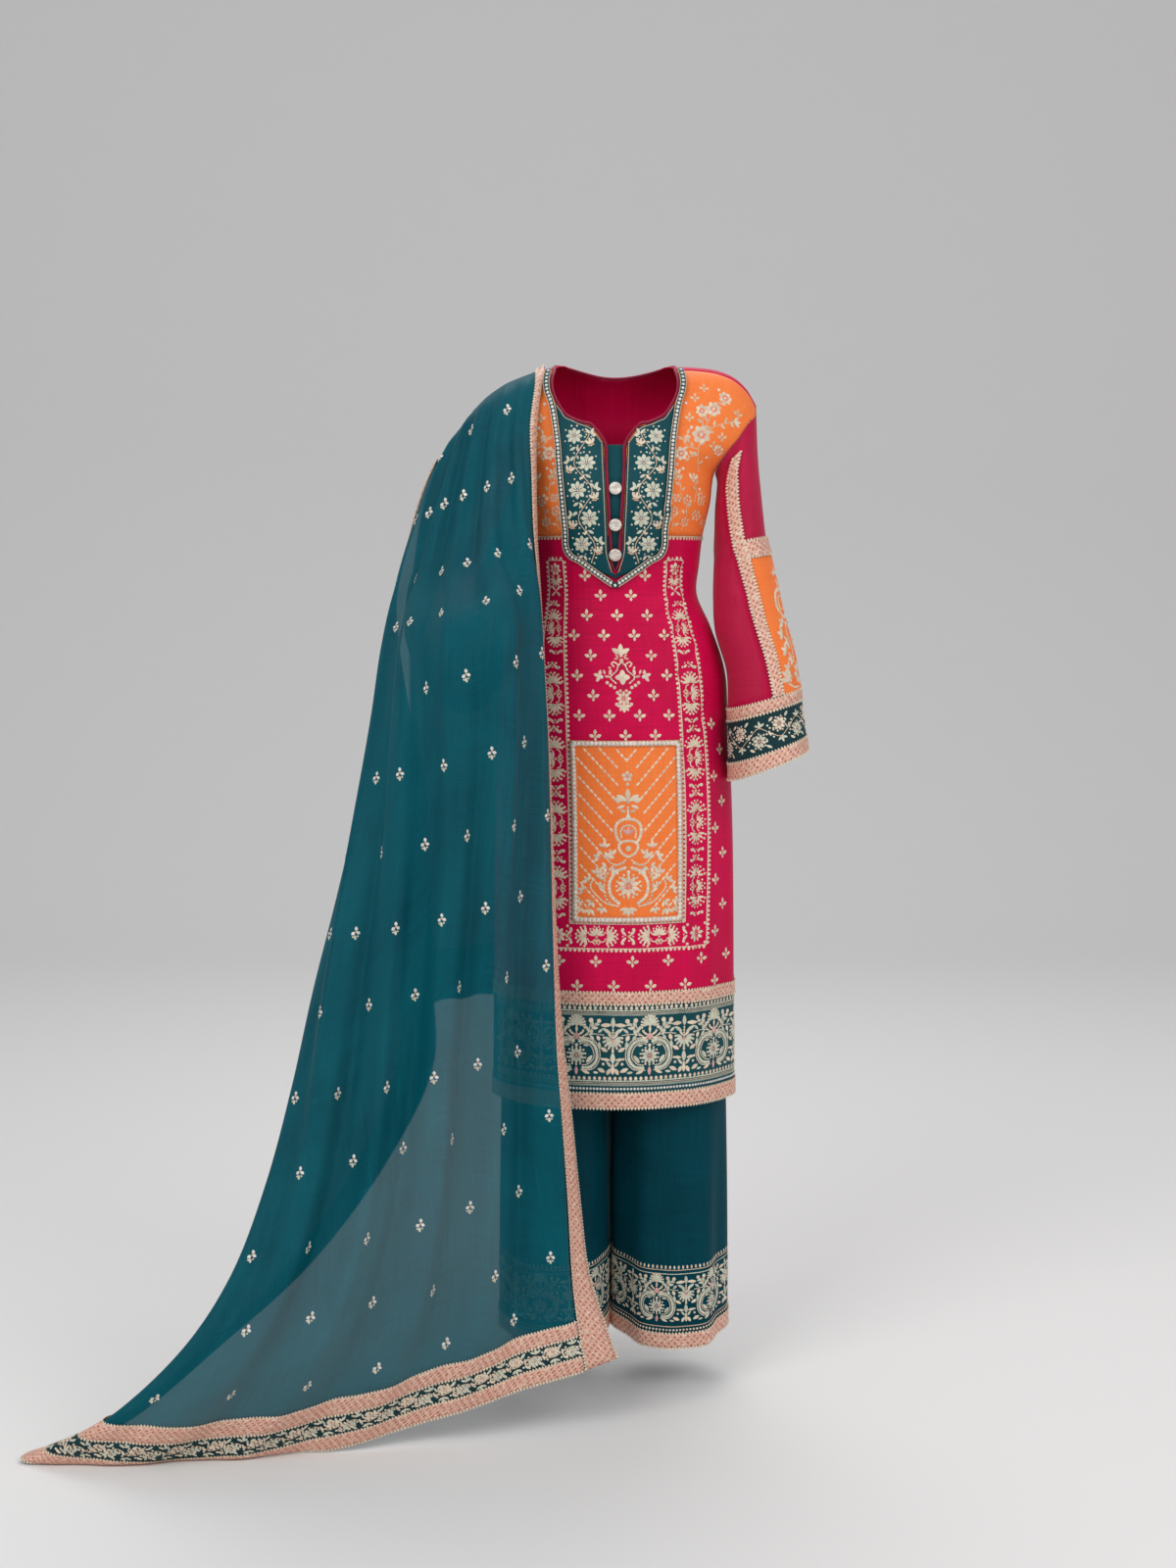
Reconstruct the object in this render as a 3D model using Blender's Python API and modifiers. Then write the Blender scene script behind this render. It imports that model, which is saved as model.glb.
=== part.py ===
"""Salwar kameez suit: long kameez, palazzo trousers and a sheer dupatta over one shoulder.

Metres, +Z up. The origin is the middle of the body at the height of the neck points, where the
wearer's shoulders carry the kameez. The front faces -Y and the wearer's left is at +X.
A panel is a grid of points: seen from outside, columns run left to right and rows run down.
"""

import math

import bmesh
import bpy
import numpy as np
from mathutils import Matrix, Vector

# ---- driving dimensions ----
FLOOR = -1.50
CLOTH = 0.0015  # body cloth, with its lining where it has one
SHEER = 0.0012
LACE = 0.0012
SEAM = 0.0003  # each edge stands this far from a seam's middle
LAY = 0.0005  # air under a piece that lies on another
PIPE = 0.0014  # radius of the neckline piping

ROUND = 0.075  # how far the cloth takes to turn over the shoulder
SHOULDER_REACH = 0.13  # the fall of the shoulder line dies away over this drop
SEAM_RUN = 0.034  # the shoulder seam lies this far in front of the ridge
YOKE_DROP = 0.2425
SLIT_TOP, SLIT_BOTTOM = 0.1146, 0.2925
SLIT_HALF = (0.0167, 0.0070)
ARMPIT = 0.150
BAND_TOP, HEM = 0.905, 1.062
LACE_TOP = (0.893, 0.911)
LACE_LOW = (1.040, 1.0625)
VENT_TOP, VENT_HALF = 0.52, 0.008

PATCH = (0.5324, 0.7923)
PATCH_HALF = 0.0795
PATCH_EDGE = 0.008

BUTTON_DROPS = (0.178, 0.227, 0.269)
BUTTON_RADIUS = 0.009

WAIST_TOP, WAIST, WAIST_LOW = 0.300, 0.326, 0.336
CROTCH, RISE_TOP = 0.72, 0.58
TROUSER_HEM = 1.412
TROUSER_LACE = 0.022

BORDER = (0.0, 0.024, 0.057, 0.082)  # lace, band and lace from the end of the dupatta
SELVEDGE = 0.022

# drop below the neck points, half width, depth to the front, depth to the back
BODY = (
    (0.000, 0.2195, 0.086, 0.078), (0.030, 0.2195, 0.088, 0.080), (0.060, 0.2175, 0.090, 0.083),
    (0.090, 0.2105, 0.093, 0.085), (0.110, 0.1985, 0.097, 0.087), (0.130, 0.1685, 0.103, 0.088),
    (0.140, 0.1535, 0.106, 0.088), (0.150, 0.1445, 0.109, 0.088), (0.165, 0.1410, 0.114, 0.088),
    (0.190, 0.1385, 0.118, 0.087), (0.239, 0.1276, 0.110, 0.082), (0.282, 0.1225, 0.100, 0.077),
    (0.325, 0.1190, 0.094, 0.076), (0.372, 0.1390, 0.099, 0.086), (0.438, 0.1610, 0.109, 0.102),
    (0.500, 0.1655, 0.116, 0.113), (0.634, 0.1724, 0.120, 0.117), (0.880, 0.1765, 0.123, 0.119),
    (1.070, 0.1790, 0.126, 0.121),
)
# distance out from the middle, fall of the shoulder line; the right shoulder is the lower one
RIGHT_SHOULDER = (
    (0.000, 0.000), (0.088, 0.000), (0.105, 0.0045), (0.124, 0.0130), (0.145, 0.0205),
    (0.166, 0.0310), (0.185, 0.0460), (0.195, 0.0565), (0.204, 0.0680), (0.220, 0.0840),
)
LEFT_SHOULDER = (
    (0.000, 0.000), (0.090, 0.000), (0.120, 0.001), (0.1515, 0.006), (0.178, 0.019),
    (0.194, 0.036), (0.204, 0.054), (0.220, 0.070),
)
# drop, distance of the armhole from the middle
ARMHOLE = (
    (0.000, 0.2036), (0.030, 0.2010), (0.060, 0.1930), (0.090, 0.1815), (0.100, 0.1765),
    (0.120, 0.1610), (0.139, 0.1480), (0.150, 0.1440),
)
# front neckline from the shoulder seam to the slit: distance out, drop
NECKLINE = (
    (0.0890, 0.0075), (0.0926, 0.0245), (0.0905, 0.0410), (0.0833, 0.0570), (0.0700, 0.0758),
    (0.0490, 0.0858), (0.0345, 0.0900), (0.0167, 0.1146),
)
# the lower body is turned a little: drop, shift of the front middle
TURN = ((0.00, 0.0), (0.30, 0.0), (0.33, 0.001), (0.42, 0.009), (0.53, 0.015), (1.10, 0.016))
# soft folds of the skirt: side, angle from the middle, lean, top, bottom, depth, half width
SKIRT_FOLDS = (
    (-1, -1.15, 0.10, 0.55, 1.10, 0.0040, 0.16), (-1, -0.55, -0.06, 0.70, 1.15, 0.0025, 0.14),
    (-1, 0.20, 0.05, 0.62, 1.15, 0.0022, 0.15), (-1, 0.85, -0.04, 0.50, 1.10, 0.0040, 0.17),
    (-1, 1.25, 0.03, 0.60, 1.15, 0.0045, 0.14), (1, -1.10, -0.05, 0.48, 1.10, 0.0050, 0.18),
    (1, -0.50, 0.06, 0.42, 1.12, 0.0045, 0.16), (1, 0.05, -0.05, 0.36, 1.15, 0.0055, 0.15),
    (1, 0.60, 0.05, 0.44, 1.10, 0.0045, 0.17), (1, 1.15, -0.06, 0.52, 1.12, 0.0050, 0.16),
)
# rows of the kameez below the yoke, its hem bands and its back: drops
FRONT_DROPS = (
    0.2431, 0.268, SLIT_BOTTOM, 0.326, 0.366, 0.408, 0.455, PATCH[0], PATCH[0] + PATCH_EDGE,
    0.590, 0.638, 0.687, 0.736, PATCH[1] - PATCH_EDGE, PATCH[1], 0.843, LACE_TOP[0],
    BAND_TOP - SEAM,
)
HEM_DROPS = (BAND_TOP + SEAM, LACE_TOP[1], 0.975, LACE_LOW[0], HEM)
BACK_DROPS = (
    0.182, 0.220, 0.262, 0.300, 0.335, 0.370, 0.410, 0.460, 0.530, 0.615, 0.705, 0.800, LACE_TOP[0],
    BAND_TOP - SEAM,
)
# shares of the way from the patch to the side seam
SIDE_SHARES = (1 / 3, 2 / 3, 1.0)
# back neckline: distance out, run from the ridge
BACK_NECK = ((0.060, 0.030), (0.030, 0.043), (0.0, 0.047), (-0.030, 0.043), (-0.060, 0.030))
# bottom edge of a neck panel: distance out and drop of its point and of its corner
PANEL_POINT = ((0.0080, 0.3040), (0.0650, 0.2630))
PANEL_OUT = CLOTH + 0.0016
# the mirror lace: its outer edge from the shoulder seam to the point of the panels, distance
# out and drop, with the way across it to its inner edge
NECK_LACE = (
    (0.0975, 0.0090, 1.0, 0.0), (0.1005, 0.0250, 1.0, 0.0), (0.0985, 0.0420, 1.0, 0.0),
    (0.0925, 0.0600, 1.0, 0.0), (0.0880, 0.0850, 1.0, 0.0), (0.0835, 0.1200, 1.0, 0.0),
    (0.0795, 0.1600, 1.0, 0.0), (0.0755, 0.2000, 1.0, 0.0), (0.0720, 0.2350, 1.0, 0.0),
    (0.0690, 0.2665, 1.0, -0.35), (0.0500, 0.2810, 0.45, -1.0), (0.0310, 0.2955, 0.45, -1.0),
    (0.0120, 0.3095, 0.45, -1.0), (0.0015, 0.3165, 0.0, -1.0),
)
NECK_LACE_WIDTH = 0.0085
TUCKS = tuple(0.1165 + 0.004 * i for i in range(12))  # drops of the folds of the placket
TUCK_RISE = 0.0007
PLACKET_DROPS = (0.175, 0.205, 0.235, 0.265, SLIT_BOTTOM + 0.004)
PLACKET_SHARES = (-1, -0.33, 0.33, 1)
PLACKET_SPARE = 0.0045  # the placket reaches this far behind each edge of the slit

# sleeve sections after the armhole: middle x y z, half vector to the outer line, half vector to
# the back on the straight left arm and to the front and top on the bent right arm
LEFT_SLEEVE = (
    (0.1790, -0.002, -0.1470, 0.0295, 0.000, 0.0200, 0.000, 0.046, 0.000),
    (0.1803, -0.004, -0.1955, 0.0338, 0.000, 0.0095, 0.000, 0.047, 0.000),
    (0.1830, -0.008, -0.2507, 0.0375, 0.000, 0.0073, 0.000, 0.050, 0.000),
    (0.1858, -0.011, -0.2755, 0.0408, 0.000, 0.0075, 0.000, 0.052, 0.000),
    (0.1900, -0.017, -0.3200, 0.0465, 0.000, 0.0087, 0.000, 0.055, 0.000),
    (0.1965, -0.026, -0.3690, 0.0500, 0.000, 0.0113, 0.000, 0.058, 0.000),
    (0.2115, -0.037, -0.4225, 0.0485, 0.000, 0.0137, 0.000, 0.060, 0.000),
    (0.2165, -0.047, -0.4760, 0.0525, 0.000, 0.0155, 0.000, 0.062, 0.000),
    (0.2173, -0.049, -0.4895, 0.0533, 0.000, 0.0160, 0.000, 0.063, 0.000),
    (0.2223, -0.060, -0.5710, 0.0573, 0.000, 0.0225, 0.000, 0.068, 0.000),
)
RIGHT_SLEEVE = (
    (-0.1820, -0.002, -0.1520, -0.0330, 0.000, 0.0160, 0.000, -0.045, 0.000),
    (-0.2050, -0.004, -0.2020, -0.0370, 0.000, 0.0140, 0.000, -0.046, 0.000),
    (-0.2290, -0.007, -0.2560, -0.0400, 0.000, 0.0140, 0.000, -0.048, 0.003),
    (-0.2400, -0.010, -0.2810, -0.0415, 0.001, 0.0120, 0.002, -0.048, 0.010),
    (-0.2530, -0.020, -0.3180, -0.0430, 0.003, 0.0080, 0.004, -0.044, 0.024),
    (-0.2570, -0.047, -0.3560, -0.0440, 0.004, 0.0030, 0.005, -0.032, 0.043),
    (-0.2500, -0.090, -0.3840, -0.0460, -0.006, 0.0000, 0.000, -0.012, 0.056),
    (-0.2330, -0.134, -0.4000, -0.0485, -0.013, 0.0000, 0.000, -0.006, 0.061),
    (-0.2290, -0.146, -0.4030, -0.0495, -0.014, 0.0000, 0.000, -0.005, 0.062),
    (-0.2080, -0.214, -0.4180, -0.0540, -0.018, 0.0000, 0.000, 0.000, 0.068),
)
# columns of a sleeve from its outer line: these distances, then even shares to the inner line
SLEEVE_ARCS = (0.0, 0.025, 0.049, 0.0675, 0.0825)
SLEEVE_SHARES = 4
ARMHOLE_CLEAR = 0.0027  # the sleeve starts this far out from the armhole's edge
UNDERARM_CLEAR = 0.0035  # and this much more under the arm
BAR_ROW, CUFF_LACE_ROW = 3, 8

TROUSER_DROPS = (
    0.3365, 0.37, 0.42, 0.49, 0.58, 0.65, CROTCH, 0.86, 1.02, 1.17, 1.30,
    TROUSER_HEM - TROUSER_LACE, TROUSER_HEM,
)
FRONT_DIP = 0.020  # the hem hangs lower in front
INSIDE = 0.0095  # the trousers stay this far inside the kameez
BAND_INSIDE = 0.0014  # the waistband fills the kameez's waist but for this
BAND_WALL = 0.0025
# drop, middle x, middle y, half width, half depth of a leg
LEG = (
    (0.58, 0.084, 0.000, 0.0790, 0.098), (0.72, 0.0835, 0.002, 0.0795, 0.092),
    (0.90, 0.0845, 0.000, 0.0805, 0.084), (1.10, 0.0860, -0.003, 0.0810, 0.078),
    (1.30, 0.0875, -0.006, 0.0810, 0.078), (1.42, 0.0878, -0.008, 0.0812, 0.081),
)
LEG_FOLDS, LEG_FOLD_DEPTH = 6, 0.0035

# dupatta, one row for each section from the shoulder to the front border: inner edge x y z,
# fold x y z, free edge x y z, how far its middle stands forward and up, depth of its pleats
FRONT_FALL = (
    (-0.1015, 0.000, 0.0026, -0.238, 0.000, -0.1070, -0.262, 0.006, -0.140, 0.000, 0.0235, 0.0012),
    (-0.105, -0.058, -0.018, -0.250, -0.030, -0.128, -0.272, 0.012, -0.160, 0.024, 0.020, 0.0030),
    (-0.113, -0.094, -0.085, -0.268, -0.036, -0.164, -0.286, 0.026, -0.194, 0.030, 0.010, 0.0045),
    (-0.114, -0.105, -0.150, -0.288, -0.040, -0.218, -0.301, 0.040, -0.244, 0.045, 0.004, 0.0055),
    (-0.112, -0.122, -0.248, -0.316, -0.048, -0.312, -0.322, 0.046, -0.332, 0.075, 0.000, 0.0065),
    (-0.106, -0.145, -0.340, -0.329, -0.075, -0.402, -0.316, 0.030, -0.415, 0.166, 0.000, 0.0075),
    (-0.101, -0.158, -0.430, -0.341, -0.112, -0.500, -0.298, 0.002, -0.512, 0.162, 0.000, 0.0085),
    (-0.095, -0.162, -0.540, -0.358, -0.148, -0.600, -0.272, -0.055, -0.612, 0.138, 0.000, 0.0100),
    (-0.090, -0.165, -0.680, -0.388, -0.188, -0.740, -0.264, -0.115, -0.750, 0.108, 0.000, 0.0115),
    (-0.085, -0.168, -0.810, -0.419, -0.226, -0.870, -0.258, -0.160, -0.875, 0.088, 0.000, 0.0125),
    (-0.077, -0.170, -0.940, -0.446, -0.262, -1.000, -0.258, -0.192, -0.990, 0.070, 0.000, 0.0135),
    (-0.064, -0.172, -1.060, -0.478, -0.298, -1.125, -0.322, -0.238, -1.115, 0.056, 0.000, 0.0140),
    (-0.053, -0.178, -1.170, -0.521, -0.342, -1.240, -0.417, -0.292, -1.235, 0.048, -0.004, 0.0140),
    (-0.041, -0.186, -1.275, -0.588, -0.374, -1.337, -0.535, -0.330, -1.338, 0.040, -0.014, 0.0120),
    (-0.022, -0.196, -1.338, -0.697, -0.366, -1.437, -0.668, -0.316, -1.452, 0.036, -0.034, 0.0070),
    (0.002, -0.205, -1.403, -0.809, -0.340, -1.4975, -0.778, -0.298, -1.4975, 0.032, -0.050, 0.0030),
)
BACK_FALL = (
    FRONT_FALL[0],
    (-0.103, 0.052, -0.013, -0.238, 0.046, -0.118, -0.262, 0.022, -0.150, -0.020, 0.019, 0.0025),
    (-0.101, 0.098, -0.080, -0.250, 0.078, -0.172, -0.280, 0.040, -0.200, -0.022, 0.012, 0.0045),
    (-0.096, 0.114, -0.200, -0.270, 0.094, -0.290, -0.298, 0.062, -0.310, -0.020, 0.000, 0.0060),
    (-0.082, 0.130, -0.400, -0.281, 0.112, -0.460, -0.306, 0.082, -0.475, -0.020, 0.000, 0.0080),
    (-0.062, 0.150, -0.600, -0.288, 0.130, -0.650, -0.300, 0.096, -0.660, -0.018, 0.000, 0.0095),
    (-0.042, 0.162, -0.780, -0.292, 0.146, -0.820, -0.290, 0.112, -0.826, -0.014, 0.000, 0.0100),
    (-0.026, 0.168, -0.930, -0.296, 0.156, -0.965, -0.280, 0.122, -0.970, -0.010, 0.000, 0.0100),
)
PLEAT_COLUMNS = 20  # four to a pleat
FOLD_COLUMNS = 3
LEAN = 1.35  # over 1, the cloth stands highest nearer to the fold
TURN_BACK = 0.018  # how round the long fold is
TURN_FULL = 0.045  # the cloth stands this far out where the fold is fully round
FLOOR_CLEAR = 0.0042
FRONT_STEP = 0.84  # rows of the front fall, in sections of its table
BORDER_STEP = 0.002

# name: base colour, roughness, metallic
FINISH = {
    "magenta_silk": ((0.55, 0.004, 0.060, 1), 0.55, 0.0),
    "magenta_sheer": ((0.62, 0.010, 0.080, 1), 0.60, 0.0),
    "orange_silk": ((0.87, 0.20, 0.045, 1), 0.50, 0.0),
    "teal_silk": ((0.002, 0.085, 0.100, 1), 0.55, 0.0),
    "teal_sheer": ((0.003, 0.100, 0.115, 1), 0.60, 0.0),
    "dark_band": ((0.006, 0.042, 0.048, 1), 0.60, 0.0),
    "gold_lace": ((0.64, 0.34, 0.26, 1), 0.45, 0.2),
    "pearl_trim": ((0.72, 0.62, 0.48, 1), 0.35, 0.3),
    "maroon_piping": ((0.26, 0.012, 0.040, 1), 0.55, 0.0),
    "pearl_button": ((0.80, 0.74, 0.64, 1), 0.25, 0.0),
}


def smooth(table):
    """A function that reads a table's other columns at a key, on a smooth curve."""
    data = np.array(table, float)
    keys, rest = data[:, 0], data[:, 1:]
    slopes = np.gradient(rest, keys, axis=0)

    def at(key):
        key = min(max(key, keys[0]), keys[-1])
        i = min(int(np.searchsorted(keys, key, side="right")) - 1, len(keys) - 2)
        span = keys[i + 1] - keys[i]
        t = (key - keys[i]) / span
        t2, t3 = t * t, t * t * t
        ends = (2 * t3 - 3 * t2 + 1) * rest[i] + (3 * t2 - 2 * t3) * rest[i + 1]
        return ends + span * ((t3 - 2 * t2 + t) * slopes[i] + (t3 - t2) * slopes[i + 1])

    return at


body_at = smooth(BODY)
left_shoulder_at, right_shoulder_at = smooth(LEFT_SHOULDER), smooth(RIGHT_SHOULDER)
armhole_at, turn_at, leg_at = smooth(ARMHOLE), smooth(TURN), smooth(LEG)


def ease(value):
    value = min(max(value, 0.0), 1.0)
    return value * value * (3 - 2 * value)


def run_of(drop):
    """The length of cloth from the ridge of the shoulder down to a drop."""
    if drop < ROUND:
        return ROUND * math.acos(1 - drop / ROUND)
    return drop - ROUND + ROUND * math.pi / 2


def torso_point(angle, run):
    """A point of the kameez: angle from the middle, run from the ridge, negative in front."""
    turned = min(abs(run), ROUND * math.pi / 2)
    drop = ROUND * (1 - math.cos(turned / ROUND)) + abs(run) - turned
    half, front, back = body_at(drop)
    side = -1 if run < 0 else 1
    swell = 0.0
    for fold_side, middle, lean, top, bottom, depth, width in SKIRT_FOLDS:
        if fold_side == side and top < drop < bottom:
            along = (drop - top) / (bottom - top)
            off = (angle - middle - lean * along) / width
            swell += depth * math.sin(math.pi * along ** 0.7) * math.exp(-off * off)
    depth = (front if side < 0 else back) * math.sin(turned / ROUND) + swell
    x = (half + swell) * math.sin(angle)
    shoulder_at = left_shoulder_at if x > 0 else right_shoulder_at
    fall = shoulder_at(abs(x))[0] * (1 - ease(drop / SHOULDER_REACH))
    return Vector((x, side * depth * math.cos(angle), -drop - fall))


def torso(angle, run, out=0.0):
    """A point of the kameez moved out from its surface."""
    here = torso_point(angle, run)
    if not out:
        return here
    step = 0.002
    across = torso_point(angle + step, run) - torso_point(angle - step, run)
    down = torso_point(angle, run + step) - torso_point(angle, run - step)
    normal = across.cross(down).normalized()
    outward = Vector((here.x, here.y + (0.02 if run > 0 else -0.02), 0.05 - min(0.05, abs(run))))
    return here + normal * (out if normal.dot(outward) > 0 else -out)


def angle_of(x, drop):
    half = body_at(drop)[0]
    return math.asin(max(-1.0, min(1.0, x / half)))


def arc_table(drop, front=True):
    """Angles across a panel and the length of cloth from its middle to each."""
    half, ahead, behind = body_at(drop)
    depth = ahead if front else behind
    angles = np.linspace(-math.pi / 2, math.pi / 2, 161)
    points = np.stack([half * np.sin(angles), depth * np.cos(angles)], 1)
    lengths = np.concatenate([[0], np.cumsum(np.linalg.norm(np.diff(points, axis=0), axis=1))])
    return angles, lengths - lengths[80]


def vent(drop):
    """Half the opening between the front and the back at the side."""
    return SEAM + VENT_HALF * ease((drop - VENT_TOP) / (HEM - VENT_TOP))


def slit_half(drop):
    share = (drop - SLIT_TOP) / (SLIT_BOTTOM - SLIT_TOP)
    return SLIT_HALF[0] + (SLIT_HALF[1] - SLIT_HALF[0]) * min(1.0, max(0.0, share))


# ---- meshes ----
def finish(name):
    found = bpy.data.materials.get(name)
    if found:
        return found
    colour, roughness, metallic = FINISH[name]
    made = bpy.data.materials.new(name)
    made.use_nodes = True
    shader = made.node_tree.nodes["Principled BSDF"]
    shader.inputs["Base Color"].default_value = colour
    shader.inputs["Roughness"].default_value = roughness
    shader.inputs["Metallic"].default_value = metallic
    made.diffuse_color = colour
    return made


def add_object(name, mesh, material):
    made = bpy.data.objects.new(name, mesh)
    made.data.materials.append(finish(material))
    bpy.data.collections["salwar_kameez_suit"].objects.link(made)
    return made


def sheet(name, rows, material, wall=CLOTH, inward=False, ring=False, keep=None, even=True):
    """Cloth through a grid of points, given its wall. Ring joins the last column to the first,
    and keep says which cells are cloth."""
    deep, wide = len(rows), len(rows[0])
    mesh = bpy.data.meshes.new(name)
    bm = bmesh.new()
    bmesh.ops.create_grid(bm, x_segments=wide - 1, y_segments=deep - 1, size=1)
    bm.verts.ensure_lookup_table()
    bm.faces.ensure_lookup_table()
    cells = {face: divmod(index, wide - 1) for index, face in enumerate(bm.faces)}
    for index, vert in enumerate(bm.verts):
        vert.co = rows[index // wide][index % wide]
    if keep:
        dropped = [face for face, cell in cells.items() if not keep(*cell)]
        bmesh.ops.delete(bm, geom=dropped, context="FACES")
    bmesh.ops.reverse_faces(bm, faces=bm.faces[:])
    if ring:
        bmesh.ops.remove_doubles(bm, verts=bm.verts[:], dist=1e-6)
    bm.to_mesh(mesh)
    bm.free()
    made = add_object(name, mesh, material)
    solid = made.modifiers.new("wall", "SOLIDIFY")
    solid.thickness = wall
    solid.offset = -1 if inward else 1
    solid.use_even_offset = even
    return made


def moved_out(rows, out, ring=False):
    """The same grid of points, moved out along its own normals."""
    grid = np.array([[tuple(point) for point in row] for row in rows])
    if ring:
        wide = np.concatenate([grid[:, -2:-1], grid, grid[:, 1:2]], 1)
        across = (wide[:, 2:] - wide[:, :-2])
    else:
        across = np.gradient(grid, axis=1)
    down = np.gradient(grid, axis=0) if len(grid) > 1 else None
    normal = np.cross(down, across)
    normal /= np.maximum(np.linalg.norm(normal, axis=2, keepdims=True), 1e-9)
    return [[Vector(point) for point in row] for row in grid + out * normal]


def pick(rows, down, across):
    return [[rows[i][j] for j in across] for i in down]


def parted(line):
    """Draws the last of these points, or of these rows, back from its neighbour's edge."""
    if isinstance(line[-1], Vector):
        return line[:-1] + [line[-1] + (line[-2] - line[-1]).normalized() * 2 * SEAM]
    pairs = zip(line[-1], line[-2])
    return line[:-1] + [[a + (b - a).normalized() * 2 * SEAM for a, b in pairs]]


# ---- kameez ----


def front_row(drop):
    """Points across the front: the slit, the patch and its lace fix the middle columns."""
    angles, lengths = arc_table(drop)
    side = lengths[-1] - vent(drop)
    inner = [slit_half(drop), 0.027, 0.050, PATCH_HALF - PATCH_EDGE, PATCH_HALF]
    turn = turn_at(drop)[0]
    right = [s + turn for s in inner]
    right += [right[-1] + (side - right[-1]) * share for share in SIDE_SHARES]
    left = [s - turn for s in inner]
    left += [left[-1] + (side - left[-1]) * share for share in SIDE_SHARES]
    places = [-s for s in reversed(left)] + right
    return [torso(float(np.interp(s, lengths, angles)), -run_of(drop)) for s in places]


def back_row(drop, count=14):
    angles, lengths = arc_table(drop, front=False)
    side = lengths[-1] - vent(drop)
    return [
        torso(float(np.interp(side * (1 - 2 * i / count), lengths, angles)), run_of(drop))
        for i in range(count + 1)
    ]


def coons(top, bottom, left, right):
    """A patch of (angle, run) pairs between four edges."""
    top, bottom, left, right = map(np.array, (top, bottom, left, right))
    rows = []
    for i, (start, end) in enumerate(zip(left, right)):
        v = i / (len(left) - 1)
        row = []
        for j in range(len(top)):
            u = j / (len(top) - 1)
            flat = (1 - v) * top[j] + v * bottom[j] + (1 - u) * start + u * end
            corners = (1 - v) * ((1 - u) * top[0] + u * top[-1])
            corners = corners + v * ((1 - u) * bottom[0] + u * bottom[-1])
            row.append(flat - corners)
        rows.append(row)
    return rows


ARMHOLE_RUNS = (0.034, 0.060, 0.085, 0.110, 0.130, 0.148, 0.165, 0.180, run_of(ARMPIT))


def armhole_pair(run):
    """Angle and run on the armhole's edge, a little inside the seam."""
    turned = min(abs(run), ROUND * math.pi / 2)
    drop = ROUND * (1 - math.cos(turned / ROUND)) + abs(run) - turned
    return angle_of(armhole_at(drop)[0], drop), run


def yoke_rows(side):
    """Points of one half of the front yoke, from the slit out to the armhole."""
    neck = [(angle_of(x, drop), -run_of(drop)) for x, drop in NECKLINE]
    slit = [(angle_of(slit_half(d), d), -run_of(d)) for d in (0.145, 0.175, 0.205, YOKE_DROP)]
    inner = neck + slit
    outer = [armhole_pair(-run) for run in ARMHOLE_RUNS]
    quarter = math.pi / 2
    for drop in (0.180, 0.212, YOKE_DROP):
        side_gap = SEAM / body_at(drop)[1]
        outer.append((quarter - side_gap, -run_of(drop)))
    count = 8
    shares = [j / count for j in range(count + 1)]
    first, last, low = inner[0], outer[0], inner[-1]
    top = [(first[0] + (last[0] - first[0]) * s, first[1] + (last[1] - first[1]) * s) for s in shares]
    angles, lengths = arc_table(YOKE_DROP)
    start, end = np.interp([low[0], outer[-1][0]], angles, lengths)
    across = [float(np.interp(start + (end - start) * s, lengths, angles)) for s in shares]
    bottom = [(angle, -run_of(YOKE_DROP)) for angle in across]
    pairs = coons(top, bottom, inner, outer)
    rows = [[torso(side * angle, run) for angle, run in row] for row in pairs]
    return rows if side > 0 else [list(reversed(row)) for row in rows]


def upper_back_rows():
    """Points of the back from the shoulder seams and the neck down to the armpits."""
    tip, neck = armhole_pair(-SEAM_RUN + 4 * SEAM), angle_of(0.0895, 0.0075)
    share = (tip[0] - neck) / 4
    strap = [(tip[0] - share * j, tip[1]) for j in range(5)]
    top = strap + [(angle_of(x, 0.012), run) for x, run in BACK_NECK]
    top += [(-angle, run) for angle, run in reversed(strap)]
    edge = [-SEAM_RUN + 4 * SEAM, -0.014, 0.008, 0.035, 0.065, 0.095, 0.125, 0.152]
    edge += [0.174, run_of(ARMPIT)]
    left = [armhole_pair(run) for run in edge]
    right = [(-angle, run) for angle, run in left]
    angles, lengths = arc_table(ARMPIT, front=False)
    side = lengths[-1]
    count = len(top) - 1
    bottom = [
        (float(np.interp(side * (1 - 2 * j / count), lengths, angles)), run_of(ARMPIT))
        for j in range(count + 1)
    ]
    return [[torso(a, r) for a, r in row] for row in coons(top, bottom, left, right)]


def make_kameez():
    front = [front_row(drop) for drop in FRONT_DROPS]
    middle = len(front[0]) // 2 - 1
    cut = FRONT_DROPS.index(SLIT_BOTTOM)
    sheet("kameez_front", front, "magenta_silk", keep=lambda i, j: j != middle or i >= cut)
    back = upper_back_rows() + [back_row(drop) for drop in BACK_DROPS]
    sheet("kameez_back", back, "magenta_silk")
    for side, name in ((1, "left"), (-1, "right")):
        sheet(f"yoke_{name}", yoke_rows(side), "orange_silk")
    make_hem()
    make_patch(front)


def make_hem():
    for name, row_of in (("front", front_row), ("back", back_row)):
        rows = [row_of(drop) for drop in HEM_DROPS]
        sheet(f"hem_band_{name}", rows, "teal_silk")
        low = moved_out(rows, CLOTH + LAY)[3:]
        high = moved_out([row_of(LACE_TOP[0] + 0.0005), row_of(BAND_TOP), row_of(LACE_TOP[1])],
                         CLOTH + LAY)
        sheet(f"hem_lace_low_{name}", low, "gold_lace", LACE)
        sheet(f"hem_lace_top_{name}", high, "gold_lace", LACE)


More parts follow.
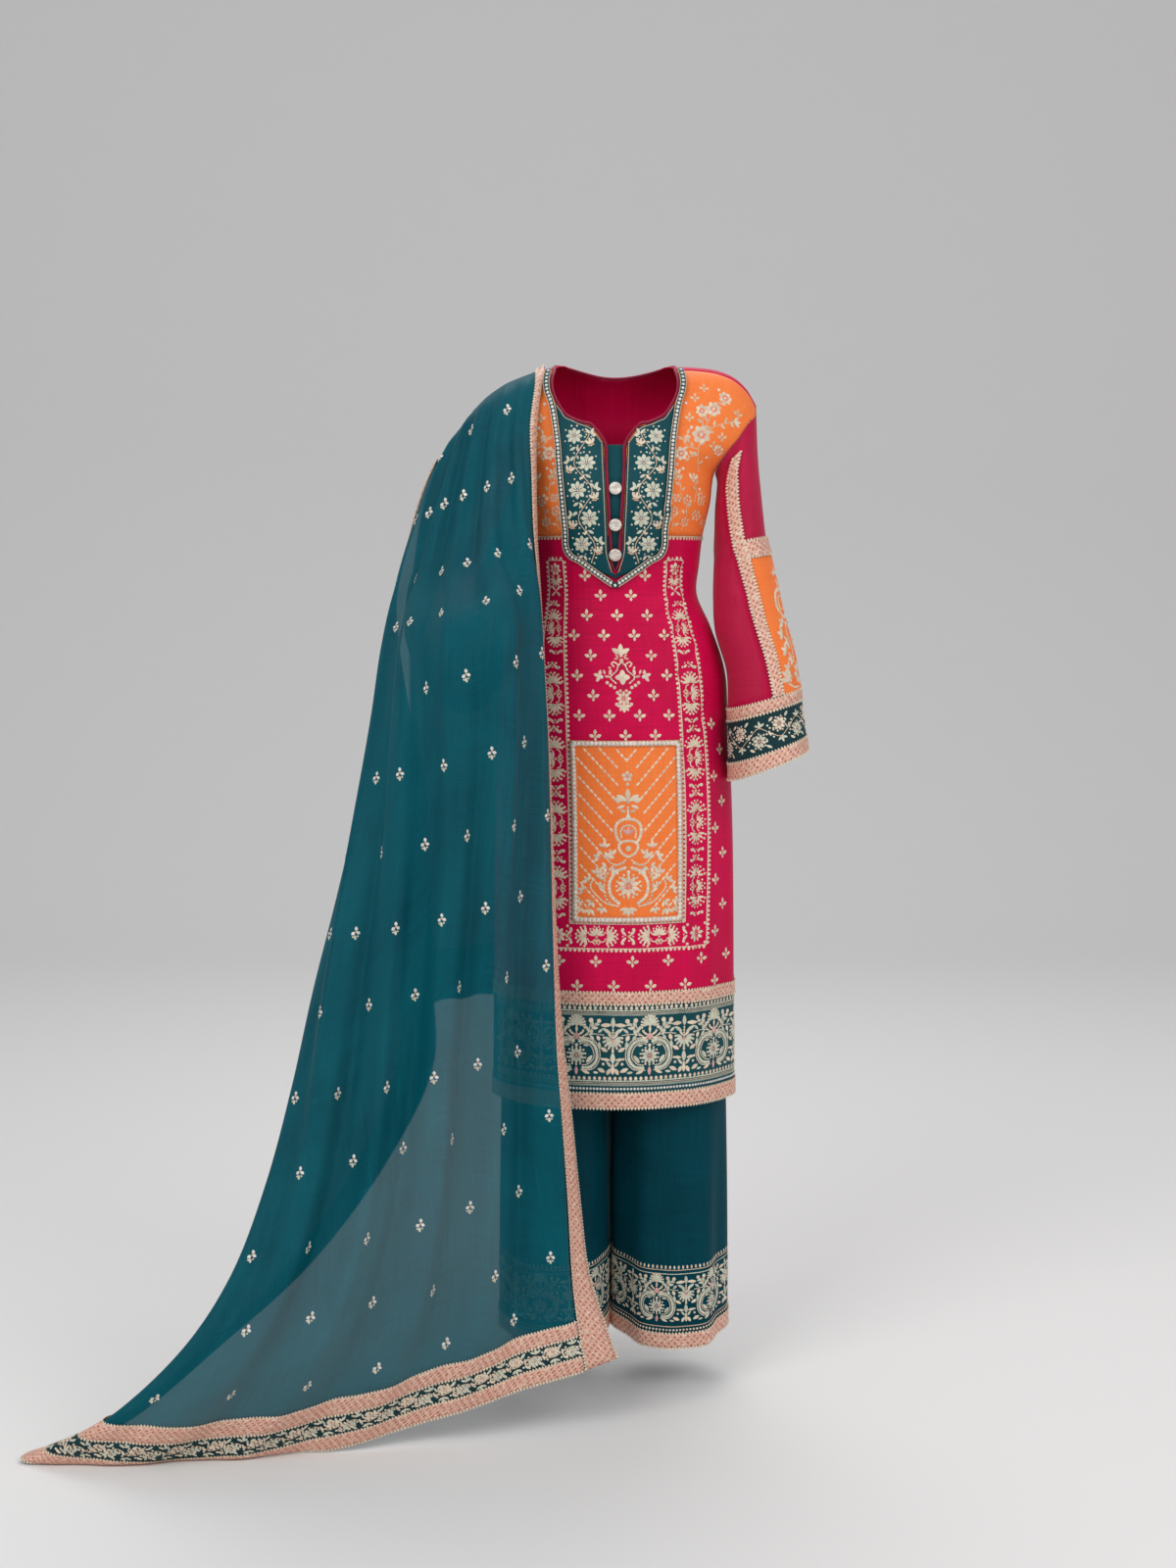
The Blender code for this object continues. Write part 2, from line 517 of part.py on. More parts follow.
def make_patch(front):
    down = range(FRONT_DROPS.index(PATCH[0]), FRONT_DROPS.index(PATCH[1]) + 1)
    reach = len(front[0]) // 2
    across = range(reach - 5, reach + 5)
    raised = moved_out(front, CLOTH + LAY)
    sheet("front_patch", pick(raised, down, across), "orange_silk", LACE)
    higher = pick(moved_out(front, CLOTH + LACE + 2 * LAY), down, across)
    rows, columns = len(higher) - 2, len(higher[0]) - 2
    sheet("patch_lace", higher, "pearl_trim", LACE,
          keep=lambda i, j: i in (0, rows) or j in (0, columns))


# ---- neck ----


def neck_column(share, steps=7):
    """Points down a neck panel, at a share of its width from the slit."""
    path = np.array(list(reversed(NECKLINE))[:5], float)
    lengths = np.concatenate([[0], np.cumsum(np.linalg.norm(np.diff(path, axis=0), axis=1))])
    top = [float(np.interp(share * lengths[-1], lengths, path[:, k])) for k in (0, 1)]
    top[1] += 0.0012
    low = [PANEL_POINT[0][k] + (PANEL_POINT[1][k] - PANEL_POINT[0][k]) * share for k in (0, 1)]
    return [(top[0] + (low[0] - top[0]) * i / steps, top[1] + (low[1] - top[1]) * i / steps)
            for i in range(steps + 1)]


def on_front(x, drop, out):
    return torso(angle_of(x, drop), -run_of(drop), out)


def make_neck():
    shares = [0.02, 0.15, 0.32, 0.5, 0.68, 0.85, 1.0]
    for side, name in ((1, "left"), (-1, "right")):
        columns = [neck_column(share) for share in shares]
        rows = [[on_front(side * x, drop, PANEL_OUT) for x, drop in row] for row in zip(*columns)]
        if side < 0:
            rows = [list(reversed(row)) for row in rows]
        sheet(f"neck_panel_{name}", rows, "teal_silk", LACE)
    make_neck_lace()
    make_placket()
    make_piping()


def make_neck_lace():
    for side, name in ((1, "left"), (-1, "right")):
        rows = []
        for x, drop, inward, lift in NECK_LACE:
            size = NECK_LACE_WIDTH / math.hypot(inward, lift)
            edge = (x, drop)
            inner = (max(x - inward * size, 0.0015), drop + lift * size)
            pair = [on_front(side * px, pd, PANEL_OUT + LACE + 0.0016) for px, pd in (inner, edge)]
            rows.append(pair if side > 0 else pair[::-1])
        sheet(f"neck_lace_{name}", rows, "pearl_trim", LACE)


def make_placket():
    """The tucked piece sewn behind the slit."""
    drops = [SLIT_TOP, *TUCKS, *PLACKET_DROPS]
    behind = -(CLOTH + 2 * LAY)
    rows = []
    for index, drop in enumerate(drops):
        lift = TUCK_RISE if 0 < index <= len(TUCKS) and index % 2 else 0.0
        half = slit_half(drop) + PLACKET_SPARE
        rows.append([on_front(half * share, drop, behind - TUCK_RISE + lift)
                     for share in PLACKET_SHARES])
    sheet("placket", rows, "teal_silk")
    for index, drop in enumerate(BUTTON_DROPS):
        make_button(f"button_{index + 1}", drop)


def make_button(name, drop):
    """A round button with a shank, turned about its own axis."""
    low, under, top = -0.0013, 0.0038, 0.0072
    r = BUTTON_RADIUS
    profile = [(0.0, top - 0.0006), (r * 0.45, top - 0.0006), (r * 0.62, top)]
    profile += [(r * 0.9, top - 0.0003)]
    profile += [(r, top - 0.0012), (r * 0.9, under), (0.0022, under), (0.0022, low), (0.0, low)]
    mesh = bpy.data.meshes.new(name)
    bm = bmesh.new()
    verts = [bm.verts.new((x, 0, z)) for x, z in profile]
    edges = [bm.edges.new(pair) for pair in zip(verts, verts[1:])]
    bmesh.ops.spin(bm, geom=verts + edges, cent=(0, 0, 0), axis=(0, 0, 1), angle=2 * math.pi,
                   steps=12, use_merge=True)
    bmesh.ops.remove_doubles(bm, verts=bm.verts[:], dist=1e-6)
    bmesh.ops.recalc_face_normals(bm, faces=bm.faces[:])
    here, ahead = on_front(0.0, drop, 0.0), on_front(0.0, drop, 0.01)
    turn = (ahead - here).to_track_quat("Z", "Y").to_matrix().to_4x4()
    bm.transform(Matrix.Translation(here) @ turn)
    bm.to_mesh(mesh)
    bm.free()
    add_object(name, mesh, "pearl_button")


def make_piping():
    """One cord round the whole neckline and the slit, beside the edges it binds."""
    clear = PIPE + 0.0012
    front = []
    for index, (x, drop) in enumerate(NECKLINE):
        away = (clear, 0.0) if drop < 0.05 else (clear * 0.55, -clear * 0.85)
        if index == len(NECKLINE) - 1:
            away = (clear, -clear * 0.45)
        front.append((x - away[0], drop + away[1]))
    front += [(slit_half(d) - clear, d) for d in (0.145, 0.175, 0.205, 0.235, 0.265, 0.284)]
    path = [on_front(x, d, PIPE + 0.0002) for x, d in front]
    path.append(on_front(0.0, SLIT_BOTTOM - clear - 0.001, PIPE + 0.0002))
    path += [Vector((-p.x, p.y, p.z)) for p in reversed(path[:-1])]
    seam_run = SEAM_RUN * 0.4
    back = [(-0.0852, -seam_run), (-0.0805, 0.004), (-0.057, 0.024), (-0.029, 0.037), (0.0, 0.041)]
    back += [(-x, run) for x, run in reversed(back[:-1])]
    path += [torso(angle_of(x, 0.012), run, PIPE + 0.0002) for x, run in back]
    curve = bpy.data.curves.new("neck_piping", "CURVE")
    curve.dimensions = "3D"
    curve.bevel_depth = PIPE
    curve.bevel_resolution = 1
    curve.resolution_u = 1
    spline = curve.splines.new("POLY")
    spline.points.add(len(path) - 1)
    for point, place in zip(spline.points, path):
        point.co = (*place, 1)
    spline.use_cyclic_u = True
    add_object("neck_piping", curve, "maroon_piping")


# ---- sleeves ----
def armhole_loop(side, count=48):
    """The sleeve's first section, just outside the armhole, from its outer point round."""
    deepest = run_of(ARMPIT)
    plane = Vector((side * 0.84, 0.0, -0.55))
    points = []
    for i in range(count + 1):
        share = 2 * i / count
        run = share * deepest if share <= 1 else -(2 - share) * deepest
        low = min(share, 2 - share)
        angle, _ = armhole_pair(run)
        clear = Vector((side * UNDERARM_CLEAR * ease((low - 0.6) / 0.4), 0, 0))
        points.append(torso(side * angle, run, CLOTH) + plane * ARMHOLE_CLEAR + clear)
    return points if side > 0 else points[::-1]


def sleeve_columns(points):
    """A section's points at the fixed distances from its outer line, and even shares after."""
    data = np.array([tuple(p) for p in points])
    lengths = np.concatenate([[0], np.cumsum(np.linalg.norm(np.diff(data, axis=0), axis=1))])
    whole = lengths[-1]
    half = whole / 2
    first = list(SLEEVE_ARCS)
    rest = [first[-1] + (half - first[-1]) * k / SLEEVE_SHARES for k in range(1, SLEEVE_SHARES + 1)]
    arcs = first + rest
    arcs += [whole - arc for arc in reversed(arcs[:-1])]
    return [[float(np.interp(arc, lengths, data[:, k])) for k in range(3)] for arc in arcs]


def sleeve_rows(side):
    table = LEFT_SLEEVE if side > 0 else RIGHT_SLEEVE
    sections = [sleeve_columns(armhole_loop(side))]
    for row in table:
        middle, outer, third = Vector(row[:3]), Vector(row[3:6]), Vector(row[6:])
        ring = [middle + outer * math.cos(t) + third * math.sin(t)
                for t in np.linspace(0, 2 * math.pi, 49)]
        sections.append(sleeve_columns(ring))
    return [[Vector(point) for point in row] for row in sections]


def between(rows, steps):
    """The sections with more rows worked in between them on a smooth curve."""
    flat = smooth([[i, *np.array([tuple(p) for p in row]).ravel()] for i, row in enumerate(rows)])
    made = []
    for start, count in steps:
        for k in range(count):
            values = flat(start + k / count).reshape(-1, 3)
            made.append([Vector(value) for value in values])
    last = steps[-1][0] + 1
    made.append([Vector(value) for value in flat(last).reshape(-1, 3)])
    return made


def make_sleeve(side, name):
    sections = sleeve_rows(side)
    body = between(sections, [(0, 2), (1, 1), (2, 1), (3, 1), (4, 1), (5, 1), (6, 1), (7, 1), (8, 1)])
    seam = BAR_ROW + 1
    lower = parted(body[seam:][::-1])[::-1]
    sheet(f"sleeve_upper_{name}", body[:seam + 1], "magenta_sheer", SHEER, inward=True, ring=True)
    sheet(f"sleeve_lower_{name}", lower, "magenta_sheer", SHEER, inward=True, ring=True)
    cuff = between(sections, [(9, 4)])
    cuff[0] = [a.lerp(b, 0.02) for a, b in zip(cuff[0], cuff[1])]
    sheet(f"cuff_band_{name}", cuff, "dark_band", SHEER, inward=True, ring=True)
    dressed = body[:CUFF_LACE_ROW + 2]
    dressed[-1] = [a.lerp(b, 0.03) for a, b in zip(dressed[-1], dressed[-2])]
    raised = moved_out(dressed, LAY, ring=True)[BAR_ROW + 2:]
    reach = len(SLEEVE_ARCS) - 2
    panel = [outer_part(row, reach) for row in raised]
    sheet(f"sleeve_panel_{name}", panel, "orange_silk", LACE)
    make_sleeve_lace(name, dressed)
    make_cuff_lace(name, sections)


def outer_part(row, reach):
    """The points of a section on both sides of its outer line."""
    return [row[-1 - j] for j in range(reach, 0, -1)] + [row[j] for j in range(reach + 1)]


def make_sleeve_lace(name, dressed):
    """The lace down both edges of the sleeve's panel, from the armhole to the cuff, and the bar
    across the panel's top."""
    reach = len(SLEEVE_ARCS) - 1
    rows = [outer_part(row, reach) for row in moved_out(dressed, LACE + 2 * LAY, ring=True)]
    last = 2 * reach - 1
    sheet(f"sleeve_lace_{name}", rows[1:], "gold_lace", LACE,
          keep=lambda i, j: j in (0, last) or i == BAR_ROW)


def make_cuff_lace(name, sections):
    whole = between(sections, [(8, 1), (9, 4)])
    high = moved_out(whole[:3], LAY, ring=True)
    high[-1] = [a.lerp(b, 0.75) for a, b in zip(high[-1], high[-2])]
    sheet(f"cuff_lace_top_{name}", high, "gold_lace", LACE, ring=True)
    low = moved_out(whole, LAY, ring=True)
    sheet(f"cuff_lace_low_{name}", low[-2:], "gold_lace", LACE, ring=True)


# ---- trousers ----
def inside_at(drop):
    """Half width, front depth and back depth just inside the kameez."""
    return body_at(drop) - BAND_INSIDE - (INSIDE - BAND_INSIDE) * ease((drop - WAIST_LOW) / 0.035)


def trouser_rows(side, count=16):
    rows = []
    for drop in TROUSER_DROPS:
        half, front, back = inside_at(drop)
        mx, my, rx, ry = leg_at(drop)
        mix = ease((drop - RISE_TOP) / (CROTCH - RISE_TOP))
        row = []
        for i in range(count + 1):
            turn = math.pi * i / count
            depth = front if turn < math.pi / 2 else back
            hip = Vector((max(SEAM, half * math.sin(turn)), -depth * math.cos(turn), 0))
            wave = LEG_FOLD_DEPTH * ease((drop - 0.9) / 0.5) * math.cos(LEG_FOLDS * 2 * turn)
            leg = Vector((mx - (rx + wave) * math.cos(2 * turn), my - (ry + wave) * math.sin(2 * turn), 0))
            point = hip.lerp(leg, mix)
            dip = FRONT_DIP * max(0.0, math.sin(2 * turn)) * ease((drop - 1.1) / 0.3)
            row.append(Vector((side * point.x, point.y, -drop - dip)))
        rows.append(row if side > 0 else row[::-1])
    return rows


def make_trousers():
    for side, name in ((1, "left"), (-1, "right")):
        rows = trouser_rows(side)
        sheet(f"trouser_{name}", rows, "teal_silk", inward=True, ring=True)
        low = moved_out(rows, LAY, ring=True)[-2:]
        sheet(f"trouser_lace_{name}", low, "gold_lace", LACE, ring=True)
    ring = []
    for drop in (WAIST_TOP, WAIST, WAIST_LOW - SEAM):
        half, front, back = inside_at(drop)
        row = []
        for t in np.linspace(-math.pi, math.pi, 25):
            depth = front if abs(t) < math.pi / 2 else back
            row.append(Vector((half * math.sin(t), -depth * math.cos(t), -drop)))
        ring.append(row)
    sheet("waistband", ring, "teal_silk", BAND_WALL, inward=True, ring=True)


# ---- dupatta ----
def base_curve(values, fine=40):
    """A section of the dupatta without pleats, and the length along it to each point and to the
    fold."""
    inner, fold, free = (np.array(values[k:k + 3]) for k in (0, 3, 6))
    ahead, rise = values[9], values[10]
    points = []
    for i in range(fine + 1):
        u = 0.5 - 0.5 * math.cos(math.pi * i / fine)
        arch, skewed = math.sqrt(max(0.0, 4 * u * (1 - u))), math.sin(math.pi * u ** LEAN)
        points.append(inner + (fold - inner) * u + np.array((0, -ahead * arch, rise * skewed)))
    behind = TURN_BACK * max(-1.0, min(1.0, ahead / TURN_FULL))
    for i in range(1, fine + 1):
        u = 0.5 - 0.5 * math.cos(math.pi * i / fine)
        arch = math.sin(math.pi * math.sqrt(u))
        points.append(fold + (free - fold) * u + np.array((0, behind * arch, 0)))
    points = np.array(points)
    lengths = np.concatenate([[0], np.cumsum(np.linalg.norm(np.diff(points, axis=0), axis=1))])
    return points, lengths, lengths[fine]


def dupatta_row(values):
    """Points across the dupatta from its free edge, round the fold, over the pleats to the lace."""
    points, lengths, fold = base_curve(values)
    whole, pleat, front = lengths[-1], values[11], values[9] >= 0
    pleated, folded = fold - SELVEDGE, whole - SELVEDGE - fold
    places = [0.0] + [SELVEDGE + pleated * i / PLEAT_COLUMNS for i in range(PLEAT_COLUMNS + 1)]
    places += [fold + folded * i / FOLD_COLUMNS for i in range(1, FOLD_COLUMNS + 1)]
    places.append(whole)
    row = []
    for i, place in enumerate(places):
        here, near, far = ([float(np.interp(place + d, lengths, points[:, k])) for k in range(3)]
                           for d in (0, -0.006, 0.006))
        toward = Vector((far[1] - near[1], near[0] - far[0], 0)).normalized()
        if (toward.y > 0) == front:
            toward = -toward
        wave = 0.0
        if 0 < i <= PLEAT_COLUMNS:
            wave = math.sin(math.pi / 2 * (i - 1)) * ease((PLEAT_COLUMNS + 1 - i) / 3)
        point = Vector(here) + toward * pleat * wave
        row.append(Vector((point.x, point.y, max(point.z, FLOOR + FLOOR_CLEAR))))
    return row[::-1]


def border_places(table):
    """Row numbers of a fall that put the border's pieces at their widths from the end."""
    reader = smooth([[i, *row] for i, row in enumerate(table)])

    def middle(at):
        return Vector(reader(at)[:3]).lerp(Vector(reader(at)[3:6]), 0.5)

    last = float(len(table) - 1)
    places = []
    for width in BORDER:
        at = last
        while (middle(at) - middle(last)).length < width:
            at -= BORDER_STEP
        places.append(at)
    return reader, places


def make_dupatta():
    reader, front = border_places(FRONT_FALL)
    back_reader, back = border_places(BACK_FALL)
    first = [FRONT_STEP / 2, *np.arange(FRONT_STEP, front[3] - 0.3, FRONT_STEP)]
    second = [at for at in np.arange(0.9, back[3] - 0.2)]
    rows = [dupatta_row(back_reader(at)) for at in back + second[::-1]]
    rows += [dupatta_row(reader(at)) for at in [0.0] + first + front[::-1]]
    shoulder = len(back) + len(second)
    halves = {"back": rows[:shoulder + 1], "front": parted(rows[shoulder:][::-1])[::-1]}
    for name, half in halves.items():
        face = [row[FOLD_COLUMNS + 1:] for row in half]
        turn = [parted(row[:FOLD_COLUMNS + 2]) for row in half]
        sheet(f"dupatta_{name}", face, "teal_sheer", SHEER, even=False)
        sheet(f"dupatta_turn_{name}", turn, "teal_sheer", SHEER, even=False)
    over = moved_out(rows, SHEER + 3 * LAY)
    wide = len(rows[0])
    free = pick(over, range(len(rows)), (0, 1))
    sheet("dupatta_lace_free", free, "gold_lace", LACE, even=False)
    inner = pick(over, range(len(rows)), (wide - 2, wide - 1))
    sheet("dupatta_lace_inner", inner, "gold_lace", LACE, even=False)
    last = len(rows) - 1
    ends = {"back": (0, 1, 2, 3), "front": (last, last - 1, last - 2, last - 3)}
    for name, (a, b, c, d) in ends.items():
        pieces = (("lace_low", (a, b), "gold_lace"), ("band", (b, c), "dark_band"),
                  ("lace_top", (c, d), "gold_lace"))
        for piece, pair, material in pieces:
            strip = narrowed(pick(over, sorted(pair), range(1, wide - 1)))
            sheet(f"dupatta_{piece}_{name}", strip, material, LACE, even=False)


def narrowed(strip):
    """A strip with its sides drawn in, to leave the seam to its neighbours."""
    rows = []
    for row in strip:
        row = list(row)
        row[0] = row[0] + (row[1] - row[0]).normalized() * 2 * SEAM
        row[-1] = row[-1] + (row[-2] - row[-1]).normalized() * 2 * SEAM
        rows.append(row)
    top = [a + (b - a).normalized() * SEAM for a, b in zip(rows[0], rows[-1])]
    low = [b + (a - b).normalized() * SEAM for a, b in zip(rows[0], rows[-1])]
    return [top, low]


def clear_scene():
    for found in list(bpy.data.objects):
        bpy.data.objects.remove(found, do_unlink=True)
    made = bpy.data.collections.new("salwar_kameez_suit")
    bpy.context.scene.collection.children.link(made)


clear_scene()
make_kameez()
make_neck()
make_sleeve(1, "left")
make_sleeve(-1, "right")
make_trousers()
make_dupatta()
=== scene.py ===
"""The looks of a salwar kameez suit: a long embroidered kameez, palazzo trousers and a sheer
dupatta over one shoulder. Metres, +Z up, the front towards -Y, the wearer's left at +X."""

import math

import bmesh
import bpy
import numpy as np
from mathutils import Matrix, Vector


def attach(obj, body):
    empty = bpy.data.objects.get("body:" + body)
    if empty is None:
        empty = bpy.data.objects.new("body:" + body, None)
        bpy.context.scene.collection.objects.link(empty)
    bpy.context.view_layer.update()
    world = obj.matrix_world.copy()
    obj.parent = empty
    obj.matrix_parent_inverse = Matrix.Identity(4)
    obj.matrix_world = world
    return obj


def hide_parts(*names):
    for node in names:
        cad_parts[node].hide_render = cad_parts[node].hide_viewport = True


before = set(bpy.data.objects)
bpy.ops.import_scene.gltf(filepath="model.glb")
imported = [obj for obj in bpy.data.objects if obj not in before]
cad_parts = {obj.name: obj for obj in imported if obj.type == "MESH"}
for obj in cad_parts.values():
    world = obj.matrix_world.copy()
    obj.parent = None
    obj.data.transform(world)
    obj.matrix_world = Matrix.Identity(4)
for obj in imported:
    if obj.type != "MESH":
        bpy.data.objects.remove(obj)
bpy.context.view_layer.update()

# ---- studio ----
# A pale floor that curves up into a wall behind the suit, lit by large soft lights from above,
# the left and the right. The camera stands level with the skirt and looks a little down.
CAMERA_PLACE, CAMERA_LENS = (-0.0384, -3.2, -0.3), 50
CAMERA_TILT = math.radians(90 - 5.45)
FLOOR = -1.5
FLOOR_REACH, WALL_BACK, WALL_HIGH, WALL_BEND = 7.0, 5.4, 6.0, 1.8
PAPER, PAPER_ROUGH = (0.8, 0.79, 0.77, 1), 0.9
LIGHTS = (  # place, what it points at, size, power
    ((-2.2, -3.0, 1.9), (0.0, 0.0, -0.6), 2.4, 70),
    ((2.4, -2.6, 1.3), (0.0, 0.0, -0.7), 2.2, 46),
    ((0.2, 1.6, 2.2), (0.0, 0.0, -0.7), 2.0, 40),
)
WORLD_GREY, WORLD_POWER = (0.94, 0.95, 1.0, 1.0), 0.5


def placed(name, data):
    """A new object in the scene."""
    made = bpy.data.objects.new(name, data)
    bpy.context.scene.collection.objects.link(made)
    return made


def build_studio():
    bend = [(WALL_BACK - WALL_BEND + WALL_BEND * math.sin(t), WALL_BEND - WALL_BEND * math.cos(t))
            for t in np.linspace(0, math.pi / 2, 12)]
    profile = [(-FLOOR_REACH, 0.0), *bend, (WALL_BACK, WALL_HIGH)]
    mesh = bpy.data.meshes.new("backdrop")
    bm = bmesh.new()
    line = [bm.verts.new((-FLOOR_REACH, y, z + FLOOR)) for y, z in profile]
    edges = [bm.edges.new(pair) for pair in zip(line, line[1:])]
    swept = bmesh.ops.extrude_edge_only(bm, edges=edges)["geom"]
    moved = [item for item in swept if isinstance(item, bmesh.types.BMVert)]
    bmesh.ops.translate(bm, verts=moved, vec=(2 * FLOOR_REACH, 0, 0))
    bmesh.ops.recalc_face_normals(bm, faces=bm.faces[:])
    bm.to_mesh(mesh)
    bm.free()
    mesh.shade_smooth()
    paper = bpy.data.materials.new("studio_paper")
    paper.use_nodes = True
    finish = paper.node_tree.nodes["Principled BSDF"]
    finish.inputs["Base Color"].default_value = PAPER
    finish.inputs["Roughness"].default_value = PAPER_ROUGH
    mesh.materials.append(paper)
    placed("backdrop", mesh)
    for index, (place, target, size, power) in enumerate(LIGHTS):
        lamp = bpy.data.lights.new(f"soft_light_{index}", "AREA")
        lamp.size, lamp.energy = size, power
        light = placed(lamp.name, lamp)
        light.location = place
        light.rotation_euler = (Vector(target) - Vector(place)).to_track_quat("-Z", "Y").to_euler()
    world = bpy.data.worlds.new("studio_light")
    world.use_nodes = True
    glow = world.node_tree.nodes["Background"]
    glow.inputs["Color"].default_value = WORLD_GREY
    glow.inputs["Strength"].default_value = WORLD_POWER
    bpy.context.scene.world = world
    camera = placed("camera", bpy.data.cameras.new("camera"))
    camera.data.lens = CAMERA_LENS
    camera.location = CAMERA_PLACE
    camera.rotation_euler = (CAMERA_TILT, 0, 0)
    bpy.context.scene.camera = camera
    bpy.context.scene.view_settings.view_transform = "Standard"


build_studio()

# ---- kameez: front and back ----
# A long straight tunic of magenta silk with a soft lining, cut as one front and one back. The
# side seams are closed down to the hip and left open below it, and the cloth hangs in soft
# folds from the hip to the hem.
# a wall of cloth, half a seam's gap, the gap under a sewn strip, and a wall of lace
MM = 0.001  # what is times MM is given in millimetres
CLOTH, SEAM, LAY, LACE = 0.0015, 0.0003, 0.0005, 0.0012
ROUND = 0.075  # how far the cloth takes to turn over the shoulder
SHOULDER_REACH = 0.13
YOKE_DROP = 0.2425
SLIT_TOP, SLIT_BOTTOM = 0.1146, 0.2925
SLIT_HALF = (0.0167, 0.007)
ARMPIT = 0.15
BAND_TOP, HEM = 0.905, 1.062
VENT_TOP, VENT_HALF = 0.52, 0.008
BODY = MM * np.array((  # drop below the neck points, half width, depth to the front, depth to the back
    (0, 219.5, 86, 78), (30, 219.5, 88, 80), (60, 217.5, 90, 83), (90, 210.5, 93, 85),
    (110, 198.5, 97, 87), (130, 168.5, 103, 88), (140, 153.5, 106, 88), (150, 144.5, 109, 88),
    (165, 141, 114, 88), (190, 138.5, 118, 87), (239, 127.6, 110, 82), (282, 122.5, 100, 77),
    (325, 119, 94, 76), (372, 139, 99, 86), (438, 161, 109, 102), (500, 165.5, 116, 113),
    (634, 172.4, 120, 117), (880, 176.5, 123, 119), (1070, 179, 126, 121),
))
RIGHT_SHOULDER = MM * np.array((  # distance out from the middle, fall of the shoulder line
    (0, 0), (88, 0), (105, 4.5), (124, 13), (145, 20.5), (166, 31), (185, 46), (195, 56.5),
    (204, 68), (220, 84),
))
LEFT_SHOULDER = MM * np.array((
    (0, 0), (90, 0), (120, 1), (151.5, 6), (178, 19), (194, 36), (204, 54), (220, 70),
))
ARMHOLE = MM * np.array((  # drop, distance of the armhole from the middle
    (0, 203.6), (30, 201), (60, 193), (90, 181.5), (100, 176.5), (120, 161), (139, 148),
    (150, 144),
))
# the lower body is turned a little: drop, shift of the front middle
TURN = ((0, 0.0), (0.3, 0.0), (0.33, 0.001), (0.42, 0.009), (0.53, 0.015), (1.1, 0.016))
SKIRT_FOLDS = (  # side, angle from the middle, lean, top, bottom, depth, half width
    (-1, -1.15, 0.1, 0.55, 1.1, 0.004, 0.16), (-1, -0.55, -0.06, 0.7, 1.15, 0.0025, 0.14),
    (-1, 0.2, 0.05, 0.62, 1.15, 0.0022, 0.15), (-1, 0.85, -0.04, 0.5, 1.1, 0.004, 0.17),
    (-1, 1.25, 0.03, 0.6, 1.15, 0.0045, 0.14), (1, -1.1, -0.05, 0.48, 1.1, 0.005, 0.18),
    (1, -0.5, 0.06, 0.42, 1.12, 0.0045, 0.16), (1, 0.05, -0.05, 0.36, 1.15, 0.0055, 0.15),
    (1, 0.6, 0.05, 0.44, 1.1, 0.0045, 0.17), (1, 1.15, -0.06, 0.52, 1.12, 0.005, 0.16),
)
FOLD_SKEW = 0.7
CREASE_STRENGTH, CREASE_END = 1.6, 0.08
# creases: side, start across and drop, end across and drop, depth (outward over 0), half width
CREASES = (1, MM, MM, MM, MM, MM, MM) * np.array((
    (-1, 136, 168, 62, 216, 1.6, 6), (-1, 134, 196, 78, 236, 1.4, 5.5),
    (-1, 128, 262, 70, 300, 1.6, 6), (-1, -136, 170, -84, 214, 1.4, 6),
    (-1, 121, 318, 40, 352, 1.6, 6.5), (-1, 124, 340, 30, 410, 1.8, 8),
    (-1, 150, 420, 88, 366, 1.6, 8), (-1, 160, 470, 98, 560, -1.6, 9),
    (-1, 135, 520, 128, 880, -2.8, 12), (-1, -120, 420, -142, 860, -2.6, 12),
    (-1, 112, 600, 118, 1060, 2.2, 11), (-1, -12, 800, -30, 1060, -1.2, 13),
    (1, -100, 200, -30, 262, 1.8, 8), (1, 100, 206, 34, 270, 1.8, 8),
    (1, 118, 316, 10, 346, 1.6, 7), (1, -116, 330, -16, 372, 1.6, 7),
    (1, -60, 360, -84, 700, -3, 12), (1, 50, 380, 96, 760, -3, 13),
    (1, 0, 560, 18, 1060, -2.6, 13), (1, -120, 620, -104, 1060, -2.6, 12),
    (-1, 84, 247, 86, 282, 1, 3.5), (-1, 97, 247, 94, 296, 1.2, 4),
    (-1, 110, 247, 104, 286, 1.2, 3.8), (-1, -86, 247, -88, 286, 1, 3.5),
    (-1, -100, 247, -96, 294, 1.2, 4), (-1, 148, 392, 60, 470, -1.3, 7),
    (-1, 128, 352, 92, 320, 1.4, 5), (-1, 140, 380, 104, 352, 1.3, 5),
))
BACK_NECK = MM * np.array((  # distance out, run from the ridge
    (60, 30), (50, 35), (40, 39.5), (30, 43), (15, 46.2), (0, 47), (-15, 46.2), (-30, 43),
    (-40, 39.5), (-50, 35), (-60, 30),
))
BACK_NECK_DROP, NECK_TIP = 0.012, (0.0895, 0.0075)
NECKLINE = MM * np.array((  # front neckline from the shoulder seam to the slit: distance out, drop
    (89, 7.5), (92.6, 24.5), (90.5, 41), (83.3, 57), (70, 75.8), (49, 85.8), (34.5, 90),
    (16.7, 114.6),
))
SHOULDER_RUN = 0.0328  # the shoulder seam lies this far in front of the ridge
SLIT_ROWS, FRONT_ROWS, BACK_ROWS, STRAP_COLUMNS, ARMHOLE_ROWS = 9, 96, 112, 13, 31
WRAP = 1.65  # the furthest angle round from the middle
GAUSS, WEIGHTS = np.polynomial.legendre.leggauss(12)


